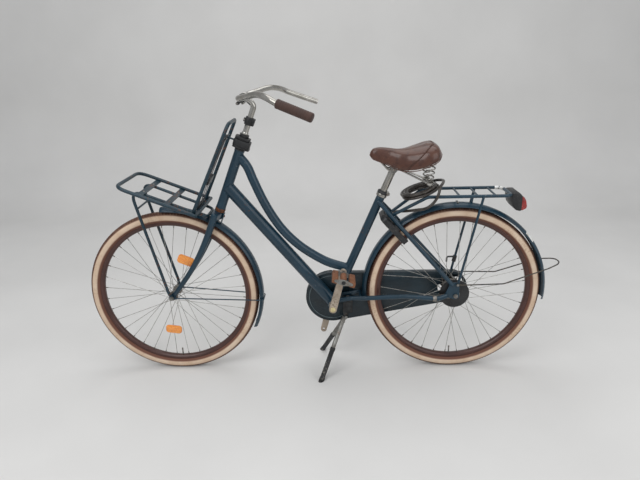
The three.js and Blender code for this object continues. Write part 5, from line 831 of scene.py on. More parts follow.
stem_line = bent([steered(0, 0, 0.648), steered(0, 0, 0.852), clamp_place], 0.022)
dress(tube("stem_column", stem_line, bar_radius, chrome, 32), "steering", "chrome", "stem")
dress(spun("stem_collar", [(0.011, 0.738), (0.0128, 0.738), (0.0128, 0.744), (0.0112, 0.7465),
    (0.011, 0.7465)], steer_foot, steer_way, chrome), "steering", "chrome")
dress(spun("stem_clamp", two_ended([(0.0112, -0.017), (0.0165, -0.017), (0.018, -0.0155)]), clamp_place,
    side_way, chrome), "steering", "chrome", "stem")


def near_clamp(u, v, level):
    """Puts a plate's outline in the steering plane, round the bar's clamp."""
    return clamp_place + u * back_way + v * steer_way + level * side_way


def mirrored(points):
    """The same points on the other side of the bicycle, in turned order."""
    return [Vector((point.x, -point.y, point.z)) for point in reversed(points)]


ears = [slab("clamp_ear", round_hull([(0.0, -0.0135, 0.006), (0.0, -0.021, 0.006)]), low, low + 0.0155,
    near_clamp, chrome, soften=0.001) for low in (-0.017, 0.0015)]
dress(merged("stem_clamp_ears", ears), "steering", "chrome")
dress(spun("stem_pinch_bolt", [(0, -0.0225), (0.0035, -0.0225), (0.005, -0.0195), (0.005, -0.017),
    (0.003, -0.017), (0.003, 0.017), (0.0055, 0.017), (0.0055, 0.0215), (0.003, 0.0215), (0.003, 0.0235),
    (0, 0.0235)], near_clamp(0.0, -0.022, 0), side_way, bare_steel, 6), "steering", "steel")
band_low = 0.775
dress(spun("light_band_ring", pipe(0.0161, 0.01125, band_low, band_low + 0.030), steer_foot, steer_way,
    black_plastic, soften=0.0012), "steering", "black_plastic", "stem_band")
dress(slab("light_band_block", round_box((0.0145, 0.0185), (-0.009, 0.009), 0.003), band_low + 0.001,
    band_low + 0.029, laid, black_plastic, soften=0.002), "steering", "black_plastic", "stem_band")
dress(slab("light_band_ear", round_box((-0.0195, -0.012), (-0.004, 0.004), 0.002), band_low + 0.0078,
    band_low + 0.0222, laid, black_plastic, soften=0.0012), "steering", "black_plastic", "stem_band")
dress(spun("light_band_screw", two_ended([(0, -0.0068), (0.0032, -0.0068), (0.0036, -0.005)]),
    steered(-0.0185, 0, band_low + 0.015), side_way, bare_steel, 16), "steering", "steel")
bar_shares = [(0, 0, 0), (-0.036, 0.15, -0.04), (-0.037, 0.28, -0.03), (0.065, 0.43, 0.33),
    (0.228, 0.63, 0.88), (0.385, 0.8, 1.01), (0.514, 0.873, 0.97), (1, 1, 1)]
right_bar = [steered(bar_back + back * 0.258, out * 0.300, bar_up + up * 0.053)
    for back, out, up in bar_shares]
bar_line = through([*mirrored(right_bar[1:]), *right_bar], 8)
bar_way = (bar_line[-1] - bar_line[-2]).normalized()
grip_way = (bar_line[0] - bar_line[1]).normalized()
dress(tube("handlebar_tube", bar_line[:-1] + [bar_line[-1] - bar_way * 0.0005], bar_radius, chrome, 32),
    "steering", "chrome", "handlebar")
dress(spun("handlebar_mouth", [(0.0093, -0.004), (0.0111, -0.004), (0.0111, -0.0002), (0.0107, 0.0),
    (0.0097, 0.0), (0.0093, -0.0004)], bar_line[-1], bar_way, chrome, 32), "steering", "chrome")
# A near-black disc just inside the bar's open end is painted shade for the hollow bore.
dress(spun("handlebar_bore", disc(0.0094, -0.0025, -0.00035), bar_line[-1], bar_way, bore_shade_and_grease, 32),
    "steering", "steel")
ring_at = min(bar_line, key=lambda point: abs(point.y + 0.028))
spot = bar_line.index(ring_at)
ring_way = (bar_line[spot + 1] - bar_line[spot - 1]).normalized()
dress(spun("lamp_ring", pipe(0.0136, 0.01125, -0.0065, 0.0065), ring_at, ring_way, black_plastic, 40,
    soften=0.0008), "steering", "black_plastic")


def under_bar(u, v, level):
    """Puts a plate's outline square to the bar, under the lamp's ring."""
    return ring_at + u * back_way + v * steer_way + level * ring_way


dress(slab("lamp_ring_lug", round_hull([(-0.003, -0.0145, 0.0045), (-0.009, -0.0265, 0.0055)]), -0.0055,
    0.0055, under_bar, black_plastic, soften=0.0012), "steering", "black_plastic")
dress(spun("lamp_ring_screw", [(0, -0.0075), (0.0034, -0.0075), (0.0036, -0.0058), (0.0036, 0.0058),
    (0.0030, 0.0078), (0, 0.0078)], under_bar(-0.009, -0.0265, 0), ring_way, bare_steel, 16), "steering",
    "steel")
dress(spun("handlebar_ferrule", two_ended([(0.0111, -0.03), (0.0118, -0.028)]), clamp_place, side_way,
    chrome), "steering", "chrome")
grip_profile = [(0.0111, -0.127), (0.0152, -0.127), (0.0162, -0.1255), (0.0165, -0.123), (0.0165, -0.119),
    (0.0158, -0.1175), (0.0158, -0.1155), (0.0163, -0.114)]
for i in range(13):
    start = -0.114 + i * 0.0078
    grip_profile += [(0.0163, start + 0.0008), (0.0163, start + 0.0058), (0.01585, start + 0.0064),
        (0.01585, start + 0.0073)]
grip_profile += [(0.0165, -0.0115), (0.0165, 0.0), (0.0158, 0.0032), (0.014, 0.005), (0, 0.005)]
dress(spun("left_grip_rubber", [(0, -0.01), *grip_profile], bar_line[0], grip_way, grip_brown, 48,
    sharp=50), "steering", "grip", "left_grip")

# Front carrier: bent steel tube with flat cross slats riveted on, two long stays to the
# axle and a tall back. Its enamel is thin and rust shows at the slats' ends and welds.
rack_paint = new_finish("worn_teal_enamel", "0f2833", 0.42, 0.1, Coat_Weight=0.3, Coat_Roughness=0.2,
    Specular_IOR_Level=0.35)
tint(rack_paint, (8.0, 0.35, 0.75), "1b3643", 0.5)
tint(rack_paint, (260.0, 0.64, 0.76, 6.0), "4d707c", 0.6)
tint(rack_paint, [(120.0, 0.54, 0.64, 8.0), (16.0, 0.5, 0.62)], "6d452c", 0.9, 0.1)
relief(rack_paint, (350.0, 0.3, 0.7), 0.0003, 0.3)
platform_up = 0.404
slat_up = 0.399
platform_front, platform_rear, platform_half, platform_radius = -0.380, -0.066, 0.133, 0.007
loop_half = [steered(platform_rear, -platform_half, platform_up),
    steered(platform_front, -platform_half, platform_up)]
platform = [tube("platform_loop", bent([*loop_half, *mirrored(loop_half)], 0.045), platform_radius,
    rack_paint, 20), tube("platform_rear", [steered(platform_rear, out, platform_up)
    for out in (-0.1365, 0.1365)], platform_radius, rack_paint, 20)]
dress(merged("carrier_platform_tubes", platform), "steering", "frame_paint", "front_carrier_platform")
slat = slab("platform_slat", round_box((-0.073, -0.091), (-0.131, 0.131), 0.002, 12), slat_up - 0.002,
    slat_up + 0.002, laid, rack_paint, soften=0.0006)
dress(repeated("carrier_platform_slats", slat, 3, step=-0.105 * back_way), "steering", "frame_paint",
      "front_carrier_platform")
loop_up = slat_up - 0.002 - 0.0003 - 0.006
for side, word in both_sides:
    rivet = spun("slat_rivet", [(0, 0.0), (0.0042, 0.0), (0.0038, 0.0012), (0.0022, 0.0021), (0, 0.0024)],
        steered(-0.082, side * 0.060, slat_up + 0.002), steer_way, bare_steel, 16)
    dress(repeated("slat_rivets_" + word, rivet, 3, step=-0.105 * back_way), "steering", "steel")
foot = steered(-0.084, -0.072, 0.022)
eye = foot.lerp(steered(-0.070, -0.0591, 0), 0.5)
eye.y = -(0.0591 - 0.0015 + 0.006)
half = [eye, foot, steered(-0.345, -0.066, loop_up), steered(-0.033, -0.060, loop_up)]
cross = foot.lerp(half[2], 0.82)
stays = [tube("stay_loop", bent([*half, *mirrored(half)], 0.030), 0.006, rack_paint, 20),
    tube("stay_cross", [cross, Vector((cross.x, -cross.y, cross.z))], 0.004, rack_paint, 16)]
dress(merged("carrier_stay_tubes", stays), "steering", "frame_paint", "front_carrier_stays")
tabs = [slab("stay_tab", round_hull([(front_axle.x, front_axle.z, 0.009), (eye.x, eye.z, 0.006)]),
    side * 0.0576, side * 0.0606, upright, rack_paint, [front_hole], soften=0.0006) for side in (-1, 1)]
dress(merged("carrier_stay_tabs", tabs), "steering", "frame_paint", "front_carrier_stays")


back_foot, back_top = 0.4013, 0.765


def back_point(side, up):
    """A place on the carrier's back, from its foot on the slat to its top."""
    share = (up - back_foot) / (back_top - back_foot)
    return steered(-(0.082 - share * 0.021), side * (0.108 - share * 0.030), up)


hoop_half = [back_point(-1, back_foot), back_point(-1, back_top)]
dress(tube("carrier_back_hoop", bent([*hoop_half, *mirrored(hoop_half)], 0.028), platform_radius,
    rack_paint, 20), "steering", "frame_paint", "front_carrier_back")
rod_up = housing_low + 0.022
rod_left, rod_right = back_point(-1, rod_up) + side_way * 0.0073, back_point(1, rod_up) - side_way * 0.0073
rod_lines = [[rod_left, rod_right], [Vector((rod_left.x, 0, rod_left.z)), steered(-0.024, 0, rod_up)]]
rods = [tube("back_rod", line, 0.0035, rack_paint, 16) for line in rod_lines]
dress(merged("carrier_back_rods", rods), "steering", "frame_paint", "headset_housing")

# Luggage straps: three flat rubber bands from a bar on the carrier back's rod down to a
# plate on its foot, with a black clip across them. They are old and dusty.
strap_rubber = new_finish("strap_rubber", "2c2829", 0.78)
tint(strap_rubber, (40.0, 0.4, 0.7), "4b4243", 0.85)
relief(strap_rubber, pattern(strap_rubber, "ShaderNodeTexWave", {"Scale": 260.0}, 0.0, 1.0, across="UV"),
       0.0003, 0.4)
strap_low, strap_high = 0.408, rod_up
strap_steps = 24


def strap_place(side, up):
    """A place in the plane of the carrier's back."""
    point = back_point(0, up)
    return Vector((point.x, side, point.z))


def outward(piece):
    """Turns a closed piece's faces outwards."""
    solid = bmesh.new()
    solid.from_mesh(piece.data)
    bmesh.ops.recalc_face_normals(solid, faces=solid.faces)
    solid.to_mesh(piece.data)
    solid.free()


for i, (low_side, high_side) in enumerate(((-0.046, -0.016), (0.0, 0.0), (0.046, 0.016))):
    way = strap_place(high_side, strap_high) - strap_place(low_side, strap_low)
    across = way.cross(back_way).normalized()
    rings = [strap_place(low_side, strap_low).lerp(strap_place(high_side, strap_high), k / strap_steps)
        - back_way * 0.0035 * math.sin(math.pi * k / strap_steps) for k in range(strap_steps + 1)]
    corners = [(-0.0055, -0.0009), (0.0055, -0.0009), (0.0055, 0.0009), (-0.0055, 0.0009)]
    vertices = [ring + across * u + back_way * v for ring in rings for u, v in corners]
    faces = ring_faces(strap_steps + 1, 4)
    uv = [[(k / 60, 0), (k / 60, 0.01), ((k + 1) / 60, 0.01), ((k + 1) / 60, 0)]
          for k in range(strap_steps) for j in range(4)]
    faces += [(3, 2, 1, 0), tuple(range(4 * strap_steps, 4 * strap_steps + 4))]
    uv += [[(0, 0)] * 4, [(0.4, 0)] * 4]
    strap = add_piece(f"luggage_strap_{i}", vertices, faces, strap_rubber, uv)
    outward(strap)
    dress(strap, "steering", "black_plastic")


def on_back(middle):
    """Puts a plate's outline in the plane of the carrier's back, round a height."""
    rise = (strap_place(0, middle + 0.01) - strap_place(0, middle)).normalized()
    foot = strap_place(0, middle)
    return lambda u, v, level: foot + u * side_way + v * rise + level * side_way.cross(rise)


for name, middle, wide, high, thick in (("strap_clip", 0.520, 0.036, 0.016, 0.0065),
        ("strap_foot_plate", 0.414, 0.054, 0.009, 0.004), ("strap_top_bar", rod_up - 0.004, 0.022, 0.008,
        0.0055)):
    dress(slab(name, round_box((-wide + 0.004, wide - 0.004), (0.004 - high, high - 0.004), 0.004),
        -thick, thick, on_back(middle), black_plastic, soften=0.0012), "steering", "black_plastic")

# Wheels: 28 inch rims lacquered red-brown, cream balloon tyres whose tread has gone brown
# with use, and 36 steel spokes laced three-cross to a slim front hub and a big brake hub.
rim_brown = new_finish("rim_lacquer", "46241c", 0.38, 0.1, Coat_Weight=0.3, Coat_Roughness=0.25)
tint(rim_brown, (15.0, 0.35, 0.75), "381b14", 0.5)
tint(rim_brown, (260.0, 0.64, 0.75, 6.0), "6f5548", 0.8)
relief(rim_brown, (300.0, 0.3, 0.7), 0.0003, 0.25)
cream = new_finish("cream_tyre", "d6c0a9", 0.66)
tint(cream, (20.0, 0.35, 0.75), "c6aa90", 0.72)
tint(cream, [(130.0, 0.52, 0.68, 6.0), (10.0, 0.45, 0.7)], "a98a6e", 0.85)
# Three brown bands across the casing: the two over the tread are its worn brown rubber, and the one next
# to the rim is painted shade where the sidewall turns in to meet the rim.
for low, high, brown in ((0.50, 0.60, "6f4a37"), (0.20, 0.10, "6b4536"), (0.60, 0.68, "4c2e24")):
    band = pattern(cream, "ShaderNodeTexGradient", {}, low, high, turn=(0, 0, -math.pi / 2), across="UV")
    tint(cream, band, brown, 0.75)
relief(cream, pattern(cream, "ShaderNodeTexWave", {"Scale": 330.0, "Distortion": 1.0}, 0.0, 1.0,
    across="UV"), 0.0002, 0.3)
tread_rubber = new_finish("worn_tread", "4d3026", 0.8)
tint(tread_rubber, (45.0, 0.35, 0.7), "7a5c49", 0.9)
relief(tread_rubber, (500.0, 0.3, 0.7), 0.0003, 0.4)
spoke_steel = new_finish("spoke_steel", "a9a8a4", 0.3, 0.95)
tint(spoke_steel, (50.0, 0.45, 0.7), "77726a", 0.5, 0.8)
relief(spoke_steel, (700.0, 0.3, 0.7), 0.0001, 0.2)
hub_steel = new_finish("hub_shell", "8b8984", 0.42, 0.85)
tint(hub_steel, (60.0, 0.4, 0.65), "5e5a53", 0.65, 0.6)
tint(hub_steel, [(240.0, 0.5, 0.62), (30.0, 0.4, 0.6)], "6a4a33", 0.9, 0.1)
relief(hub_steel, (500.0, 0.3, 0.7), 0.0003, 0.3)
spokes = 36
tread_blocks = 180
lacing = math.radians(60)
rim_bed = 0.311
tyre_middle = 0.3325
tyre_round = 0.0228
tread_low, tread_high = 0.0222, 0.0235
front_flange, front_flange_at = 0.020, 0.032


def rods_along(tree, points, rod, way, radius, length):
    """A rod at each point of a tree, laid along a way."""
    size = tree_node(tree, "ShaderNodeCombineXYZ", {0: radius, 1: radius, 2: length})
    aim = tree_node(tree, "FunctionNodeAlignEulerToVector", {"Vector": way}, axis="Z")
    return tree_node(tree, "GeometryNodeInstanceOnPoints", {
        "Points": points, "Instance": rod, "Rotation": aim, "Scale": size})


def unit_rod(tree, sides):
    """A rod of one in radius and in length, with its middle at the origin."""
    return tree_node(tree, "GeometryNodeMeshCylinder", {"Vertices": sides, "Radius": 1.0, "Depth": 1.0})


def laced_tree():
    """A wheel's spokes or nipples: a rod from each hole of the hub's flanges to the rim."""
    tree, given, made = node_group("laced_spokes", [
        ("Count", "Int"), ("Phase", "Float"), ("Lacing", "Float"), ("Flange radius", "Float"),
        ("Flange distance", "Float"), ("Flange offset", "Float"), ("Rim radius", "Float"),
        ("Rim offset", "Float"), ("Rod radius", "Float"), ("Nipple length", "Float"), ("Centre", "Vector"),
        ("Finish", "Material")])
    value = given.outputs

    def number(operation, *values):
        return tree_node(tree, "ShaderNodeMath", dict(enumerate(values)), operation=operation)

    def place(radius, turn, side):
        return tree_node(tree, "ShaderNodeCombineXYZ", {
            0: number("MULTIPLY", radius, number("COSINE", turn)), 1: side,
            2: number("MULTIPLY", radius, number("SINE", turn))})

    def either(kind, yes, no):
        return tree_node(tree, "GeometryNodeSwitch", {"Switch": is_nipple, "True": yes, "False": no},
            input_type=kind)

    index = tree_node(tree, "GeometryNodeInputIndex", {})
    side = number("SUBTRACT", number("MULTIPLY", number("MODULO", index, 2.0), 2.0), 1.0)
    pair = number("MODULO", number("FLOOR", number("DIVIDE", index, 2.0)), 2.0)
    leading = number("SUBTRACT", number("MULTIPLY", pair, 2.0), 1.0)
    share = number("DIVIDE", index, value["Count"])
    rim_turn = number("ADD", value["Phase"], number("MULTIPLY", share, 2 * math.pi))
    hub_turn = number("SUBTRACT", rim_turn, number("MULTIPLY", leading, value["Lacing"]))
    flange = number("ADD", value["Flange distance"], number("MULTIPLY", leading, value["Flange offset"]))
    start = place(value["Flange radius"], hub_turn, number("MULTIPLY", side, flange))
    end = place(value["Rim radius"], rim_turn, number("MULTIPLY", side, value["Rim offset"]))
    way = tree_node(tree, "ShaderNodeVectorMath", {0: end, 1: start}, operation="SUBTRACT")
    length = tree_node(tree, "ShaderNodeVectorMath", {0: way}, operation="LENGTH").node.outputs["Value"]
    is_nipple = number("GREATER_THAN", value["Nipple length"], 0.0)
    unit = tree_node(tree, "ShaderNodeVectorMath", {0: way}, operation="NORMALIZE")
    nipple_start = tree_node(tree, "ShaderNodeVectorMath",
        {0: end, 1: scaled(tree, unit, value["Nipple length"])}, operation="SUBTRACT")
    from_place = either("VECTOR", nipple_start, start)
    points = tree_node(tree, "GeometryNodePoints", {
        "Count": value["Count"], "Position": added(tree, value["Centre"], from_place)})
    rod = tree_node(tree, "GeometryNodeTransform", {"Geometry": unit_rod(tree, 8),
        "Translation": (0, 0, 0.5)})
    rods = rods_along(tree, points, rod, way, value["Rod radius"],
        either("FLOAT", value["Nipple length"], length))
    return end_tree(tree, made, rods, value["Finish"])


laced = laced_tree()


def tyre(name, centre, body, node):
    """A tyre with its sidewalls and bead, and a brown tread of small blocks."""
    around, across = 144, 28
    arc = math.radians(130)
    section = [(tyre_middle + tyre_round * math.cos(arc * (1 - 2 * i / across)),
        tyre_round * math.sin(arc * (1 - 2 * i / across)), i / across) for i in range(across + 1)]
    section += [(0.3125, -0.0102, 1.1), (0.3115, 0.0102, 1.2)]
    vertices, uv = [], []
    for k in range(around):
        turn = 2 * math.pi * k / around
        for radius, y, v in section:
            vertices.append(centre + Vector((radius * math.cos(turn), y, radius * math.sin(turn))))
    n = len(section)
    faces = ring_faces(around, n, closed=True)
    girth = tyre_middle * 2 * math.pi / around
    for k in range(around):
        for i in range(n):
            j = (i + 1) % n
            v, w = 1 - abs(2 * section[i][2] - 1), 1 - abs(2 * section[j][2] - 1)
            uv.append([(k * girth, v), (k * girth, w), ((k + 1) * girth, w), ((k + 1) * girth, v)])
    casing = add_piece(name + "_casing", vertices, faces, cream, uv, sharp=60)
    outward(casing)
    dress(casing, body, "tyre", node)
    blocks = []
    for turn, half, wide in ((0.0, 0.0035, 0.0042), (0.42, 0.0042, 0.0036), (-0.42, 0.0042, 0.0036),
            (0.8, 0.0036, 0.0034), (-0.8, 0.0036, 0.0034)):
        solid = bmesh.new()
        shift = 0.5 if turn else 0.0
        corners = []
        for depth in (tread_low, tread_high):
            for u, v in ((-half, -wide), (half, -wide), (half, wide), (-half, wide)):
                lean = turn + v / tread_high
                around_wheel = (u + shift * 0.0055
                    + (0.3 * v if turn > 0 else -0.3 * v)) / (tyre_middle + tread_high)
                radius = tyre_middle + depth * math.cos(lean)
                corners.append(solid.verts.new(centre + Vector((radius * math.cos(around_wheel),
                    depth * math.sin(lean), radius * math.sin(around_wheel)))))
        for face in ((0, 1, 2, 3), (4, 5, 6, 7), (0, 1, 5, 4), (1, 2, 6, 5), (2, 3, 7, 6), (3, 0, 4, 7)):
            solid.faces.new([corners[i] for i in face])
        blocks.append(finish_solid("tread_block", solid, tread_rubber))
    pattern_piece = merged("tread_blocks", blocks)
    dress(repeated(name + "_tread", pattern_piece, tread_blocks, centre,
        turn=(0, -2 * math.pi / tread_blocks, 0)), body, "tyre")
    dress(spun(name + "_valve", [(0, 0.0), (0.0032, 0.0), (0.0032, 0.010), (0.0026, 0.011),
        (0.0026, 0.024), (0.0033, 0.0245), (0.0033, 0.031), (0.0, 0.033)],
        centre + Vector((0.0, 0, -0.2985)), (0, 0, 1), bare_steel, 16), body, "steel")


def wheel(name, centre, body, flange_radius, flange_at, phase):
    """A wheel's rim, tyre, spokes and nipples."""
    rim_half = [(0.298, 0.0055), (0.2990, 0.0078), (0.3045, 0.0128), (0.3065, 0.0135), (0.3155, 0.0135),
        (0.317, 0.0128), (0.317, 0.0118), (0.3158, 0.0110), (rim_bed, 0.0108)]
    dress(spun(name + "_rim_lacquered", two_ended(rim_half), centre, side_way, rim_brown, 144, sharp=28),
        body, "rim_paint", name + "_rim")
    tyre(name, centre, body, name + "_tyre")
    sizes = {"Count": spokes, "Phase": phase, "Lacing": lacing, "Flange radius": flange_radius - 0.0024,
        "Flange distance": flange_at, "Flange offset": 0.0013, "Rim radius": 0.2975, "Rim offset": 0.001,
        "Rod radius": 0.001, "Nipple length": 0.0, "Centre": tuple(centre), "Finish": spoke_steel}
    dress(smooth(grown(name + "_spokes", laced, sizes, spoke_steel)), body, "steel", name + "_hub")
    dress(smooth(grown(name + "_nipples", laced, {**sizes, "Rod radius": 0.002, "Nipple length": 0.012,
        "Rim radius": 0.2995, "Finish": hub_steel}, hub_steel)), body, "steel")
    for side, word in both_sides:
        head = spun("spoke_head", [(0, -0.0008), (0.0017, -0.0008), (0.0019, 0.0002), (0.0012, 0.0012),
            (0, 0.0015)], centre + Vector(((flange_radius - 0.0032) * math.cos(phase),
            side * (flange_at + 0.0024), (flange_radius - 0.0032) * math.sin(phase))), side_way * side,
            spoke_steel, 8)
        dress(repeated(f"{name}_spoke_heads_{word}", head, spokes // 2, centre,
            turn=(0, -4 * math.pi / spokes, 0)), body, "steel")


wheel("front", front_axle, "front_wheel", front_flange, front_flange_at, math.radians(5))
wheel("rear", rear_axle, "rear_wheel", 0.036, 0.030, math.radians(137))
front_half = [(0.0054, 0.0433), (0.009, 0.0433), (0.0095, 0.0425), (0.0105, 0.0348), (0.0192, 0.0344),
    (0.0200, 0.0336), (0.0200, 0.0304), (0.0192, 0.0296), (0.0125, 0.0292), (0.0102, 0.024),
    (0.0100, 0.015)]
dress(spun("front_hub_shell", two_ended(front_half), front_axle, side_way, hub_steel, sharp=40),
    "front_wheel", "steel", "front_hub")
rear_profile = [(0.0054, -0.0545), (0.0188, -0.0545), (0.020, -0.0535), (0.020, -0.0386),
    (0.0415, -0.0384), (0.043, -0.037), (0.043, -0.0330), (0.0415, -0.0326), (0.0360, -0.0324),
    (0.036, -0.0276), (0.0350, -0.027), (0.0290, -0.0262), (0.0262, -0.021), (0.026, 0.0),
    (0.0262, 0.021), (0.0290, 0.0262), (0.0350, 0.027), (0.036, 0.0276), (0.036, 0.0324),
    (0.0350, 0.0330), (0.0165, 0.0390), (0.0054, 0.0392)]
dress(spun("rear_hub_shell", rear_profile, rear_axle, side_way, hub_steel, sharp=40), "rear_wheel",
    "steel", "rear_hub")
fins = [(0.0203, -0.0387), (0.0590, -0.0387), (0.060, -0.0392), (0.060, -0.0402), (0.0590, -0.0407),
        (0.032, -0.0407), (0.032, -0.0437), (0.0590, -0.0437), (0.060, -0.0442), (0.060, -0.0452),
        (0.0590, -0.0457), (0.0203, -0.0457)]
dress(spun("cooling_disc", fins, rear_axle, side_way, black_plastic, 64, sharp=30), "rear_wheel", "steel",
      "brake_disc")
vane = slab("disc_vane", [(rear_axle.x + 0.0315, rear_axle.z - 0.001),
    (rear_axle.x + 0.0575, rear_axle.z - 0.001), (rear_axle.x + 0.0575, rear_axle.z + 0.001),
    (rear_axle.x + 0.0315, rear_axle.z + 0.001)], -0.0438, -0.0406, upright, black_plastic)
dress(repeated("cooling_disc_vanes", vane, 20, rear_axle, turn=(0, -math.pi / 10, 0)), "rear_wheel",
    "steel")


def wheel_axle(name, centre, body, node, spacing, locknut, stack, finish):
    """An axle with locknuts inside the frame's ends, washers and domed nuts outside."""
    inner = spacing / 2 - 0.0003
    nut = spacing / 2 + stack + 0.0003
    parts = [spun("axle_rod", disc(0.005, -nut - 0.012, nut + 0.012), centre, side_way, finish, 24,
        soften=0.0006)]
    for side in (-1, 1):
        parts.append(spun("axle_locknut", pipe(0.0088, 0.005, inner - locknut, inner), centre,
            side_way * side, finish, 6, soften=0.0006))
        parts.append(spun("axle_washer", pipe(0.0093, 0.005, nut, nut + 0.0016), centre, side_way * side,
            finish, 32))
        parts.append(spun("axle_nut", [(0.005, nut + 0.0016), (0.0088, nut + 0.0016),
            (0.0088, nut + 0.0078), (0.0076, nut + 0.008), (0.005, nut + 0.008)], centre, side_way * side,
            finish, 6, soften=0.0005))
    dress(merged(name, parts), body, "steel", node)


wheel_axle("front_axle_set", front_axle, "steering", "front_axle", 0.100, 0.006, 0.0106, bare_steel)
wheel_axle("rear_axle_set", rear_axle, "frame", "rear_axle", 0.124, 0.0035, 0.005, bare_steel)

# Spoke reflectors: two amber plates clipped on the front wheel's left spokes, each with a
# raised field of small prisms and a clip across it.
amber = new_finish("amber_reflector", "e8741a", 0.16, 0.0, Coat_Weight=0.7, Coat_Roughness=0.05)
tint(amber, cells(amber, 260.0, 0.1, 0.55), "f6a24a", 0.2)
tint(amber, (60.0, 0.55, 0.75), "b5581a", 0.45)
relief(amber, cells(amber, 260.0, 0.0, 0.5, feature="F1"), 0.0012, 0.8)
reflector_out = 0.165
slope = (front_flange_at - 0.001) / (0.298 - front_flange)
face_at = -(front_flange_at - slope * (reflector_out - front_flange) + 0.0013)


def on_spokes(u, v, level):
    """Puts a plate's outline on the left spokes, facing out, at the reflector that is being made."""
    return middle + u * along_way + v * tilted_out + level * outer_way


def field(margin, corner=0.0127):
    """The reflector's outline, that much smaller all round."""
    wide, high = 0.034 - corner, 0.019 - corner
    return round_box((-wide, wide), (-high, high), corner - margin)


layers = [("base", field(0.0), 0.0, 0.005, 0.0008), ("prisms", field(0.0028), 0.005, 0.0078, 0.0012),
    ("clip", round_box((-0.024, 0.024), (-0.003, 0.003), 0.002), 0.0078, 0.0083, 0.0002)]
for word, degrees in (("upper", 67), ("lower", 263)):
    turn = math.radians(degrees)
    out_way = Vector((math.cos(turn), 0, math.sin(turn)))
    along_way = Vector((math.sin(turn), 0, -math.cos(turn)))
    tilted_out = out_way * math.cos(math.atan(slope)) + side_way * math.sin(math.atan(slope))
    outer_way = -along_way.cross(tilted_out).normalized()
    if outer_way.y > 0:
        outer_way = -outer_way
    middle = front_axle + out_way * reflector_out + side_way * face_at
    for layer, outline, low, high, soften in layers:
        dress(slab(f"reflector_{word}_{layer}", outline, low, high, on_spokes, amber, soften=soften),
            "front_wheel", "orange_plastic", "front_reflector_" + word)

# Mudguards: rolled steel strips with a crown and beaded edges, enamelled with the frame, on
# wire stays. The rear one's wire has come off the guard and points out behind the wheel.
guard_wire = new_finish("blackened_wire", "3b3d3e", 0.5, 0.6)
tint(guard_wire, (60.0, 0.4, 0.65), "56524b", 0.6)
tint(guard_wire, (200.0, 0.58, 0.7), "6b4630", 0.85, 0.1)
relief(guard_wire, (500.0, 0.3, 0.7), 0.0002, 0.3)
guard_half = 0.029
guard_depth = 0.014
guard_wall = 0.0012
crown_shares = [(0, 0), (0.15, 0.01), (0.3, 0.05), (0.45, 0.12), (0.6, 0.22), (0.72, 0.37), (0.83, 0.57),
    (0.92, 0.78), (0.985, 0.93), (1.0, 0.97), (1.0, 1.0)]


def mudguard(name, centre, start, stop, body, node):
    """A guard round a wheel, between two angles above the ground behind its axle."""
    half = [(guard_radius - drop * guard_depth, across * guard_half) for across, drop in crown_shares]
    outer = [(radius, -y) for radius, y in reversed(half[1:])] + half
    inner = [(radius - guard_wall, y * (guard_half - guard_wall) / guard_half)
        for radius, y in reversed(outer)]
    section = outer + inner
    n = len(section)
    steps = int(math.degrees(stop - start) / 2)
    vertices = []
    for k in range(steps + 1):
        turn = start + (stop - start) * k / steps
        squeeze = 1.0 if 0 < k < steps else 0.94
        for radius, y in section:
            vertices.append(centre + Vector((radius * math.cos(turn), y * squeeze,
                radius * math.sin(turn))))
    faces = ring_faces(steps + 1, n)
    faces += [tuple(reversed(range(n))), tuple(range(steps * n, steps * n + n))]
    guard = add_piece(name, vertices, faces, teal, sharp=50)
    outward(guard)
    dress(guard, body, "frame_paint", node)
    beads = []
    for side in (-1, 1):
        line = [centre + Vector(((guard_radius - guard_depth) * math.cos(turn),
            side * (guard_half - 0.0006), (guard_radius - guard_depth) * math.sin(turn)))
            for turn in (start + (stop - start) * (k + 0.5) / steps for k in range(steps))]
        beads.append(tube("guard_bead", line, 0.0013, teal, 8))
    dress(merged(name + "_beads", beads), body, "frame_paint", node)


mudguard("front_mudguard_strip", front_axle, math.radians(-25), math.radians(93), "steering",
    "front_mudguard")
mudguard("rear_mudguard_strip", rear_axle, math.radians(-6), math.radians(185), "frame", "rear_mudguard")
stay_turn = math.radians(-4)
ray = Vector((math.cos(stay_turn), 0, math.sin(stay_turn)))
stay_reach = guard_radius + 0.00125
stay_half = [front_axle + ray * 0.018 - side_way * 0.0578, front_axle + ray * stay_reach * 0.8 - side_way
    * 0.038, front_axle + ray * stay_reach - side_way * 0.033]
dress(tube("front_guard_wire", bent([*stay_half, *mirrored(stay_half)], 0.010), 0.0025, teal, 14),
    "steering", "frame_paint", "front_mudguard")
eyes = [slab("wire_eye", round_hull([(front_axle.x, front_axle.z, 0.008), (front_axle.x + ray.x * 0.024,
    front_axle.z + ray.z * 0.024, 0.0025)]), side * 0.0553, side * 0.0573, upright, teal, [front_hole],
    soften=0.0004) for side in (-1, 1)]
dress(merged("front_guard_eyes", eyes), "steering", "frame_paint", "front_mudguard")
bracket_back = 0.018 + 0.0003 + 0.002
bracket_low = math.sqrt(guard_radius**2 - (bracket_back + fork_rake) ** 2) - 0.0015


def on_crown(u, v, level):
    """Puts a plate's outline behind the fork's crown."""
    return steered(level, u, v)


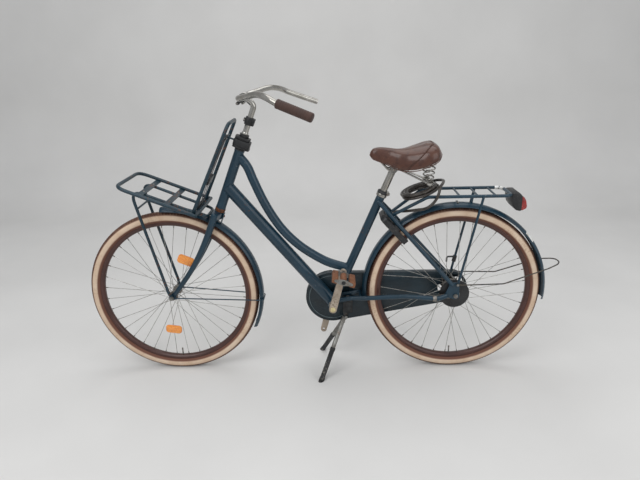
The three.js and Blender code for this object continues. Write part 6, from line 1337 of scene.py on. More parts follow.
dress(slab("guard_bracket", round_box((-0.007, 0.007), (bracket_low + 0.004, crown_top - 0.004), 0.004),
    bracket_back - 0.002, bracket_back + 0.002, on_crown, teal, soften=0.0006), "steering", "frame_paint",
    "front_mudguard")
dome = [(0, 0.0), (0.0052, 0.0), (0.0050, 0.0014), (0.0038, 0.0028), (0.0018, 0.0035), (0, 0.0037)]
dress(spun("crown_bolt", dome, steered(bracket_back + 0.002, 0, 0.396), back_way, rusty, 24), "steering",
    "rusty_steel")
loose_out = 0.0706
loose_start = from_rear(0.017, -(loose_out + 0.0025), eyelet_up)
loose_half = [loose_start, *[from_rear(share * 0.420, -out * loose_out, 0.356 + rise * 0.122)
    for share, out, rise in ((0.45, 0.91, 0.41), (0.86, 0.8, 0.9), (1, 0.4, 1))]]
dress(tube("loose_guard_wire", bent([*loose_half, *mirrored(loose_half)], 0.048, 12), 0.0025, guard_wire,
    14), "frame", "steel", "rear_mudguard_stay")
eyes = [slab("wire_eye", round_hull([(*eyelet, 0.006), (rear_axle.x + 0.0195, eyelet_up, 0.0025)]),
    side * loose_out, side * (loose_out + 0.002), upright, guard_wire, [circle(*eyelet, eyelet_hole, 16)],
    soften=0.0003) for side in (-1, 1)]
dress(merged("loose_guard_eyes", eyes), "frame", "steel", "rear_mudguard_stay")
rivet = spun("guard_rivet", dome, rear_axle + Vector((0, 0.012, guard_radius - 0.0006)), (0, 0.12, 1),
    bare_steel, 16)
dress(repeated("guard_rivets", rivet, 2, step=(0, -0.024, 0)), "frame", "steel")
sticker_white = new_finish("white_reflective_tape", "e9e8e3", 0.45)
tint(sticker_white, cells(sticker_white, 500.0, 0.2, 0.6), "d5d7d6", 0.35)
tint(sticker_white, (60.0, 0.5, 0.7), "b7b3a9", 0.7)
relief(sticker_white, cells(sticker_white, 500.0, 0.1, 0.5), 0.0001, 0.4)
tape_vertices = []


def crown_drop(share):
    """How far the guard's skin lies below its ridge at a share of its half width."""
    for low, high in zip(crown_shares, crown_shares[1:]):
        if abs(share) <= high[0]:
            return guard_depth * (low[1] + (high[1] - low[1]) * (abs(share) - low[0]) / (high[0] - low[0]))
    return guard_depth


for i in range(9):
    turn = math.radians(35.0 + 7.5 * i / 8)
    for across in range(9):
        share = -0.86 + 1.72 * across / 8
        radius = guard_radius - crown_drop(share) + 0.0005
        tape_vertices.append(rear_axle + Vector((radius * math.cos(turn), share * (guard_half + 0.0004),
            radius * math.sin(turn))))
tape_faces = [(9 * i + k, 9 * i + k + 1, 9 * i + k + 10, 9 * i + k + 9) for i in range(8)
    for k in range(8)]
tape = add_piece("guard_reflective_tape", tape_vertices, tape_faces, sticker_white)
wall = tape.modifiers.new("wall", "SOLIDIFY")
wall.thickness = 0.0004
wall.offset = 1.0
dress(tape, "frame", "frame_paint")

# Seat pillar: a chromed post clamped in the seat tube by a ring with a bolt; on top a rail
# clamp with two nuts, chromed rails and two conical coil springs under the saddle.
clamp_at = along_seat(0.614)
dress(spun("seat_collar", [(0.0173, seat_length - 0.022), (0.0213, seat_length - 0.022),
    (0.0213, seat_length - 0.0105), (0.0173, seat_length - 0.0105)], crank_axis, seat_way, chrome,
    soften=0.0008), "frame", "chrome", "seat_clamp")
dress(spun("seat_collar_ring", [(0.0173, seat_length - 0.0100), (0.0206, seat_length - 0.0100),
    (0.0213, seat_length - 0.0085), (0.0213, seat_length - 0.0010), (0.0206, seat_length),
    (0.0173, seat_length)], crank_axis, seat_way, black_plastic), "frame", "black_plastic", "seat_clamp")
lug_at = along_seat(seat_length - 0.011) + Vector((0.0213, 0, 0))
dress(spun("seat_collar_lug", two_ended([(0, -0.014), (0.007, -0.014), (0.008, -0.013)]), lug_at,
    side_way, chrome, 32), "frame", "chrome", "seat_clamp")
dress(spun("seat_collar_bolt", [(0, -0.0195), (0.0048, -0.0195), (0.0052, -0.0185), (0.0052, -0.0142),
    (0.003, -0.0142), (0.003, 0.0142), (0.0052, 0.0142), (0.0052, 0.0185), (0.0028, 0.0187),
    (0.0028, 0.021), (0, 0.021)], lug_at, side_way, bare_steel, 6), "frame", "steel")
dress(spun("seat_tube_gasket", pipe(0.0169, 0.0137, seat_length, seat_length + 0.0022), crank_axis,
    seat_way, black_plastic), "frame", "black_plastic")
dress(spun("seat_post_chromed", disc(0.0136, 0.408, 0.614), crank_axis, seat_way, chrome), "seat",
    "chrome", "seat_post")
dress(spun("seat_post_ring", pipe(0.01385, 0.013, 0.5935, 0.5965), crank_axis, seat_way, bare_steel),
    "seat", "steel")
dress(spun("rail_clamp", two_ended([(0, -0.025), (0.0115, -0.025), (0.013, -0.0235), (0.013, -0.0165),
    (0.0118, -0.0155)]), clamp_at, side_way, bare_steel), "seat", "steel", "seat_post")
for side, word in both_sides:
    dress(spun("rail_clamp_nut_" + word, [(0, 0.025), (0.0075, 0.025), (0.0075, 0.0305), (0.0064, 0.0318),
        (0.0035, 0.0318), (0.0035, 0.0345), (0, 0.0345)], clamp_at, side_way * side, bare_steel, 6,
        soften=0.0004), "seat", "steel")


def from_clamp(back, side, up):
    """A place measured from the rail clamp."""
    return clamp_at + Vector((back, side, up))


spring_back, spring_out = 0.135, 0.047
rails = []
for side in (-1, 1):
    corners = [from_clamp(-0.0542, side * 0.009, 0.0347), from_clamp(-0.0226, side * 0.020, 0),
        from_clamp(0.0226, side * 0.020, 0), from_clamp(spring_back, side * spring_out, -0.053)]
    rails.append(tube("rail", bent(corners, 0.014), 0.0035, chrome, 18))
rails.append(tube("rail_cross", [from_clamp(spring_back, side * spring_out, -0.053) for side in (-1, 1)],
    0.0035, chrome, 18))
dress(merged("saddle_rail_wires", rails), "seat", "chrome", "saddle_rails")
nose_low, nose_high = 0.0312, 0.0413
dress(slab("saddle_nose_bracket", round_box((-0.0577 + 0.002, -0.0437 - 0.002),
    (nose_low + 0.002, nose_high - 0.002), 0.002), -0.0125, 0.0125,
    lambda u, v, level: from_clamp(u, level, v), bare_steel, soften=0.0006), "seat", "steel",
    "saddle_rails")


def spring_tree():
    """A conical spring: a round wire wound along a spiral, in a box of named sizes."""
    tree, given, made = node_group("conical_spring", [
        ("Turns", "Float"), ("Low radius", "Float"), ("High radius", "Float"), ("Height", "Float"),
        ("Wire", "Float"), ("Place", "Vector"), ("Reversed", "Bool"), ("Finish", "Material")])
    value = given.outputs
    spiral = tree_node(tree, "GeometryNodeCurveSpiral", {
        "Resolution": 32, "Rotations": value["Turns"], "Start Radius": value["Low radius"],
        "End Radius": value["High radius"], "Height": value["Height"], "Reverse": value["Reversed"]})
    ring = tree_node(tree, "GeometryNodeCurvePrimitiveCircle", {"Resolution": 12, "Radius": value["Wire"]})
    wound = tree_node(tree, "GeometryNodeCurveToMesh", {
        "Curve": spiral, "Profile Curve": ring, "Fill Caps": True})
    put = tree_node(tree, "GeometryNodeTransform", {"Geometry": wound, "Translation": value["Place"]})
    return end_tree(tree, made, put, value["Finish"])


conical_spring = spring_tree()
for side, word in both_sides:
    low, high = -0.0457 + 0.003, 0.0330 - 0.0025
    spring = smooth(grown(f"saddle_spring_{word}_coil", conical_spring,
        {"Turns": 4.2, "Low radius": 0.0105, "High radius": 0.0200, "Height": high - low, "Wire": 0.0027,
        "Place": tuple(from_clamp(spring_back, side * spring_out, low)), "Reversed": side < 0,
        "Finish": chrome}, chrome), 60)
    outward(spring)
    dress(spring, "seat", "chrome", "saddle_spring_" + word)
    dress(spun("spring_seat_" + word, [(0, -0.0105), (0.011, -0.0105), (0.0145, -0.009), (0.016, -0.0045),
        (0.016, -0.0005), (0.0145, 0.0), (0.0125, -0.003), (0.004, -0.004), (0.004, 0.004), (0, 0.0045)],
        from_clamp(spring_back, side * spring_out, -0.046), (0, 0, 1), chrome, 40), "seat", "chrome",
        "saddle_rails")
    dress(spun("spring_top_" + word, [(0, 0.0), (0.021, 0.0), (0.0225, 0.0008), (0.0225, 0.0016),
        (0, 0.0016)], from_clamp(spring_back, side * spring_out, 0.0315), (0, 0, 1), bare_steel, 40),
        "seat", "steel")
    dress(spun("spring_bolt_" + word, [(0, -0.007), (0.005, -0.007), (0.006, -0.0055), (0.006, 0.0),
        (0, 0.0)], from_clamp(spring_back, side * spring_out, -0.0565), (0, 0, 1), bare_steel, 6,
        soften=0.0004), "seat", "steel")

# Saddle: a wide foam seat under brown imitation leather, with a long nose. A seam runs round
# the top panel between two rows of stitches, and the top has gone shiny from use.
saddle_brown = new_finish("saddle_leather", "4a2a1f", 0.4, 0.0, Coat_Weight=0.55, Coat_Roughness=0.13,
    Specular_IOR_Level=0.3)
tint(saddle_brown, (14.0, 0.35, 0.75), "573526", 0.42)
tint(saddle_brown, (45.0, 0.5, 0.72, 6.0), "3b2018", 0.46)
tint(saddle_brown, [(200.0, 0.58, 0.7), (18.0, 0.5, 0.65)], "6a4c3d", 0.6)
relief(saddle_brown, cells(saddle_brown, 480.0, 0.0, 0.6), 0.0003, 0.25)
relief(saddle_brown, (22.0, 0.3, 0.7, 2.0), 0.0008, 0.15)
thread = new_finish("saddle_thread", "3a241c", 0.75)
tint(thread, (300.0, 0.4, 0.6), "5a3c30", 0.8)
relief(thread, (900.0, 0.3, 0.7), 0.0003, 0.4)
saddle_length, saddle_half, saddle_high, saddle_back = 0.271, 0.092, 0.104, 0.180
stations = [(0, 0.1, 0.64, 0.5), (0.03, 0.18, 0.74, 0.42), (0.09, 0.22, 0.8, 0.35),
    (0.17, 0.24, 0.81, 0.27), (0.3, 0.33, 0.77, 0.13), (0.4, 0.49, 0.74, 0.03), (0.5, 0.72, 0.76, 0.02),
    (0.66, 0.94, 0.88, 0.09), (0.82, 1.0, 0.985, 0.27), (0.94, 0.86, 0.89, 0.41), (1, 0.58, 0.64, 0.53)]


def station_at(along):
    """The saddle's half width, top and skirt edge at a share of its length, on smooth lines."""
    i = max(k for k in range(len(stations) - 1) if stations[k][0] <= along)
    low, high = stations[i], stations[i + 1]
    before, after = stations[max(i - 1, 0)], stations[min(i + 2, len(stations) - 1)]
    span = high[0] - low[0]
    t = (along - low[0]) / span
    values = []
    for a, b, c, d in zip(before[1:], low[1:], high[1:], after[1:]):
        leave = (c - a) / (high[0] - before[0]) * span
        reach = (d - b) / (after[0] - low[0]) * span
        values.append(b * (2 * t**3 - 3 * t**2 + 1) + leave * (t**3 - 2 * t**2 + t) + c
            * (3 * t**2 - 2 * t**3) + reach * (t**3 - t**2))
    return values


def crown_at(share):
    """How far across and how high a place on the saddle's section is."""
    turn = math.pi * (share - 0.5)
    across = math.sin(turn)
    squared = math.copysign(abs(across) ** 0.86, across)
    up = max(0.0, math.cos(turn)) ** 0.62
    return squared, up


def saddle_skin():
    """Rings of points over the saddle's top and sides, from nose to tail."""
    rings = []
    count = 56
    for k in range(count + 1):
        t = k / count
        along = 0.5 - 0.5 * math.cos(math.pi * t)
        half, top, skirt = station_at(along)
        edge = min(along / 0.05, (1 - along) / 0.10, 1.0)
        closing = math.sqrt(max(0.0, 1 - (1 - edge) ** 2))
        x = saddle_back - saddle_length * (1 - along)
        middle = skirt + (top - skirt) * 0.5
        ring = []
        for i in range(33):
            across, up = crown_at(i / 32)
            groove = 0.03 * math.exp(-(across / 0.16) ** 2) * max(0.0, 1 - ((along - 0.8) / 0.24) ** 2)
            z = skirt + (top - skirt) * (up - groove)
            ring.append((x, across * half * saddle_half * (0.35 + 0.65 * closing),
                (middle + (z - middle) * (0.45 + 0.55 * closing)) * saddle_high))
        rings.append(ring)
    return rings


rings = saddle_skin()
rows = len(rings[0])
vertices = [from_clamp(*point) for ring in rings for point in ring]
faces = [(k * rows + i, k * rows + i + 1, (k + 1) * rows + i + 1, (k + 1) * rows + i)
    for k in range(len(rings) - 1) for i in range(rows - 1)]
under_start = len(vertices)
for ring in rings:
    half = (ring[-1][1] - ring[0][1]) / 2
    for i in range(9):
        share = -0.86 + 1.72 * i / 8
        hollow = 0.45 * (1 - (share / 0.9) ** 2)
        lift = max(0.004,
            min(0.32 * saddle_high - ring[0][2], 0.05)) if ring[0][2] < 0.3 * saddle_high else 0.004
        vertices.append(from_clamp(ring[0][0], share * half, ring[0][2] + lift * min(1.0, 4 * hollow)))
for k in range(len(rings) - 1):
    a, b = under_start + 9 * k, under_start + 9 * (k + 1)
    faces += [(a + i + 1, a + i, b + i, b + i + 1) for i in range(8)]
    faces.append((a, k * rows, (k + 1) * rows, b))
    faces.append((k * rows + rows - 1, a + 8, b + 8, (k + 1) * rows + rows - 1))
for k, flip in ((0, False), (len(rings) - 1, True)):
    loop = [k * rows + i for i in range(rows)] + [under_start + 9 * k + i for i in reversed(range(9))]
    faces.append(tuple(reversed(loop)) if not flip else tuple(loop))
saddle = add_piece("saddle_cover", vertices, faces, saddle_brown, sharp=75)
outward(saddle)
rounding = saddle.modifiers.new("rounding", "SUBSURF")
rounding.levels = 1
rounding.render_levels = 1
dress(saddle, "seat", "saddle_leather", "saddle")


def on_saddle(along, share, out):
    """A place on the saddle's cover, a little proud of it."""
    spot = math.acos(1 - 2 * along) / math.pi * (len(rings) - 1)
    k, i = min(int(spot), len(rings) - 2), min(int(share * 32), 31)
    a, b = spot - k, share * 32 - i
    corners = [Vector(rings[k + m][i + n]) for m in (0, 1) for n in (0, 1)]
    place = (corners[0] * (1 - b) + corners[1] * b) * (1 - a) + (corners[2] * (1 - b) + corners[3] * b) * a
    normal = (corners[2] - corners[0]).cross(corners[1] - corners[0]).normalized()
    if normal.z < 0 and abs(normal.z) > 0.05 or (abs(normal.z) <= 0.05 and normal.y * place.y < 0):
        normal.negate()
    return from_clamp(*(place + normal * out))


seam_shares = through([Vector((along, share, 0)) for along, share in (
    (0.52, 0.012), (0.6, 0.07), (0.7, 0.15), (0.79, 0.26), (0.855, 0.38), (0.875, 0.5))], 8)
seam_half = [on_saddle(point.x, point.y, 0.0003) for point in seam_shares]
seam_line = [*seam_half, *mirrored(seam_half)[1:]]
dress(tube("saddle_seam_cord", seam_line, 0.0013, saddle_brown, 8), "seat", "saddle_leather", "saddle")
welt = [from_clamp(ring[0][0], ring[0][1], ring[0][2] - 0.0002) for ring in rings]
welt += [from_clamp(ring[-1][0], ring[-1][1], ring[-1][2] - 0.0002) for ring in reversed(rings)]
dress(tube("saddle_edge_piping", [*welt, welt[0]], 0.0017, saddle_brown, 10), "seat", "saddle_leather",
    "saddle")


def stitches_tree():
    """Short stitches at even steps along a line, each laid along it."""
    tree, given, made = node_group("stitches", [
        ("Step", "Float"), ("Length", "Float"), ("Thread", "Float"), ("Finish", "Material")])
    value = given.outputs
    curve = tree_node(tree, "GeometryNodeMeshToCurve", {"Mesh": value["Geometry"]})
    points = tree_node(tree, "GeometryNodeCurveToPoints", {"Curve": curve, "Length": value["Step"]},
        mode="LENGTH")
    sewn = rods_along(tree, points, unit_rod(tree, 6), points.node.outputs["Tangent"], value["Thread"],
        value["Length"])
    return end_tree(tree, made, sewn, value["Finish"])


def line_base(name, points):
    """A bare line of edges for a tree to follow."""
    mesh = bpy.data.meshes.new(name)
    mesh.from_pydata([tuple(point) for point in points], [(i, i + 1) for i in range(len(points) - 1)], [])
    return placed(name, mesh)


stitches = stitches_tree()
for word, away in (("front", -0.013), ("rear", 0.013)):
    row = [on_saddle(point.x + away, point.y, 0.0004) for point in seam_shares]
    base = line_base("stitch_line", [*row, *mirrored(row)[1:]])
    dress(smooth(grown("saddle_stitches_" + word, stitches, {"Step": 0.0052, "Length": 0.0034,
        "Thread": 0.0006, "Finish": thread}, thread, base)), "seat", "saddle_leather")

# Rear carrier: a bent steel tube loop with cross bars, a strut and two legs, painted with the
# frame. Two white reflective bands are on its far rear bend and a black hook on its far leg.
rack_rail, rack_high, rack_half = 0.0065, 0.771, 0.068
back_axis = Vector((1, 0, 0))
loop_half = [from_rear(-0.2531, -0.025, 0.6911), from_rear(-0.128, -rack_half, rack_high),
    from_rear(0.190, -rack_half, rack_high)]
rack = [tube("rack_loop", bent([*loop_half, *mirrored(loop_half)], 0.030), rack_rail, teal, 20)]
for back in (-0.006, 0.062, 0.130):
    rack.append(tube("rack_bar", [from_rear(back, -rack_half, rack_high),
        from_rear(back, rack_half, rack_high)], 0.004, teal, 16))
strut_top = from_rear(0.062, 0, rack_high)
strut_way = (strut_top - rear_axle).normalized()
rack.append(tube("rack_strut", [rear_axle + strut_way * (guard_radius + 0.0003), strut_top], 0.004, teal,
    16))
leg_foot, leg_top, leg_out = Vector((eyelet[0], 0, eyelet_up)), from_rear(0.082, 0, rack_high), 0.0723
leg_way = (leg_top - leg_foot).normalized()
for side in (-1, 1):
    low = leg_foot + leg_way * 0.014
    rack.append(tube("rack_leg", [Vector((low.x, side * leg_out, low.z)),
        Vector((leg_top.x, side * leg_out, leg_top.z))], 0.005, teal, 16))
    rack.append(slab("rack_tab", round_hull([(leg_foot.x, leg_foot.z, 0.007), (low.x, low.z, 0.005)]),
        side * 0.0673, side * 0.0703, upright, teal, [circle(*eyelet, eyelet_hole, 16)], soften=0.0005))
dress(merged("rear_carrier_tubes", rack), "frame", "frame_paint", "rear_carrier")
joins = []
for back in (-0.006, 0.062, 0.130):
    for side in (-1, 1):
        joins.append(weld("rack_weld", from_rear(back, 0, rack_high), side_way * side, 0.004,
            from_rear(back, side * rack_half, rack_high), back_axis, rack_rail, 0.0011))
dress(merged("rear_carrier_welds", joins), "frame", "frame_paint")
for side, word in both_sides:
    dress(spun("rack_screw_" + word, [(0, 0.0), (0.0052, 0.0), (0.0052, 0.003), (0.0035, 0.0036),
        (0.002, 0.0030), (0, 0.0028)], Vector((leg_foot.x, side * 0.0726, leg_foot.z)), side_way * side,
        bare_steel, 6, soften=0.0003), "frame", "steel")
band_bend = 0.030
for word, turn_from, turn_to in (("front", 92.0, 58.0), ("rear", 48.0, 8.0)):
    band_line = []
    for step in range(9):
        turn = math.radians(turn_from + (turn_to - turn_from) * step / 8)
        band_line.append(from_rear(0.190 - band_bend + band_bend * math.cos(turn), rack_half - band_bend
            + band_bend * math.sin(turn), rack_high))
    dress(tube("rack_band_" + word, band_line, rack_rail + 0.0006, sticker_white, 20), "frame",
        "frame_paint")
hook_foot = leg_foot + leg_way * 0.068
hook_at = Vector((hook_foot.x, leg_out, hook_foot.z))
dress(tube("rack_hook", bent([hook_at + Vector((0.002, 0, 0.002)), hook_at + Vector((-0.033, 0, 0.001)),
    hook_at + Vector((-0.034, 0, -0.021))], 0.007), 0.0036, black_plastic, 12), "frame", "black_plastic")
dress(spun("rack_hook_band", pipe(0.0085, 0.0049, -0.020, 0.006), hook_at, leg_way, black_plastic),
    "frame", "black_plastic")

# Rear light: a black moulded box bolted to the carrier's end, with a gasket and a wedge-shaped
# red lens of small cells on its rear face.
lamp_red = new_finish("red_lens", "9c1a16", 0.16, 0.0, Coat_Weight=0.6, Coat_Roughness=0.08)
tint(lamp_red, (60.0, 0.4, 0.7), "7d1410", 0.25)
tint(lamp_red, [(200.0, 0.56, 0.7), (25.0, 0.5, 0.62)], "b06a60", 0.5)
relief(lamp_red, cells(lamp_red, 330.0, 0.0, 0.5), 0.0008, 0.5)
lamp_back = 0.1968
lamp_x = rear_axle.x + lamp_back
lamp_side = [(0.0, 0.746), (0.0, 0.771), (0.004, 0.7755), (0.028, 0.7755), (0.038, 0.7655),
    (0.038, 0.7045), (0.034, 0.7035), (0.018, 0.7075), (0.006, 0.724)]
dress(slab("rear_light_box", [(lamp_x + u, v) for u, v in lamp_side], -0.048, 0.048, upright,
    black_plastic, soften=0.005), "frame", "black_plastic", "rear_light_housing")
lens_side = [(0.0384, 0.7615), (0.0384, 0.7075), (0.044, 0.7058), (0.0585, 0.7135), (0.0600, 0.7225),
    (0.0560, 0.7430), (0.0480, 0.7580)]
dress(slab("rear_light_cover", [(lamp_x + u, v) for u, v in lens_side], -0.0465, 0.0465, upright,
    lamp_red, soften=0.004), "frame", "red_plastic", "rear_light_lens")
dress(slab("rear_light_gasket", [(lamp_x + 0.0365, 0.7640), (lamp_x + 0.0365, 0.7055),
    (lamp_x + 0.0392, 0.7055), (lamp_x + 0.0392, 0.7640)], -0.0474, 0.0474, upright, black_plastic,
    soften=0.0006), "frame", "black_plastic")
for side, word in both_sides:
    dress(spun("rear_light_nut_" + word, [(0, 0.0), (0.0048, 0.0), (0.0048, 0.0034), (0.0026, 0.0034),
        (0.0026, 0.0064), (0, 0.0064)], from_rear(lamp_back, side * 0.025, 0.757), -back_axis, bare_steel,
        6, soften=0.0003), "frame", "steel")

# Ring lock: a black moulded horseshoe clamped to the seat stays. A steel shackle slides in its
# channel; the key barrel is in its right arm and the shackle's lever comes out of the left one.
lock_turn = math.radians(132.0)
lock_up = Vector((math.cos(lock_turn), 0, math.sin(lock_turn)))
lock_back = lock_up.cross(side_way)
lock_centre = rear_axle + lock_up * 0.338
lock_black = new_finish("lock_moulding", "151618", 0.4)
tint(lock_black, (35.0, 0.4, 0.7), "212326", 0.55)
tint(lock_black, [(240.0, 0.56, 0.68), (22.0, 0.46, 0.6)], "4c4a46", 0.8)
relief(lock_black, (700.0, 0.3, 0.7), 0.0003, 0.4)


def on_lock(across, up, out):
    """A place in the lock's own frame."""
    return lock_centre + across * side_way + up * lock_up + out * lock_back


dress(cad_shape("ring_lock_shell", "ring_lock_body", lock_black, soften=0.0016), "frame", "black_plastic",
    "ring_lock_body")
lock_arc = 0.054
start = math.acos(0.034 / lock_arc) + math.radians(3)
bar = []
for k in range(53):
    turn = start + math.radians(130) * k / 52
    bar.append(on_lock(-lock_arc * math.sin(turn), -lock_arc * math.cos(turn), 0))
dress(tube("ring_lock_bar", bar, 0.0045, chrome, 20), "lock_shackle", "chrome", "ring_lock_shackle")
lever_turn = start + math.radians(127)
lever_out = Vector((-math.sin(lever_turn), 0, -math.cos(lever_turn)))
lever_at = on_lock(lock_arc * lever_out.x, lock_arc * lever_out.z, 0)
dress(tube("ring_lock_lever_stem", [lever_at, lever_at + lock_back * 0.019], 0.0028, bare_steel, 14),
    "lock_shackle", "steel", "ring_lock_shackle")
cap_line = [lever_at + lock_back * out for out in (0.0125, 0.0135, 0.0185, 0.0205, 0.021)]
dress(tube("ring_lock_lever_cap", cap_line, [0.0032, 0.0045, 0.0048, 0.0042, 0.0025], lock_black, 18),
    "lock_shackle", "black_plastic", "ring_lock_shackle")
key_at = on_lock(0.034, 0.052, 0.011)
dress(spun("ring_lock_barrel", [(0.0015, 0), (0.0095, 0), (0.0095, 0.0022), (0.0085, 0.003),
    (0.0062, 0.003), (0.0058, 0.0022), (0.0015, 0.0022)], key_at, lock_back, chrome), "frame", "chrome")
# The keyhole is a thin black slot laid on the barrel's face: painted shade for its dark opening.
dress(slab("ring_lock_keyhole", round_box((0,), (-0.0035, 0.0035), 0.0007, 12), 0.0018, 0.00245,
    lambda u, v, level: key_at + u * side_way + v * lock_up + level * lock_back, black_plastic), "frame",
    "black_plastic")
for side, word in both_sides:
    dress(spun("ring_lock_screw_" + word, [(0, 0), (0.0042, 0), (0.0044, 0.0006), (0.0036, 0.0026),
        (0.0018, 0.0026), (0.0016, 0.0010), (0, 0.0010)], on_lock(side * 0.0555, -0.012, 0.011),
        lock_back, bare_steel, 24), "frame", "steel")

# Cranks and chainwheel: forged steel arms with a dull zinc skin, pressed on a tapered axle
# under pale dust caps. The toothed wheels turn inside the chain case.
forged = new_finish("forged_crank", "b3a697", 0.38, 0.55)
tint(forged, (30.0, 0.35, 0.7), "998a7b", 0.5)
tint(forged, [(180.0, 0.52, 0.68), (16.0, 0.45, 0.6)], "6a5b4b", 0.8, 0.2)
relief(forged, (300.0, 0.3, 0.7), 0.0004, 0.3)
cap_beige = new_finish("dust_cap", "cfc193", 0.5)
tint(cap_beige, (50.0, 0.45, 0.7), "a3976f", 0.65)
relief(cap_beige, (300.0, 0.3, 0.7), 0.0003, 0.3)
greased = new_finish("greased_steel", "4a4845", 0.38, 0.8)
tint(greased, (60.0, 0.4, 0.65), "26231f", 0.55, 0.3)
relief(greased, (300.0, 0.3, 0.7), 0.0003, 0.3)
crank_length = 0.170
crank_turn = math.radians(75)
crank_way = Vector((math.cos(crank_turn), 0, math.sin(crank_turn)))
dress(spun("crank_axle", two_ended([(0, -0.078), (0.0075, -0.078), (0.0085, -0.075)]), crank_axis,
    side_way, greased), "cranks", "steel", "crank_spindle")


def crank_arm(name, side, way, eye_hole):
    """A forged arm that narrows from its boss to its eye."""
    far = crank_axis + way * crank_length
    discs = [(crank_axis.x, crank_axis.z, 0.016), (far.x, far.z, 0.013)]
    holes = [circle(far.x, far.z, eye_hole)] if eye_hole else []
    return slab(name, round_hull(discs), side * 0.064, side * 0.076, upright, forged, holes, soften=0.0024)


left_arm = crank_arm("crank_arm_left", -1, crank_way, 0)
boss = spun("crank_boss_left", [(0, 0.062), (0.015, 0.062), (0.016, 0.063), (0.016, 0.0775),
    (0.0145, 0.079), (0.0118, 0.0792), (0.0112, 0.0782), (0, 0.0782)], crank_axis, -side_way, forged)
eye_at = crank_axis + crank_way * crank_length
pedal_axle = spun("pedal_axle", [(0, 0.068), (0.0045, 0.068), (0.0045, 0.0765), (0.0075, 0.0765),
    (0.0075, 0.0815), (0.0062, 0.0825), (0.0045, 0.0835), (0.0045, 0.171), (0, 0.171)], eye_at, -side_way,
    greased)
dress(left_arm, "cranks", "steel", "crank_left")
dress(boss, "cranks", "steel", "crank_left")
dress(pedal_axle, "cranks", "steel", "crank_left")
dress(spun("crank_dust_cap_left", [(0, 0.0784), (0.0108, 0.0784), (0.0108, 0.0796), (0.0098, 0.0806),
    (0.004, 0.0812), (0, 0.0813)], crank_axis, -side_way, cap_beige), "cranks", "steel")
right_arm = crank_arm("crank_arm_right", 1, -crank_way, 0.006)
sleeve = spun("crank_boss_right", [(0, 0.045), (0.016, 0.045), (0.016, 0.077), (0.0145, 0.078),
    (0, 0.078)], crank_axis, side_way, forged)
cap = spun("crank_dust_cap_right", [(0, 0.0781), (0.0108, 0.0781), (0.0108, 0.0791), (0.0098, 0.0800),
    (0, 0.0806)], crank_axis, side_way, cap_beige)
dress(right_arm, "cranks", "steel", "crank_right")
dress(sleeve, "cranks", "steel", "crank_right")
dress(cap, "cranks", "steel")


def chainwheel(name, centre, teeth, root, tip, low, high, windows):
    """A toothed wheel with round windows in its web."""
    outline = []
    for k in range(teeth):
        for share, radius in ((0.0, root), (0.2, root + 0.0004), (0.38, (root + tip) / 2 + 0.0006),
                (0.47, tip), (0.53, tip), (0.62, (root + tip) / 2 + 0.0006), (0.8, root + 0.0004)):
            turn = 2 * math.pi * (k + share) / teeth
            outline.append((centre.x + radius * math.cos(turn), centre.z + radius * math.sin(turn)))
    holes = []
    for k in range(windows):
        turn = 2 * math.pi * (k + 0.5) / windows
        middle = (root + 0.016) / 2
        holes.append(circle(centre.x + middle * math.cos(turn), centre.z + middle * math.sin(turn),
            (root - 0.016) * 0.28, 24))
    return slab(name, outline, low, high, upright, greased, holes, soften=0.0003)


ring = chainwheel("chainwheel", crank_axis, 38, 0.0739, 0.0799, 0.0438, 0.0462, 5)
dress(ring, "cranks", "steel", "crank_right")
small = chainwheel("rear_chainwheel", rear_axle, 19, 0.0356, 0.0416, 0.0438, 0.0462, 0)
dress(small, "sprocket", "steel", "rear_sprocket")
dress(spun("rear_chainwheel_sleeve", pipe(0.016, 0.0085, 0.0398, 0.0578), rear_axle, side_way, greased),
    "sprocket", "steel", "rear_sprocket")

# Chain case: two vinyl covers stretched over a wire frame and closed round the chain, dark
# blue and dusty, with a pale welt round its front disc.
vinyl = new_finish("chain_case_vinyl", "0b1920", 0.38, 0.0, Coat_Weight=0.2, Coat_Roughness=0.22,
    Specular_IOR_Level=0.4)
tint(vinyl, (9.0, 0.35, 0.7), "152c36", 0.48)
tint(vinyl, [(170.0, 0.56, 0.72), (12.0, 0.5, 0.66)], "4a524f", 0.75)
tint(vinyl, (60.0, 0.66, 0.74, 7.0), "2a383d", 0.6)
relief(vinyl, (14.0, 0.3, 0.7, 2.0, (1, 1, 2.2)), 0.006, 0.45)
relief(vinyl, (600.0, 0.3, 0.7), 0.0002, 0.25)
welt_grey = new_finish("case_welt", "69767a", 0.5)
tint(welt_grey, (40.0, 0.4, 0.7), "4c5c60", 0.65)
relief(welt_grey, (400.0, 0.3, 0.7), 0.0002, 0.3)
dress(cad_shape("chain_case_covers", "chain_case", vinyl, sharp=40, soften=0.0006), "frame", "case_vinyl",
    "chain_case")
case_middle = from_rear(-0.500, 0.0302, 0.312)
case_discs = [(case_middle.x, case_middle.z, 0.112), (rear_axle.x, 0.356, 0.066)]
rounds = [(u, v, radius - 0.0012) for u, v, radius in case_discs]
for word, level in (("inner", 0.0312), ("outer", 0.0598)):
    outline = [Vector((u, level, v)) for u, v in round_hull(rounds, 96)]
    if word == "outer":
        outline = [point for point in outline if not (point.x > rear_axle.x - 0.073
            and abs(point.z - rear_axle.z) < 0.033)]
        gap = max(range(len(outline)), key=lambda i: (outline[i] - outline[i - 1]).length)
        outline = [*outline[gap:], *outline[:gap]]
    else:
        outline.append(outline[0])
    dress(tube("chain_case_seam_" + word, outline, 0.0019, vinyl, 10), "frame", "case_vinyl", "chain_case")
welt_turns = [math.radians(degrees) for degrees in range(40, 322, 3)]
dress(tube("chain_case_welt", [case_middle + 0.098 * Vector((math.cos(turn), 0, math.sin(turn)))
    for turn in welt_turns], 0.0014, welt_grey, 8), "frame", "case_vinyl", "chain_case")

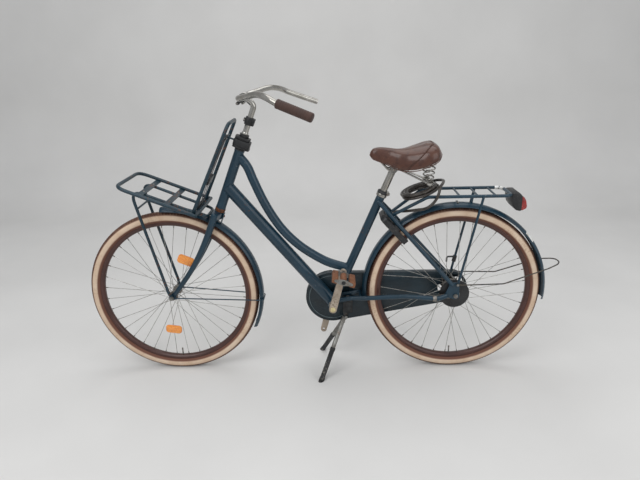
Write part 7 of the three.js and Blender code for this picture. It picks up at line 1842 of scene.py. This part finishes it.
# Left pedal: two tan rubber blocks with ribbed faces between pressed steel end plates, which
# turn on a barrel with a dust cap. Dirt has darkened the ribs.
pedal_tan = new_finish("pedal_rubber", "7f5338", 0.72)
tint(pedal_tan, (40.0, 0.35, 0.7), "6b432b", 0.8)
tint(pedal_tan, [(160.0, 0.5, 0.66), (25.0, 0.45, 0.6)], "3f2c21", 0.9)
relief(pedal_tan, (350.0, 0.3, 0.7), 0.0005, 0.4)
pedal_turn = math.radians(16)
pedal_long = Vector((math.cos(pedal_turn), 0, -math.sin(pedal_turn)))
pedal_up = Vector((math.sin(pedal_turn), 0, math.cos(pedal_turn)))


def on_pedal(u, v, level):
    """Puts an outline square to the pedal's axle, turned as the pedal is."""
    return Vector((eye_at.x, level, eye_at.z)) + u * pedal_long + v * pedal_up


plates = [slab("pedal_plate", round_hull([(-0.031, 0, 0.0062), (0, 0, 0.0125), (0.031, 0, 0.0062)]), low,
    low + 0.003, on_pedal, bare_steel, soften=0.0008) for low in (-0.1005, -0.1812)]
pedal_barrel = spun("pedal_barrel", [(0.0047, 0.095), (0.009, 0.095), (0.010, 0.097), (0.010, 0.1005),
    (0.009, 0.103), (0.0088, 0.112), (0.0088, 0.166), (0.009, 0.175), (0.009, 0.180), (0.0047, 0.180)],
    eye_at, -side_way, greased)
dress(merged("pedal_plates", plates), "left_pedal", "steel", "pedal_cage")
dress(pedal_barrel, "left_pedal", "steel", "pedal_cage")
dress(spun("pedal_dust_cap", [(0, 0.1795), (0.0076, 0.1795), (0.0080, 0.1820), (0.0070, 0.1838),
    (0.003, 0.1845), (0, 0.1845)], eye_at, -side_way, black_plastic), "left_pedal", "black_plastic")
dress(spun("pedal_sleeve", [(0.0088, 0.108), (0.0118, 0.108), (0.0126, 0.110), (0.0126, 0.168),
    (0.0118, 0.170), (0.0088, 0.170)], eye_at, -side_way, pedal_tan), "left_pedal", "pedal_rubber")
for middle, word in ((-0.034, "front"), (0.034, "rear")):
    half, ribs, corner = 0.0115, 4, 0.0045
    edge = [(-half, half - corner)]
    for k in range(ribs):
        for share, drop in ((0.12, 0.0016), (0.24, 0.0), (0.76, 0.0), (0.88, 0.0016)):
            across = -half + 2 * half * (k + share) / ribs
            round_off = max(0.0, abs(across) - half + corner)
            edge.append((across, half - drop - 0.6 * round_off**2 / corner))
    edge.append((half, half - corner))
    outline = [(middle + u, v) for u, v in edge] + [(middle - u, -v) for u, v in edge]
    dress(slab("pedal_rubber_" + word, outline, -0.1805, -0.0990, on_pedal, pedal_tan, soften=0.0009),
        "left_pedal", "pedal_rubber", "pedal_block_" + word)
    for word_side, level, way in (("out", -0.1812, -1), ("in", -0.0975, 1)):
        dress(spun(f"pedal_nut_{word}_{word_side}", [(0, -0.0005), (0.0036, -0.0005), (0.0036, 0.0022),
            (0.0020, 0.0028), (0, 0.0028)], on_pedal(math.copysign(0.031, middle), 0, level),
            side_way * way, bare_steel, 6, soften=0.0003), "left_pedal", "steel")

# Roller brake arm: a pressed steel lever from the rear hub to a strap round the left chain
# stay, which keeps the brake from turning.
dress(cad_shape("brake_lever", "brake_arm", bare_steel, soften=0.0006), "frame", "steel", "brake_arm")
dress(spun("brake_strap_screw", [(0, 0.0), (0.0042, 0.0), (0.0042, 0.0028), (0.0026, 0.0034),
    (0, 0.0034)], from_rear(-0.084, 0, 0.343) + side_way * -0.0579, -side_way, rusty, 6, soften=0.0003),
    "frame", "rusty_steel")

# Centre stand: a black bracket bolted under the chain stays and a forked steel stand that folds
# back on a cross bolt. Its two legs are scuffed, and end in black rubber feet worn grey below.
bracket_black = new_finish("stand_bracket_paint", "16181a", 0.48, 0.3)
tint(bracket_black, (40.0, 0.4, 0.7), "3a3c3d", 0.6)
tint(bracket_black, [(200.0, 0.54, 0.68), (20.0, 0.45, 0.6)], "6a5443", 0.9, 0.1)
relief(bracket_black, (300.0, 0.3, 0.7), 0.0004, 0.3)
foot_rubber = new_finish("stand_foot_rubber", "151618", 0.68)
tint(foot_rubber, (45.0, 0.4, 0.7), "34353a", 0.8)
tint(foot_rubber, [(180.0, 0.5, 0.66), (22.0, 0.45, 0.6)], "77736a", 0.9)
relief(foot_rubber, (400.0, 0.3, 0.7), 0.0004, 0.4)
dress(cad_shape("stand_bracket_block", "stand_bracket", bracket_black, soften=0.0015), "frame",
    "black_paint", "stand_bracket")
pivot = from_rear(-0.443, 0, 0.243)
for side, word in both_sides:
    dress(spun("stand_bolt_" + word, [(0, 0.022), (0.0072, 0.022), (0.0072, 0.0275), (0.0060, 0.0285),
        (0.004, 0.0285), (0.004, 0.0305), (0, 0.0305)], pivot, side_way * side, bare_steel, 6,
        soften=0.0004), "frame", "steel")
dress(spun("stand_clamp_bolt", [(0, 0.0), (0.0075, 0.0), (0.0075, 0.005), (0.0065, 0.006), (0, 0.006)],
    from_rear(-0.435, 0, 0.3243), (0, 0, 1), bare_steel, 6, soften=0.0004), "frame", "steel")
yoke_end = pivot + Vector((-0.014, 0, -0.028))
yoke = [spun("yoke_barrel", pipe(0.009, 0.0045, -0.0176, 0.0176), pivot, side_way, bare_steel),
    tube("yoke_column", [pivot.lerp(yoke_end, 0.28), yoke_end], 0.010, bare_steel, 24),
    spun("yoke_knot", two_ended([(0, -0.010), (0.0085, -0.010), (0.010, -0.0085)]), yoke_end, side_way,
    bare_steel, 32)]
for side, word in both_sides:
    leg_end = Vector((yoke_end.x - 0.094, side * 0.128, 0))
    leg_dir = (leg_end - yoke_end).normalized()
    leg_run = (leg_end - yoke_end).length
    yoke.append(tube("yoke_leg", [yoke_end, yoke_end + leg_dir * leg_run * 0.45], 0.009, bare_steel, 24))
    shares = [(0.45, 0.0095), (0.455, 0.011), (0.50, 0.0112), (0.51, 0.0100), (0.93, 0.0100),
        (0.945, 0.0112)]
    line = [yoke_end + leg_dir * leg_run * share for share, radius in shares]
    foot = tube("stand_foot_tube_" + word, [*line, yoke_end + leg_dir * (leg_run + 0.011)],
        [*(radius for share, radius in shares), 0.0112], foot_rubber, 28)
    cut = bmesh.new()
    cut.from_mesh(foot.data)
    bmesh.ops.bisect_plane(cut, geom=[*cut.verts, *cut.edges, *cut.faces], plane_co=(0, 0, 0.0),
        plane_no=(0, 0, -1), clear_outer=True)
    bmesh.ops.holes_fill(cut, edges=[edge for edge in cut.edges if edge.is_boundary])
    bmesh.ops.recalc_face_normals(cut, faces=cut.faces)
    cut.to_mesh(foot.data)
    cut.free()
    dress(foot, "stand", "black_plastic", "stand_foot_" + word)
dress(merged("stand_yoke_fork", yoke), "stand", "steel", "stand_yoke")
